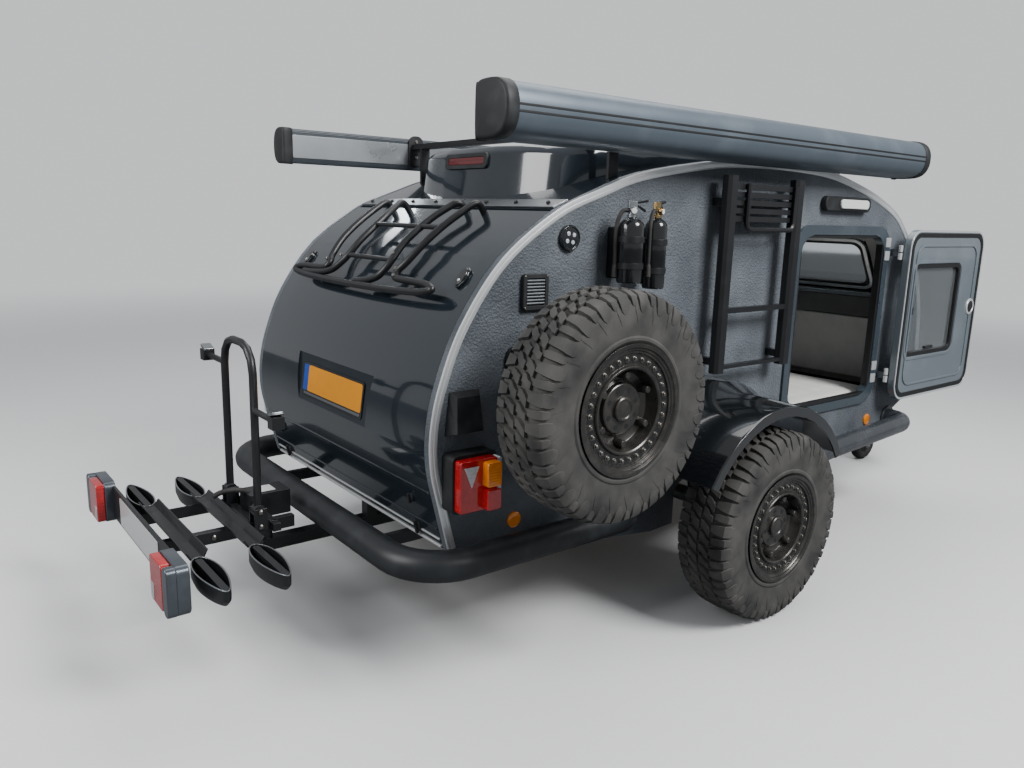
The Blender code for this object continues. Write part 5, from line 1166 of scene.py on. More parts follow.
@dataclass
class HatchFittings:
    """Number plate, oval lamps, latches, foot profile and rail bolts of the rear hatch."""

    plate_share: float = 0.335
    plate_sunk: float = 0.0095
    plate: tuple = (0.52, 0.11)
    oval_x: float = 0.625
    oval_share: float = 0.715
    # Columns: half width, half height, thickness and rise of a lamp's case and cover
    ovals: tuple = ((0.026, 0.043, 0.011, 0.0), (0.021, 0.037, 0.006, 0.01))
    # Where the CAD panel's lamp bosses sit on the hatch line, and how far they reach across and along
    boss_share: float = 0.79
    boss_reach: tuple = (0.06, 0.08)
    latch_x: float = 0.575
    # Columns: share of the hatch line, radius
    latches: tuple = ((0.115, 0.016), (0.03, 0.022))
    bolts: tuple = (-0.66, -0.47, -0.28, -0.09, 0.09, 0.28, 0.47, 0.66)
    profile_long: float = 1.425
    # Columns: name, finish, share of the hatch line, height, how far it stands out
    profiles: tuple = (
        ("hatch_foot_profile", BRIGHT_TRIM, 0.000, 0.009, 0.006),
        ("hatch_foot_lip", BRIGHT_TRIM, 0.022, 0.006, 0.004),
        ("hatch_swage_low", GEL_COAT, 0.05, 0.01, 0.004),
        ("hatch_swage_high", GEL_COAT, 0.15, 0.014, 0.004),
    )

    def build(self) -> None:
        """Build the fittings, each one on the hatch's own curve."""
        self.number_plate()
        self.oval_lamps()
        self.panel()
        self.foot()
        self.catches()
        self.rail_bolts()

    def number_plate(self) -> None:
        """Build the plate's holder, the blank plate with its strip, and the holder's lip."""
        spot, along, _ = LINE.on_hatch(self.plate_share, self.plate_sunk)
        middle = plane(spot, ACROSS, along)
        wide, tall = self.plate
        for name, finish, size, right, up, thick, rise, edge_mm in (
            (
                "plate_holder", MOULDED_BLACK, (wide + 0.014, tall + 0.034, 0.012), 0.0, -0.008, 0.004, 0.0,
                1.5,
            ),
            ("plate_blank", PLATE_YELLOW, (wide - 0.045, tall, 0.01), 0.0225, 0.0, 0.0022, 0.0036, 0.7),
            ("plate_strip", PLATE_BLUE, (0.044, tall, 0.006), 0.022 - wide / 2, 0.0, 0.0022, 0.0036, 0.7),
            (
                "plate_holder_lip", ANODISED_SILVER, (wide - 0.02, 0.01, 0.003), 0.0, -tall / 2 - 0.011,
                0.001, 0.0036, 0.3,
            ),
        ):
            place = middle @ Matrix.Translation((right, up, 0))
            Shape().slab(rounded(*size), place, thick, rise).piece(name, finish, "hatch", bevel=edge_mm * MM)

    def oval_lamps(self) -> None:
        """Build the two oval lamps, each with a small bright dome that paints the highlight on its glossy cover.
        """
        spot, along, out = LINE.on_hatch(self.oval_share)
        lamps, glint_domes = Shape(), Shape()
        for sign in SIDES.values():
            place = plane(spot + ACROSS * sign * self.oval_x, ACROSS, along)
            for wide, tall, thick, rise in self.ovals:
                lamps.slab([(a * wide, b * tall) for a, b in circle(32, 1.0)], place, thick, rise)
            # A small bright dome low on each cover: a painted highlight
            glint_domes.turn(
                ((0.0, 0.006), (0.002, 0.005), (0.003, 0.002)), place @ Vector((0, -0.016, 0.0157)), out, 14
            )
        lamps.piece("hatch_lamps", SMOKED_LENS, "hatch", bevel=2.5 * MM, crease=50)
        glint_domes.piece("hatch_lamp_lenses", CLEAR_LENS, "hatch")

    def panel(self) -> None:
        """Stand a copy in for the CAD panel, without its lamp bosses: they sit higher than the real lamps."""
        spot, along, out = LINE.on_hatch(self.boss_share)
        across, up = self.boss_reach

        def on_boss(point: Vector) -> bool:
            """Tell whether a point of the panel belongs to a boss."""
            near = abs(abs(point.x) - self.oval_x) < across and abs((point - spot).dot(along)) < up
            return near and (point - spot).dot(out) > 0.002

        refine("hatch_panel", GEL_COAT, "hatch", 3.0, drop=on_boss)

    def foot(self) -> None:
        """Build the bright foot profile and the raised swages above it."""
        for name, finish, share, tall, proud in self.profiles:
            spot, along, _ = LINE.on_hatch(share)
            place = plane(spot + along * tall / 2, ACROSS, along)
            strip = Shape().slab(rounded(self.profile_long, tall, tall * 0.3), place, proud + 0.002, -0.002)
            strip.piece(name, finish, "hatch", bevel=tall * 0.25)

    def catches(self) -> None:
        """Build the two pairs of turn latches."""
        latches = Shape()
        for share, size in self.latches:
            spot, along, out = LINE.on_hatch(share)
            for sign in SIDES.values():
                place = plane(spot + ACROSS * sign * self.latch_x, ACROSS, along)
                latches.turn(((0.0, size), (0.006, size), (0.008, size * 0.8)), place @ Vector(), out, 20)
                latches.slab(rounded(size * 0.7, size * 2.4, 0.004), place, 0.01, 0.006)
        latches.piece("hatch_latches", MOULDED_BLACK, "hatch", bevel=1.2 * MM)

    def rail_bolts(self) -> None:
        """Build the bolts' heads along the hinge rail."""
        low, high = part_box("hinge_rail")
        way = (Vector((0, high.y, high.z)) - Vector((0, low.y, low.z))).normalized()
        lift = ACROSS.cross(way)
        heads = Shape()
        for x in self.bolts:
            seat = Vector((x, low.y + 0.03, low.z + 0.017)) + lift * 0.004
            heads.turn(((-0.004, 0.008), (0.0045, 0.008), (0.007, 0.006)), seat, lift, 14)
        heads.piece("rail_bolts", MOULDED_BLACK)


@dataclass
class Rack:
    """The hatch rack: a looped outer tube, two inner tubes and two rungs."""

    radius: float = 0.014
    rung: float = 0.01
    stand: float = 0.055
    # Columns: distance right of the middle, share of the hatch line,
    # height over the hatch where it isn't the stand
    outer: tuple = (
        (0.352, 0.976, -0.01), (0.352, 0.975, 0.03), (0.35, 0.965, 0.051), (0.346, 0.93), (0.336, 0.85),
        (0.327, 0.78), (0.307, 0.718), (0.286, 0.69), (0.293, 0.672), (0.34, 0.667), (0.43, 0.666),
        (0.52, 0.663), (0.568, 0.6545), (0.545, 0.6455), (0.47, 0.639), (0.3, 0.634), (0.0, 0.631),
    )
    inner: tuple = (
        (
            (0.228, 0.978, -0.01), (0.228, 0.977, 0.03), (0.224, 0.966, 0.051), (0.212, 0.94),
            (0.195, 0.87), (0.19, 0.78), (0.195, 0.72), (0.19, 0.688), (0.165, 0.664), (0.11, 0.651),
            (0.02, 0.642),
        ),
        (
            (-0.215, 0.978, -0.01), (-0.215, 0.977, 0.03), (-0.211, 0.966, 0.051), (-0.196, 0.94),
            (-0.17, 0.87), (-0.16, 0.78), (-0.166, 0.72), (-0.182, 0.695), (-0.222, 0.667),
            (-0.29, 0.654), (-0.4, 0.649), (-0.47, 0.648),
        ),
    )
    rungs: tuple = ((-0.163, 0.334, 0.843), (-0.166, 0.194, 0.721))
    bolts: tuple = ((-0.3, 0.694), (-0.2, 0.712), (0.286, 0.69), (0.3, 0.671), (0.195, 0.735))

    def build(self) -> None:
        """Build the tubes and their bolts on the hatch's own curve."""
        half = [self.spot(*row) for row in self.outer]
        loop = half + [Vector((-p.x, p.y, p.z)) for p in reversed(half[:-1])]
        tubes = Shape().tube(spline(loop, 6), self.radius, 20)
        for rows in self.inner:
            tubes.tube(spline([self.spot(*row) for row in rows], 6), self.radius, 20)
        for left, right, share in self.rungs:
            tubes.tube([self.spot(left, share), self.spot(right, share)], self.rung, 16)
        tubes.piece("rack_tubes", POWDER_BLACK, "hatch", replaces=("hatch_rack",), crease=60)
        heads = Shape()
        for x, share in self.bolts:
            out = LINE.on_hatch(share)[2]
            heads.turn(
                ((-0.004, 0.0075), (0.003, 0.0075), (0.006, 0.004)),
                self.spot(x, share, self.stand + self.radius), out, 14,
            )
        heads.piece("rack_bolts", BOLT_STEEL, "hatch")

    def spot(self, x: float, share: float, rise: float | None = None) -> Vector:
        """Give a place over the hatch."""
        lift = self.stand if rise is None else rise
        return LINE.on_hatch(share, -lift)[0] + ACROSS * x


@dataclass
class Pod:
    """The roof pod, its rear corners swept forward, on the roof's own curve, with the brake lamp."""

    half: float = 0.6
    rear: float = -0.68
    front: float = 0.25
    lean: float = 0.02
    sweep: float = 0.43
    peak: float = 0.03
    top: float = 1.826
    edge: float = 0.025
    crown: float = 0.016
    rise: float = 0.02
    sunk: float = 0.004
    lamp: tuple = (0.262, 0.03)
    # Columns: share of the half width, share of the sweep by which the rear edge stands ahead
    stations: tuple = ((0.25, 0.0), (0.6, 0.1), (0.83, 0.26), (0.95, 0.52), (1.0, 1.0))

    def build(self) -> None:
        """Build the shell, then the lamp in its rear face."""
        right = [
            (min(p.x, 1.0), min(max(p.y, 0.0), 1.0))
            for p in spline([Vector(row) for row in self.stations], 4)
        ]
        rings = [self.section(-share, swept) for share, swept in reversed(right)]
        rings += [self.section(share, swept) for share, swept in right]
        Shape().skin(rings).piece("pod_shell", GEL_COAT, bevel=2 * MM, replaces=("roof_pod",), crease=42)
        foot = LINE.roof_height(self.rear)
        face = Vector((0.0, self.lean, self.top + self.crown - self.edge - foot)).normalized()
        place = plane(
            at(0.0, self.rear + self.lean, self.top + self.crown - self.edge) - face * 0.035, ACROSS, face
        )
        wide, tall = self.lamp
        Shape().slab(rounded(wide, tall, 0.01, 5), place, 0.009).piece(
            "brake_lamp_lens", LED_LENS, bevel=2 * MM, replaces=("brake_lamp",)
        )
        Shape().band(
            rounded(wide + 0.044, tall + 0.034, 0.018, 5), rounded(wide, tall, 0.01, 5), place, 0.011
        ).piece("brake_lamp_surround", MOULDED_BLACK, bevel=2 * MM)

    def section(self, share: float, swept: float) -> list[Vector]:
        """Give one fore-and-aft section of the shell.

        Args:
            share: The share of the half width, negative on the left.
            swept: The share of the sweep at this place.

        Returns:
            The section's points in the world, from the front over the top and back along the roof.
        """
        rear = self.rear + swept * self.sweep
        top = self.top + self.crown * (1 - share * share) - self.edge * max(0.0, abs(share) * 10 - 9) ** 2
        corners = [
            Vector((self.front, LINE.roof_height(self.front) + 0.006)),
            Vector((self.peak, top + self.rise)),
            Vector(((rear + self.peak) / 2, top + self.rise * 0.7)),
            Vector((rear + self.lean + self.edge, top)),
            Vector((rear + self.lean, top - self.edge)),
            Vector((rear, LINE.roof_height(rear) - self.sunk)),
        ]
        line = bend(corners, (0.2, 0.4, 0.03, 0.03), 4)
        for i in range(1, 9):
            y = rear + (self.front - rear) * i / 8
            line.append(Vector((y, LINE.roof_height(y) - self.sunk)))
        return [at(share * self.half, p.x, p.y) for p in line]


@dataclass
class Awning:
    """A wind-out awning: drawn case, moulded end caps, dark strips along its grooves whose darkness is painted
    shade, and the slim one's bright face.
    """

    where: str
    sign: float
    wide: float
    low: float
    tall: float
    finish: Finish
    inner: float = 0.765
    rear: float = -1.17
    long: float = 2.66
    # Places of the brackets forward of the axle, and their height
    brackets: tuple = (-0.46, 1.08)
    bracket_height: float = 1.868
    # Columns: share of the case's width outward from the crossbars, share of its height
    outline: tuple = (
        (0.00, 0.06), (0.1, 0.00), (0.54, 0.00), (0.76, 0.05), (0.9, 0.16), (0.98, 0.32), (1.00, 0.5),
        (0.98, 0.68), (0.9, 0.84), (0.76, 0.95), (0.56, 1.00), (0.22, 1.00), (0.06, 0.96), (0.00, 0.88),
    )
    # Columns: distance in from the end, growth over the case's outline
    cap: tuple = (
        (0.0, -0.008), (0.0015, -0.002), (0.006, 0.003), (0.012, 0.004), (0.048, 0.004), (0.05, 0.002)
    )

    def build(self) -> None:
        """Build the case, its caps, the dark strips of painted groove shade, and the rails and brackets."""
        front = self.rear + self.long
        Shape().skin([self.ring(y, 0.0) for y in (self.rear + 0.01, front - 0.01)]).piece(
            "awning_case_" + self.where, self.finish, replaces=("awning_" + self.where,), crease=50
        )
        caps = Shape()
        for end, way in ((self.rear, 1.0), (front, -1.0)):
            caps.skin([self.ring(end + way * run, grow) for run, grow in self.cap])
        caps.piece("awning_caps_" + self.where, MOULDED_BLACK, crease=50)
        mid = self.rear + self.long / 2
        long = self.long - 0.1
        # Two dark strips along the outer face: the grooves are real, their dark colour is painted shade
        rails = Shape()
        for share in (0.44, 0.56):
            spot = at(self.sign * (self.inner + self.wide - 0.0025), mid, self.low + share * self.tall)
            rails.slab(rounded(long, 0.007, 0.003), plane(spot, FORWARD * self.sign, UP), 0.004)
        rails.piece("awning_lines_" + self.where, SEAL_RUBBER, bevel=0.8 * MM)
        if self.where == "left":
            self.bright_face(mid, long)

    def bright_face(self, mid: float, long: float) -> None:
        """Build the silver face towards the roof, its rails and the brackets on the crossbars.

        Args:
            mid: The awning's middle, forward from the axle.
            long: The length of the face.
        """
        spot = at(self.sign * self.inner - 0.0005, mid, self.low + 0.48 * self.tall)
        place = plane(spot, FORWARD, UP)
        Shape().slab(rounded(long, 0.66 * self.tall, 0.006), place, 0.003).piece(
            "awning_face_left", ANODISED_SILVER, bevel=1 * MM
        )
        rails = Shape()
        for rise in (0.065, 0.071):
            rails.slab(rounded(long, 0.0025, 0.001), place @ Matrix.Translation((0, rise, 0)), 0.003)
        rails.piece("awning_rails_left", CLEAR_GREY)
        plates, heads = Shape(), Shape()
        for y in self.brackets:
            plate = plane(at(self.sign * self.inner + 0.003, y, self.bracket_height), FORWARD, UP)
            plates.slab(rounded(0.085, 0.15, 0.036, 6), plate, 0.01)
            for rise in (-0.03, 0.045):
                heads.turn(
                    ((0.009, 0.009), (0.014, 0.009), (0.017, 0.006)), plate @ Vector((0.0, rise, 0.0)),
                    ACROSS, 14,
                )
        plates.piece("awning_brackets_left", POWDER_BLACK, bevel=2 * MM)
        heads.piece("awning_bolts_left", BOLT_STEEL)

    def ring(self, y: float, grow: float) -> list[Vector]:
        """Give one ring of the case.

        Args:
            y: The distance forward from the axle.
            grow: How far the outline is grown all round.

        Returns:
            The ring's points in the world.
        """
        wide, tall = self.wide + 2 * grow, self.tall + 2 * grow
        middle, height = self.inner + self.wide / 2, self.low + self.tall / 2
        smooth = spline([Vector(row) for row in self.outline], 4, closed=True)
        return [at(self.sign * (middle + (p.x - 0.5) * wide), y, height + (p.y - 0.5) * tall) for p in smooth]


@dataclass
class Bottle:
    """One painted extinguisher with its valve, levers, hose and bracket, left unlabelled."""

    node: str
    radius: float
    turned: float
    valve: Finish
    head: float = 0.058
    # Columns: height over the neck, radius
    valve_profile: tuple = ((0.0, 0.0175), (0.012, 0.0175), (0.014, 0.013), (0.034, 0.013), (0.04, 0.009))
    gauge_rise: float = 0.024
    gauge: tuple = ((0.0, 0.011), (0.02, 0.011), (0.022, 0.014), (0.026, 0.013))
    dial: tuple = ((0.0255, 0.0105), (0.0262, 0.01))
    block: tuple = (0.022, 0.034, 0.004)
    block_rise: float = 0.032
    block_deep: float = 0.026
    # Columns: height over the neck, length, how far the tip stands over the root
    levers: tuple = ((0.034, 0.062, -0.014), (0.046, 0.07, 0.01))
    lever_section: tuple = ((-0.009, 0.0), (0.009, 0.0), (0.01, 0.008), (-0.01, 0.008))
    hose_radius: float = 0.0078
    nozzle: tuple = ((0.0, 0.0078), (0.004, 0.01), (0.045, 0.0115), (0.048, 0.009))
    bands: tuple = (0.22, 0.62)
    band_tall: float = 0.022

    def build(self) -> None:
        """Build the bottle in place of its CAD node."""
        low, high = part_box(self.node)
        foot = Vector((high.x - self.radius - 0.003, (low.y + high.y) / 2, low.z))
        long = high.z - low.z - self.head
        r = self.radius
        body = (
            (0.0, r * 0.86), (0.003, r * 0.96), (0.008, r), (long - 0.034, r), (long - 0.022, r * 0.94),
            (long - 0.01, r * 0.74), (long - 0.003, r * 0.46), (long, 0.017),
        )
        Shape().turn(body, foot, UP, 36).piece(
            self.node + "_bottle", ENAMEL_BLACK, replaces=(self.node,), crease=50
        )
        neck = foot + UP * long
        ahead = Vector((math.sin(self.turned), math.cos(self.turned), 0.0))
        self.fittings(neck, ahead)
        self.hose(neck, -ahead)
        self.bracket(foot, long, low.x)

    def fittings(self, neck: Vector, ahead: Vector) -> None:
        """Build the valve with its gauge and the two levers.

        Args:
            neck: The top of the bottle's neck.
            ahead: The way that the levers point.
        """
        side = ahead.cross(UP)
        valve = Shape().turn(self.valve_profile, neck, UP, 20)
        valve.turn(self.gauge, neck + UP * self.gauge_rise, side, 16)
        valve.slab(rounded(*self.block), plane(neck + UP * self.block_rise, side, ahead), self.block_deep)
        valve.piece(self.node + "_valve", self.valve, bevel=1 * MM)
        Shape().turn(self.dial, neck + UP * self.gauge_rise, side, 16).piece(self.node + "_dial", DIAL_WHITE)
        levers = Shape()
        for rise, long, tip in self.levers:
            root = neck + UP * rise - ahead * 0.014
            path = spline([root, root + ahead * long * 0.5 + UP * 0.003, root + ahead * long + UP * tip], 4)
            levers.skin([[p + side * a + UP * b for a, b in self.lever_section] for p in path])
        levers.piece(self.node + "_levers", POWDER_BLACK, bevel=1.2 * MM)

    def hose(self, neck: Vector, away: Vector) -> None:
        """Build the hose with its nozzle.

        Args:
            neck: The top of the bottle's neck.
            away: The way that the hose leaves the valve.
        """
        beside = self.radius + 0.009
        route = (
            (0.024, 0.012), (0.02, self.radius * 0.8), (-0.03, beside), (-0.12, beside + 0.0005),
            (-0.17, beside),
        )
        line = spline([neck + UP * rise + away * out for rise, out in route], 6)
        shape = Shape().tube(line, self.hose_radius, 12)
        shape.turn(self.nozzle, line[-1], (line[-1] - line[-2]).normalized(), 14)
        shape.piece(self.node + "_spout", SOLID_RUBBER)

    def bracket(self, foot: Vector, long: float, wall: float) -> None:
        """Build the two bands and the plate behind them.

        Args:
            foot: The middle of the bottle's foot.
            long: The bottle's length without its neck.
            wall: How far right the wall's face lies.
        """
        bands = Shape()
        lift = UP * self.band_tall
        for share in self.bands:
            outer, inner = (
                [foot + Vector((a, b, long * share)) for a, b in circle(28, self.radius + proud)]
                for proud in (0.0035, 0.0005)
            )
            bands.skin([outer, [p + lift for p in outer], [p + lift for p in inner], inner], joined=True)
        back = plane(Vector((wall, foot.y, foot.z + long * 0.45)), FORWARD, UP)
        bands.slab(rounded(0.04, long * 0.8, 0.008), back, foot.x - self.radius - wall)
        bands.piece(self.node + "_bracket", POWDER_BLACK, bevel=0.8 * MM)


@dataclass
class Doors:
    """Leaves, windows, seals, locks and hinge plates of both doors, and the rubber in their frames."""

    corner: float = 0.095
    knuckle: float = 0.026
    thick: float = 0.036
    window_wide: float = 0.54
    # Columns: name, finish, how much smaller than the leaf the ring's outside and inside are,
    # the radii of their corners, how far it stands out, broken edge in millimetres
    rings: tuple = (
        ("door_lip", BRIGHT_TRIM, 0.002, 0.022, 0.095, 0.085, 0.002, 0.8),
        ("door_seal", SEAL_RUBBER, 0.03, 0.076, 0.083, 0.065, 0.0038, 1.5),
        ("door_swage", SILVER_ABS, 0.15, 0.176, 0.075, 0.066, 0.006, 2.5),
    )
    lock_height: float = 1.11
    lock_inset: float = 0.085
    lock_ring: tuple = ((0.0, 0.047), (0.004, 0.047), (0.0066, 0.044), (0.007, 0.036), (0.005, 0.034))
    lock_knob: tuple = ((0.003, 0.034), (0.0055, 0.033), (0.0064, 0.028), (0.0068, 0.012))
    hinge_heights: tuple = (0.786, 1.44)
    # The plates lie on the frame, low enough to clear the closed leaf's seal
    plate_x: float = 0.7625
    plate_behind: float = 0.04
    plate_drop: float = 0.034
    plate: tuple = (0.046, 0.048, 0.004)
    plate_thick: float = 0.0048
    pin: float = 0.0108
    # Rear, front, foot and head of the opening, from the axle and the floor
    opening: tuple = (0.66, 1.51, 0.62, 1.555)

    def build(self) -> None:
        """Build both doors, then the rubber in their frames."""
        for where, sign in SIDES.items():
            low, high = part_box("door_" + where)
            glass_low, glass_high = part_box("door_glass_" + where)
            leaf = (low + high) / 2
            pane = (glass_low + glass_high) / 2
            half = self.window_wide / 2
            pane.y = glass_low.y + half if sign > 0 else glass_high.y - half
            # The cabin side of both leaves faces right: the right door stands open, the left one is closed
            inner = pane.x + self.thick / 2
            face = plane(Vector((inner, leaf.y + sign * self.knuckle / 2, leaf.z)), FORWARD, UP)
            window = plane(Vector((inner, pane.y, pane.z)), FORWARD, UP)
            hole = (self.window_wide, glass_high.z - glass_low.z)
            self.leaf(where, face, window, (high.y - low.y - self.knuckle, high.z - low.z), hole)
            self.glaze(where, pane, window, hole)
            edge = high.y - self.lock_inset if sign > 0 else low.y + self.lock_inset
            self.lock(where, Vector((inner, edge, self.lock_height)))
            self.hinges(where, sign)
        self.frame_seals()

    def leaf(self, where: str, face: Matrix, window: Matrix, size: tuple, hole: tuple) -> None:
        """Build a leaf round its window, with its lip, seal and swage.

        Args:
            where: The door's side.
            face: The place of the leaf's cabin face.
            window: The place of the window in that face.
            size: The leaf's length and height.
            hole: The window's width and height.
        """
        long, top = size
        wide, tall = hole
        body = "door_" + where
        shift = window.translation - face.translation
        rim = [(u + shift.y, v + shift.z) for u, v in rounded(wide - 0.002, tall - 0.002, 0.05, 8)]
        Shape().band(rounded(long, top, self.corner + 0.001, 8), rim, face, self.thick, -self.thick).piece(
            "door_leaf_" + where, SILVER_ABS, body, bevel=4 * MM, replaces=(body,)
        )
        for name, finish, out, into, big, small, proud, edge_mm in self.rings:
            outer, inner = rounded(long - out, top - out, big, 8), rounded(long - into, top - into, small, 8)
            Shape().band(outer, inner, face, proud).piece(f"{name}_{where}", finish, body, bevel=edge_mm * MM)

    def glaze(self, where: str, pane: Vector, window: Matrix, hole: tuple) -> None:
        """Build a leaf's pane, its rubber, its rim and the stay and latch behind it.

        Args:
            where: The door's side.
            pane: The pane's middle.
            window: The place of the window in the leaf's cabin face.
            hole: The window's width and height.
        """
        wide, tall = hole
        body = "door_" + where
        panel = Shape().slab(
            rounded(wide + 0.004, tall + 0.004, 0.05, 6), window, 0.004, -self.thick / 2 - 0.002
        )
        panel.piece("window_pane_" + where, WINDOW_ACRYLIC, body, replaces=("door_glass_" + where,))
        rubber = Shape()
        outer = rounded(wide - 0.002, tall - 0.002, 0.049, 6)
        inner = rounded(wide - 0.046, tall - 0.046, 0.032, 6)
        for side in (1.0, -1.0):
            rubber.band(outer, inner, plane(pane + ACROSS * side * 0.002, FORWARD * side, UP), 0.016)
        rubber.piece("window_seal_" + where, SEAL_RUBBER, body, bevel=1.5 * MM)
        outer = rounded(wide + 0.036, tall + 0.036, 0.066, 8)
        inner = rounded(wide + 0.004, tall + 0.004, 0.052, 8)
        Shape().band(outer, inner, window, 0.004).piece(
            "window_rim_" + where, SILVER_ABS, body, bevel=1.8 * MM
        )
        stay = Shape()
        for size, right, up in (
            ((0.09, 0.016, 0.006), 0.0, -tall / 2 + 0.04),
            ((0.014, 0.04, 0.005), -wide / 2 + 0.036, 0.0),
        ):
            stay.slab(rounded(*size), window @ Matrix.Translation((right, up, -0.012)), 0.014)
        stay.piece("window_latch_" + where, MOULDED_BLACK, body, bevel=2 * MM)

    def lock(self, where: str, place: Vector) -> None:
        """Build the bright lock ring and the dark knob in it.

        Args:
            where: The door's side.
            place: The lock's middle on the leaf's cabin face.
        """
        body = "door_" + where
        Shape().turn(self.lock_ring, place, ACROSS, 36).piece("lock_ring_" + where, BRIGHT_TRIM, body)
        knob = Shape().turn(self.lock_knob, place, ACROSS, 32)
        knob.slab(rounded(0.044, 0.014, 0.006), plane(place, FORWARD, UP), 0.0026, 0.0062)
        knob.piece("lock_knob_" + where, MOULDED_BLACK, body, bevel=1 * MM)

    def hinges(self, where: str, sign: float) -> None:
        """Build the bright hinge plates on the frame and the barrels on the leaf.

        Args:
            where: The door's side.
            sign: One on the right, minus one on the left.
        """
        pin = joint_place(f"door_{where}_swing")
        fixed, moving = Shape(), Shape()
        for height in self.hinge_heights:
            for drop in (-self.plate_drop, self.plate_drop):
                spot = Vector((sign * self.plate_x, pin.y - self.plate_behind, height + drop))
                fixed.slab(rounded(*self.plate), plane(spot, FORWARD * sign, UP), self.plate_thick)
            fixed.turn(((-0.052, self.pin), (-0.018, self.pin)), Vector((pin.x, pin.y, height)), UP, 18)
            moving.turn(
                ((-0.016, self.pin), (0.018, self.pin)), Vector((pin.x, pin.y, height + 0.004)), UP, 18
            )
        fixed.piece("hinge_plates_" + where, BRIGHT_TRIM, bevel=0.6 * MM)
        moving.piece("hinge_barrels_" + where, BRIGHT_TRIM, "door_" + where, bevel=0.6 * MM)

    def frame_seals(self) -> None:
        """Build the rubber that lines each door opening."""
        rear, front, foot, head = self.opening
        outer, inner = (
            rounded(front - rear - cut, head - foot - cut, r, 8)
            for cut, r in ((0.092, 0.056), (0.12, 0.046))
        )
        for where, sign in SIDES.items():
            place = plane(at(sign * 0.722, (rear + front) / 2, (foot + head) / 2), FORWARD * sign, UP)
            Shape().band(outer, inner, place, 0.036).piece("opening_seal_" + where, SEAL_RUBBER, bevel=2 * MM)


@dataclass
class FrontWindow:
    """The window in the nose: the hole in the skin, its pane and its rubber."""

    half: float = 0.5
    # World places of the pane's head and foot, forward and up
    rear: float = 1.228
    front: float = 1.404
    low: float = 1.221
    high: float = 1.487
    # How far forward the nose's part of the outline starts, and how far the pane laps under the skin
    nose: float = 1.0
    lap: float = 0.03
    # Depths in from the body's outline, in millimetres
    pane_mm: tuple = (11.0, 15.0)
    # Columns: name, finish, how much smaller the inside is than the window, thickness, rise
    surrounds: tuple = (
        ("front_window_seal", SEAL_RUBBER, 0.05, 0.022, 0.01),
        ("front_window_rim", BRIGHT_TRIM, 0.012, 0.024, 0.012),
    )

    def build(self) -> None:
        """Cut the window through the skin's copy, then set the pane and the rubber in it."""
        refine("roof_skin", GEL_COAT, "trailer", 3.0, window=self)
        low, high = self.low - self.lap, self.high + self.lap
        run = [
            (spot, inward)
            for spot, inward in walk(LINE.whole()) if spot.x > self.nose and low < spot.y < high
        ]
        rings = sheet(run, -self.half, self.half, self.pane_mm)
        Shape().skin(rings).piece("front_window_pane", WINDOW_ACRYLIC)
        middle = Vector((0.0, (self.rear + self.front) / 2 + 0.004, (self.low + self.high) / 2))
        wide, tall = 2 * self.half, self.tilt().length
        place = plane(middle, ACROSS, self.tilt())
        outer = rounded(wide + 0.03, tall + 0.03, 0.07, 6)
        for name, finish, cut, thick, rise in self.surrounds:
            inner = rounded(wide - cut, tall - cut, 0.05, 6)
            Shape().band(outer, inner, place, thick, rise).piece(name, finish, bevel=2 * MM)

    def tilt(self) -> Vector:
        """Give the way up the pane, as long as the pane is tall."""
        return Vector((0.0, self.rear - self.front, self.high - self.low))

    def cut(self, mesh: bmesh.types.BMesh) -> None:
        """Cut the hole through the skin and close its rim.

        Args:
            mesh: The skin's copy.
        """
        up = self.tilt().normalized()
        top, foot = Vector((0.0, self.rear, self.high)), Vector((0.0, self.front, self.low))
        for place, normal in (
            (ACROSS * -self.half, ACROSS), (ACROSS * self.half, ACROSS), (top, up), (foot, up)
        ):
            whole = mesh.verts[:] + mesh.edges[:] + mesh.faces[:]
            bmesh.ops.bisect_plane(mesh, geom=whole, plane_co=place, plane_no=normal)
        inside = []
        for face in mesh.faces:
            spot = face.calc_center_median()
            if abs(spot.x) < self.half and spot.y > self.nose and (spot - foot).dot(up) > 0 > (
                spot - top
            ).dot(up):
                inside.append(face)
        bmesh.ops.delete(mesh, geom=inside, context="FACES")
        bmesh.ops.bridge_loops(mesh, edges=[edge for edge in mesh.edges if edge.is_boundary])


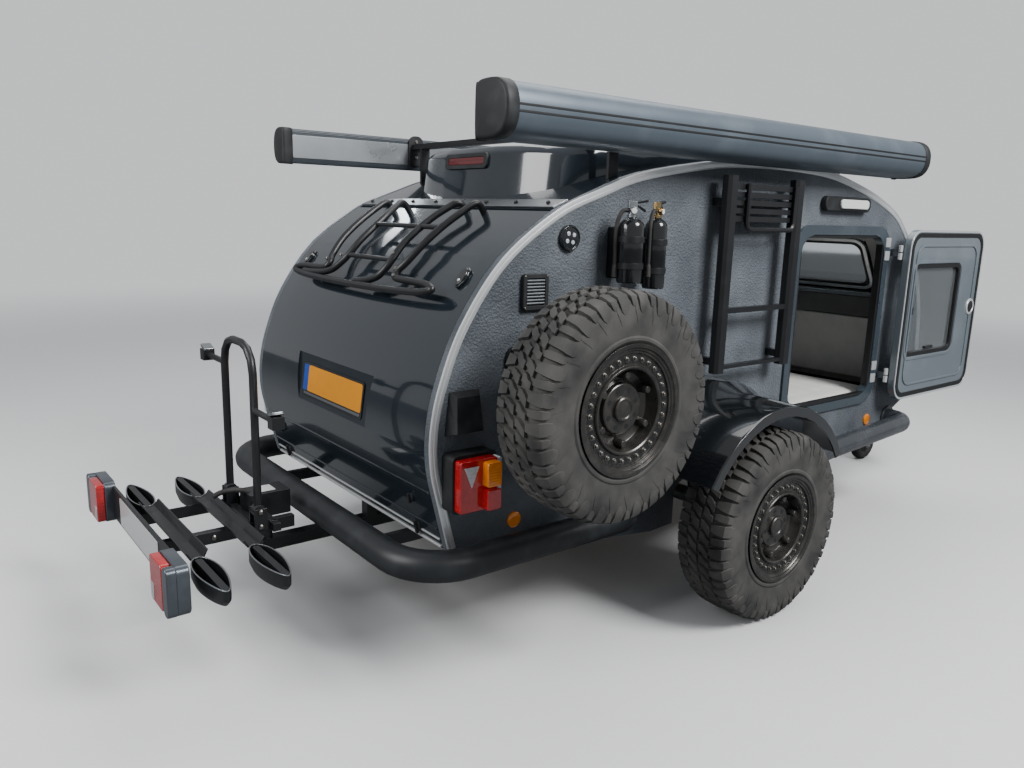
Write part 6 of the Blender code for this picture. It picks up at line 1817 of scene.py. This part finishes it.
@dataclass
class Cabin:
    """The quilted mattress and the felt on the far wall."""

    cell: float = 0.03
    # How far the cover stays in from the CAD mattress: across, along and down
    inset: tuple = (0.012, 0.01, 0.008)
    # Width and drop of the cover's rounded rim
    rim: tuple = (0.05, 0.018)
    # The cloth's pressure, and how far a point may swell outward and sink
    pressure: float = 4.0
    swell: float = 0.016
    sink: float = 0.002
    frames: int = 16
    # How far the felt stays from the front window's head and foot
    gap: float = 0.012
    # Depths of the roof's felt in from the body's outline, in millimetres
    felt_mm: tuple = (26.5, 31.0)

    def build(self) -> None:
        """Build the soft inside."""
        self.mattress()
        self.lining()
        low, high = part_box("mattress")
        # Felt behind the door on the far wall, then the nose locker's bands and its ledge
        place = plane(Vector((low.x + 0.001, -0.355, 1.09)), FORWARD, UP)
        Shape().slab(rounded(0.96, 0.78, 0.05), place, 0.006).piece("felt_wall_left", FELT, bevel=2 * MM)
        for name, finish, z0, z1, y, thick in (
            ("locker_front_low", FELT, high.z + 0.004, 1.03, 1.33, 0.016),
            ("locker_front_high", DARK_FELT, 1.034, 1.15, 1.335, 0.016),
            ("locker_ledge", SILVER_ABS, 1.154, 1.176, 1.395, 0.085),
        ):
            place = plane(Vector((0.0, y, (z0 + z1) / 2)), ACROSS, UP)
            Shape().slab(rounded(1.4, z1 - z0, 0.006), place, thick).piece(name, finish, bevel=3 * MM)

    def lining(self) -> None:
        """Line the roof and the nose with felt, left open round the front window."""
        window = FrontWindow()
        window.build()
        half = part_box("roof_skin")[1].x - 2 * MM
        edge = window.half + 0.015
        above, beside, below = [], [], []
        for spot, inward in walk(LINE.whole()):
            if spot.x > window.nose and spot.y < window.low - self.gap:
                below.append((spot, inward))
            elif spot.x > window.nose and spot.y < window.high + self.gap:
                beside.append((spot, inward))
            elif spot.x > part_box("mattress")[0].y:
                above.append((spot, inward))
        felt = Shape()
        beside = above[-1:] + beside + below[:1]
        for run, left, right in (
            (above, -half, half), (beside, -half, -edge), (beside, edge, half), (below, -half, half)
        ):
            felt.skin(sheet(run, left, right, self.felt_mm))
        felt.piece("felt_lining", FELT)

    def mattress(self) -> None:
        """Build the mattress, swell it as cloth under pressure, and cap how far it moves."""
        low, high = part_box("mattress")
        across, along, down = self.inset
        low, high = low + Vector((across, along, 0.0)), high - Vector((across, along, down))
        size = high - low
        counts = [max(int(size[i] / self.cell), 3) for i in range(3)]
        mesh = bmesh.new()
        bmesh.ops.create_cube(mesh, size=1.0)
        bmesh.ops.scale(mesh, vec=size, verts=mesh.verts)
        bmesh.ops.translate(mesh, vec=(low + high) / 2, verts=mesh.verts)
        for axis in range(3):
            edges = [e for e in mesh.edges if abs((e.verts[0].co - e.verts[1].co).normalized()[axis]) > 0.9]
            bmesh.ops.subdivide_edges(mesh, edges=edges, cuts=counts[axis] - 1, use_grid_fill=True)
        for vert in mesh.verts:
            vert.co.z = min(vert.co.z, high.z - self.rim[1] * self.edge_share(vert.co, low, high))
        data = bpy.data.meshes.new("mattress_cover")
        mesh.to_mesh(data)
        mesh.free()
        data.materials.append(JERSEY.material())
        pad = linked("mattress_cover", data)
        self.simulate(pad)
        data.polygons.foreach_set("use_smooth", [True] * len(pad.data.polygons))
        smooth = pad.modifiers.new("soft", "SUBSURF")
        smooth.levels = smooth.render_levels = 1
        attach(pad, "trailer")
        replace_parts(pad, "mattress")
        LOG.info("mattress_cover: %d faces", len(data.polygons))

    def edge_share(self, point: Vector, low: Vector, high: Vector) -> float:
        """Give how far a point is into the rounded rim, from nought inside to one at the edge."""
        near = min(point.x - low.x, high.x - point.x, point.y - low.y, high.y - point.y)
        return max(0.0, 1.0 - near / self.rim[0]) ** 2

    def simulate(self, pad: bpy.types.Object) -> None:
        """Blow the cover up as cloth, then hold each point near where it began.

        Args:
            pad: The cover.
        """
        rest = [v.co.copy() for v in pad.data.vertices]
        cloth = pad.modifiers.new("cloth", "CLOTH")
        cloth.settings.use_pressure = True
        cloth.settings.uniform_pressure_force = self.pressure
        cloth.settings.effector_weights.gravity = 0.0
        cloth.settings.quality = 4
        cloth.point_cache.frame_start, cloth.point_cache.frame_end = 1, self.frames
        for number in range(1, self.frames + 1):
            bpy.context.scene.frame_set(number)
        shaped = pad.evaluated_get(bpy.context.evaluated_depsgraph_get()).to_mesh()
        moved = [v.co.copy() for v in shaped.vertices]
        pad.modifiers.remove(cloth)
        bpy.context.scene.frame_set(1)
        for vert, start, end in zip(pad.data.vertices, rest, moved):
            step = end - start
            step.z = max(step.z, -self.sink)
            vert.co = start + step * min(1.0, self.swell / max(step.length, 1e-6))


@dataclass
class Carrier:
    """The bike carrier's lamp board, trays, grips, label and bolts."""

    # Left end, right end and mid height of the board
    board: tuple = (-0.56, 0.57, 0.42)
    board_tall: float = 0.13
    board_thick: float = 0.012
    plate: tuple = (0.52, 0.11, 0.01)
    lamp: tuple = (0.19, 0.165)
    rows: tuple = (-1.79, -1.98)
    cups: tuple = (-0.34, 0.53)
    # Half length and half width of a cup's rim
    cup: tuple = (0.15, 0.048)
    cup_top: float = 0.44
    cup_wall: float = 0.005
    cup_taper: float = 0.38
    ridge: tuple = (0.024, 0.036, 0.035)
    # The CAD frame's copy is kept between these places; the trays' arms start a little inside them
    kept: tuple = (-0.13, 0.235)
    # Columns: distance from the tray's middle line, height over its floor's underside
    tray: tuple = (
        (-0.0225, 0.0), (0.0225, 0.0), (0.0375, 0.028), (0.0325, 0.028),
        (0.0175, 0.005), (-0.0175, 0.005), (-0.0325, 0.028), (-0.0375, 0.028),
    )
    tray_low: float = 0.4355
    # Columns: right of the middle, forward of the axle, height
    bolts: tuple = (
        (0.2175, -1.7, 0.485), (0.1855, -1.64, 0.415), (0.1855, -1.86, 0.415),
        (0.1855, -2.03, 0.415), (0.2175, -1.7, 0.43),
    )
    bolt: tuple = ((-0.002, 0.01), (0.004, 0.01), (0.006, 0.007), (0.0075, 0.005))
    # Columns: forward of the axle, height
    lever: tuple = ((-1.655, 0.48), (-1.69, 0.505), (-1.76, 0.512), (-1.8, 0.5))

    def build(self) -> None:
        """Dress the lamp board and the frame."""
        self.lamp_board()
        self.trays()
        self.frame_details()

    def lamp_board(self) -> None:
        """Build the board with its blank plate and the lamp at each end."""
        low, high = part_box("lamp_board")
        left, right, height = self.board
        depth = high.y - low.y
        wide, tall = self.lamp
        middle = plane(Vector(((left + right) / 2, high.y, height)), ACROSS, UP)
        Shape().slab(rounded(right - left - wide, self.board_tall, 0.012), middle, self.board_thick).piece(
            "lamp_board_panel", POWDER_BLACK, bevel=2 * MM, replaces=("lamp_board",)
        )
        Shape().slab(rounded(*self.plate), middle, 0.002, self.board_thick + 0.0006).piece(
            "carrier_plate_blank", PLATE_WHITE, bevel=0.6 * MM
        )
        cases, red, clear = Shape(), Shape(), Shape()
        for sign, x in ((-1.0, left + wide / 2), (1.0, right - wide / 2)):
            place = plane(Vector((x, high.y, height)), ACROSS, UP)
            cases.slab(rounded(wide, tall, 0.03, 6), place, depth * 0.55)
            end = place @ Matrix.Translation((sign * (wide / 2 - 0.027), 0, 0))
            cases.slab(rounded(0.052, tall - 0.002, 0.024, 6), end, depth * 0.42, depth * 0.52)
            lens = place @ Matrix.Translation((-sign * 0.026, 0, 0))
            red.slab(rounded(wide - 0.06, tall - 0.012, 0.016, 5), lens, depth * 0.4, depth * 0.55)
            window = place @ Matrix.Translation((-sign * 0.066, -0.04, 0))
            clear.slab(rounded(0.034, 0.052, 0.006), window, 0.0015, depth * 0.95)
        cases.piece("carrier_lamp_cases", DARK_CHROME, bevel=4 * MM)
        red.piece("carrier_lamp_lenses", RED_LENS, bevel=4 * MM)
        clear.piece("carrier_lamp_windows", CLEAR_LENS, bevel=0.5 * MM)

    def trays(self) -> None:
        """Build the trays' arms and cups on both sides of the beams, with bright silver lips."""
        refine("carrier_frame", POWDER_BLACK, "trailer", 1.5, keep=self.kept)
        arms, lips = Shape(), Shape()
        long = self.cup[0]
        ridge_wide, ridge_tall, ridge_drop = self.ridge
        for y in self.rows:
            for start, cup in zip(self.kept, self.cups):
                inward = math.copysign(0.004, start - cup)
                near = math.copysign(long - 0.006, start - cup)
                ends = sorted((start + inward, cup + near))
                arms.skin([[at(x, y + a, self.tray_low + b) for a, b in self.tray] for x in ends])
                place = plane(at(cup, y, self.cup_top), ACROSS, FORWARD)
                outer, inner = (
                    self.cup_outline(slim, math.copysign(1.0, cup)) for slim in (0.0, self.cup_wall)
                )
                ridge = place @ Matrix.Translation((0, 0, -ridge_drop))
                arms.slab(rounded(2 * long - 0.03, ridge_wide, 0.01), ridge, ridge_tall)
                rings = (
                    (0.85, outer, -0.055), (1.0, outer, -0.035), (1.0, outer, 0.0),
                    (1.0, inner, 0.0), (1.0, inner, -0.033), (0.82, inner, -0.05),
                )
                arms.skin(
                    [
                        [place @ Vector((a * size, b * size, rise)) for a, b in line]
                        for size, line, rise in rings
                    ]
                )
                lips.band(outer, inner, place, 0.003)
        arms.piece("bike_trays", POWDER_BLACK, bevel=0.8 * MM)
        lips.piece("tray_lips", ANODISED_SILVER, bevel=0.8 * MM)

    def cup_outline(self, slim: float, side: float) -> Outline:
        """Give a cup's rim, narrower towards its outer tip.

        Args:
            slim: How far the rim is drawn in.
            side: One for a cup on the right, minus one on the left.

        Returns:
            The rim's points about the cup's middle.
        """
        long, wide = self.cup
        rim = []
        for a, b in circle(32, 1.0):
            taper = 1.0 - self.cup_taper * max(0.0, (1 + side * a) / 2) ** 2
            rim.append((a * (long - slim), b * (wide * taper - slim)))
        return rim

    def frame_details(self) -> None:
        """Build the bolts, the blank label, the coupling lever and the hoop's grips."""
        bolts = Shape()
        for spot in self.bolts:
            bolts.turn(self.bolt, at(*spot), ACROSS, 16)
        bolts.piece("carrier_bolts", BOLT_STEEL)
        label = plane(at(0.0, -1.6, 0.4955), ACROSS, FORWARD)
        Shape().slab(rounded(0.07, 0.06, 0.004), label, 0.001).piece("coupling_label_blank", PLATE_WHITE)
        lever = [at(0.0, y, z) for y, z in self.lever]
        Shape().tube(spline(lever, 5), 0.01, 12).piece("coupling_lever", SOLID_RUBBER)
        low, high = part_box("carrier_hoop")
        grips = Shape()
        for x, z, lean in ((high.x - 0.022, 0.882, 0.3), (low.x + 0.022, 1.012, -0.3)):
            place = plane(at(x, -1.7, z), Vector((math.cos(lean), 0.0, math.sin(lean))), FORWARD)
            grips.slab(rounded(0.052, 0.04, 0.006), place, 0.01, 0.002)
        grips.piece("hoop_grips", ANODISED_SILVER, "hoop", bevel=2 * MM)


@dataclass
class Tubes:
    """Round bumper and step tubes with their flanges and brackets, in place of the CAD's faceted ones."""

    sides: int = 32
    # Distance right of the middle, front end, rear end, height and radius of the tube
    bumper: tuple = (0.85, -0.44, -1.42, 0.405, 0.055)
    # Distance right of the middle, rear end, front end, height at the rear and at the front, radius
    step: tuple = (0.86, 0.62, 1.72, 0.44, 0.5, 0.05)
    bend_radii: tuple = (0.07, 0.2, 0.2, 0.07)
    bumper_flange: float = 0.082
    step_flange: float = 0.067
    # Columns: forward of the axle, height, length and height of a bracket's plate
    brackets: tuple = ((-1.195, 0.369, 0.45, 0.048), (-1.064, 0.382, 0.186, 0.074))
    rail_x: float = 0.45
    flange: float = 0.012

    def build(self) -> None:
        """Build the rear bumper, then a step tube on each side."""
        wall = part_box("side_wall_right")[1].x
        seat = wall + self.flange / 2
        x, front, rear, z, radius = self.bumper
        half = [at(seat, front, z), at(x, front, z), at(x, rear, z)]
        corners = half + [Vector((-p.x, p.y, p.z)) for p in reversed(half)]
        shape = Shape().tube(bend(corners, self.bend_radii), radius, self.sides)
        for sign in SIDES.values():
            shape.turn(self.flange_profile(self.bumper_flange), at(sign * wall, front, z), ACROSS * sign, 40)
            for y, height, long, tall in self.brackets:
                plate = plane(at(sign * self.rail_x - self.flange, y, height), FORWARD, UP)
                shape.slab(rounded(long, tall, 0.004), plate, 2 * self.flange)
        shape.piece("bumper_tube", POWDER_GREY, bevel=1.5 * MM, replaces=("rear_bumper",), crease=40)
        x, rear, front, low, high, radius = self.step
        for where, sign in SIDES.items():
            route = ((seat, rear, low), (x, rear, low), (x, front, high), (seat, front, high))
            corners = [at(sign * across, y, z) for across, y, z in route]
            shape = Shape().tube(bend(corners, self.bend_radii[:1] * 2), radius, self.sides)
            for y, z in ((rear, low), (front, high)):
                shape.turn(self.flange_profile(self.step_flange), at(sign * wall, y, z), ACROSS * sign, 36)
            shape.piece(
                "step_tube_" + where, STEP_GREY, bevel=1.5 * MM, replaces=("slider_" + where,), crease=40
            )

    def flange_profile(self, radius: float) -> tuple[tuple[float, float], ...]:
        """Give a flange's profile, from the wall outwards."""
        return (0.0003, radius), (0.0095, radius), (self.flange, radius - 0.003)


@dataclass
class PorchLamps:
    """Porch lamps over both doors."""

    def build(self) -> None:
        """Build the fittings from the CAD nodes' own boxes."""
        for where, sign in SIDES.items():
            low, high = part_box("porch_lamp_" + where)
            wall = low.x if sign > 0 else high.x
            deep, wide, tall = high.x - low.x, high.y - low.y, high.z - low.z
            place = plane(Vector((wall, (low.y + high.y) / 2, (low.z + high.z) / 2)), FORWARD * sign, UP)
            Shape().slab(rounded(wide, tall, 0.03, 6), place, deep * 0.7).piece(
                "porch_lamp_case_" + where, MOULDED_BLACK, bevel=6 * MM, replaces=("porch_lamp_" + where,)
            )
            glass = place @ Matrix.Translation((sign * wide * 0.1, 0, 0))
            Shape().slab(rounded(wide * 0.62, tall * 0.62, 0.018, 6), glass, deep * 0.26, deep * 0.68).piece(
                "porch_lamp_lens_" + where, DIAL_WHITE, bevel=4 * MM
            )


def refine(
    node: str,
    finish: Finish,
    body: str,
    edge_mm: float,
    crease: float = 32.0,
    keep: tuple = (),
    drop: Callable[[Vector], bool] | None = None,
    window: FrontWindow | None = None,
) -> bpy.types.Object:
    """Stand a finer piece in a CAD node's place: same faces, shaded round, with broken edges.

    Args:
        node: The CAD node.
        finish: Its material.
        body: The body that it rides on.
        edge_mm: The width of its broken edges, in millimetres.
        crease: Edges sharper than this many degrees stay crisp and are broken.
        keep: The left and right places that the copy is cut off at, where other pieces carry it on.
        drop: Tells of a point whether it is left out of the copy.
        window: The window that is cut through the copy.

    Returns:
        The piece.
    """
    mesh = bmesh.new()
    mesh.from_mesh(frame["nodes"][node].data)
    bmesh.ops.remove_doubles(mesh, verts=mesh.verts, dist=0.02 * MM)
    bmesh.ops.dissolve_limit(mesh, angle_limit=math.radians(0.6), verts=mesh.verts, edges=mesh.edges)
    for place, way in zip(keep, (-1.0, 1.0)):
        whole = mesh.verts[:] + mesh.edges[:] + mesh.faces[:]
        cut = bmesh.ops.bisect_plane(
            mesh, geom=whole, plane_co=(place, 0, 0), plane_no=(way, 0, 0), clear_outer=True
        )
        bmesh.ops.holes_fill(mesh, edges=[e for e in cut["geom_cut"] if isinstance(e, bmesh.types.BMEdge)])
    if drop:
        bmesh.ops.delete(mesh, geom=[v for v in mesh.verts if drop(v.co)], context="VERTS")
        bmesh.ops.holes_fill(mesh, edges=[e for e in mesh.edges if e.is_boundary])
    if window:
        window.cut(mesh)
    shape = Shape()
    shape.mesh.free()
    shape.mesh = mesh
    made = shape.piece(node + "_dressed", finish, body, bevel=edge_mm * MM, replaces=(node,), crease=crease)
    if made.modifiers:
        made.modifiers["edges"].limit_method = "ANGLE"
        made.modifiers["edges"].angle_limit = math.radians(crease)
    return made


@dataclass
class Studio:
    """A floor that is pale to the camera but mid grey in reflections and bounced light, painting darker
    reflections and shade onto the body; soft lights and the photograph's camera.
    """

    eye: tuple = (2.9555, -2.7143, 1.5658)
    yaw: float = 51.797
    pitch: float = 11.788
    roll: float = 1.552
    focal_px: float = 812.07
    picture_px: float = 1024.0
    # Columns: name, place, size, power in watts
    lamps: tuple = (
        ("key_softbox", (5.2, 0.6, 5.4), 2.6, 520.0),
        ("rear_softbox", (-0.5, -6.5, 4.0), 3.0, 230.0),
        ("top_softbox", (-1.0, 1.0, 6.0), 4.5, 170.0),
    )
    target: tuple = (0.0, -0.3, 0.8)
    pale: str = "#EDEFF1"
    pale_strength: float = 0.92
    # Where the floor starts to fade into the pale ground, and where it has gone
    fade: tuple = (4.5, 15.0)

    def build(self) -> None:
        """Build the camera, the lamps, the world and the floor."""
        self.camera()
        for name, spot, size, power in self.lamps:
            lamp = bpy.data.lights.new(name, "AREA")
            lamp.shape, lamp.size, lamp.energy = "SQUARE", size, power
            lit = linked(name, lamp)
            lit.location = spot
            lit.rotation_mode = "QUATERNION"
            lit.rotation_quaternion = (Vector(self.target) - Vector(spot)).to_track_quat("-Z", "Y")
        self.world()
        self.floor()

    def camera(self) -> None:
        """Set the camera where the photograph was taken."""
        yaw, pitch, roll = (math.radians(v) for v in (self.yaw, self.pitch, self.roll))
        ahead = Vector((-math.sin(yaw) * math.cos(pitch), math.cos(yaw) * math.cos(pitch), -math.sin(pitch)))
        level = Vector((math.cos(yaw), math.sin(yaw), 0.0))
        high = level.cross(ahead)
        right = level * math.cos(roll) + high * math.sin(roll)
        up = high * math.cos(roll) - level * math.sin(roll)
        data = bpy.data.cameras.new("photo_camera")
        data.sensor_width = 36.0
        data.lens = self.focal_px * data.sensor_width / self.picture_px
        taker = linked("photo_camera", data)
        taker.matrix_world = plane(at(*self.eye), right, up)
        bpy.context.scene.camera = taker

    def world(self) -> None:
        """Light softly from all round, and show a pale ground to the camera and through glass."""
        world = bpy.data.worlds.new("studio")
        bpy.context.scene.world = world
        world.use_nodes = True
        tree = world.node_tree
        light = tree.nodes["Background"]
        light.inputs["Color"].default_value = linear("#F4F6FA")
        light.inputs["Strength"].default_value = 0.42
        pale = add_node(tree, "Background", {"Color": linear(self.pale), "Strength": self.pale_strength})
        rays = add_node(tree, "LightPath")
        seen = add_node(
            tree, "Math", {0: rays.outputs["Is Camera Ray"], 1: rays.outputs["Is Transmission Ray"]},
            operation="MAXIMUM",
        )
        mixed = add_node(tree, "MixShader", {0: seen.outputs[0], 1: light.outputs[0], 2: pale.outputs[0]})
        tree.links.new(mixed.outputs[0], tree.nodes["World Output"].inputs["Surface"])

    def floor(self) -> None:
        """Lay a wide floor, pale to the camera and mid grey in the body's reflections and bounced light: painted
        darker reflections and shade.
        """
        mesh = bmesh.new()
        bmesh.ops.create_grid(mesh, x_segments=8, y_segments=8, size=40.0)
        data = bpy.data.meshes.new("studio_floor")
        mesh.to_mesh(data)
        mesh.free()
        material = bpy.data.materials.new("floor_paint_pale")
        material.use_nodes = True
        tree = material.node_tree
        shader = tree.nodes["Principled BSDF"]
        shader.inputs["Roughness"].default_value = 0.9
        # Only camera rays see the pale floor; reflections and bounced light see mid grey, which paints darker
        # reflections into the gloss and deepens the shade under the body
        rays = add_node(tree, "LightPath").outputs["Is Camera Ray"]
        tint = add_node(tree, "Mix", {0: rays, 6: linear("#77797B"), 7: linear("#E6E7E8")}, data_type="RGBA")
        tree.links.new(tint.outputs[2], shader.inputs["Base Color"])
        near, far = self.fade
        away = add_node(
            tree, "VectorMath", {0: add_node(tree, "TexCoord").outputs["Object"]}, operation="LENGTH"
        )
        fade = add_node(
            tree, "MapRange", {"Value": away.outputs["Value"], "From Min": near, "From Max": far},
            interpolation_type="SMOOTHSTEP",
        )
        share = add_node(tree, "Math", {0: fade.outputs[0], 1: rays}, operation="MULTIPLY")
        pale = add_node(tree, "Emission", {"Color": linear(self.pale), "Strength": self.pale_strength})
        mixed = add_node(tree, "MixShader", {0: share.outputs[0], 1: shader.outputs[0], 2: pale.outputs[0]})
        tree.links.new(mixed.outputs[0], tree.nodes["Material Output"].inputs["Surface"])
        data.materials.append(material)
        ground = linked("studio_floor", data)
        ground.location.z = -0.001


# Broken edges in millimetres for the nodes that need other than the common one
EDGES_MM = {"galley": 1.0, "bulkhead": 1.0, "jockey_wheel": 4.0}
COMMON_EDGE_MM = 1.5
# Nodes of round tube, whose few sides are shaded as one round
TUBE_CREASES = {"carrier_hoop": 55.0}


def dress_nodes() -> None:
    """Stand a finer, finished piece for every CAD node that no other piece replaces."""
    slots = {part["node"]: part["material_slot"] for part in frame["record"]["subparts"]}
    bodies = {node: body for body, nodes in frame["record"]["behaviour"]["bodies"].items() for node in nodes}
    taken = {node for made in bpy.data.objects for node in made.get("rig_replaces", [])}
    for node in sorted(set(slots) - taken):
        finish = NODE_FINISHES.get(node, SLOT_FINISHES[slots[node]])
        refine(node, finish, bodies[node], EDGES_MM.get(node, COMMON_EDGE_MM), TUBE_CREASES.get(node, 32.0))


def main() -> None:
    """Build the studio and every piece, in order from the ground up."""
    Studio().build()
    Wheels().build()
    EdgeTrim().build()
    SideFittings().build()
    HatchFittings().build()
    Rack().build()
    Bottle("extinguisher_rear", 0.047, 0.5, ANODISED_SILVER).build()
    Bottle("extinguisher_front", 0.042, -0.3, BRASS).build()
    Doors().build()
    Tubes().build()
    PorchLamps().build()
    Pod().build()
    Awning("right", 1.0, 0.165, 1.8, 0.172, ANODISED_GREY).build()
    Awning("left", -1.0, 0.105, 1.775, 0.155, ANODISED_DARK).build()
    Cabin().build()
    Carrier().build()
    dress_nodes()


if __name__ == "__main__":
    main()
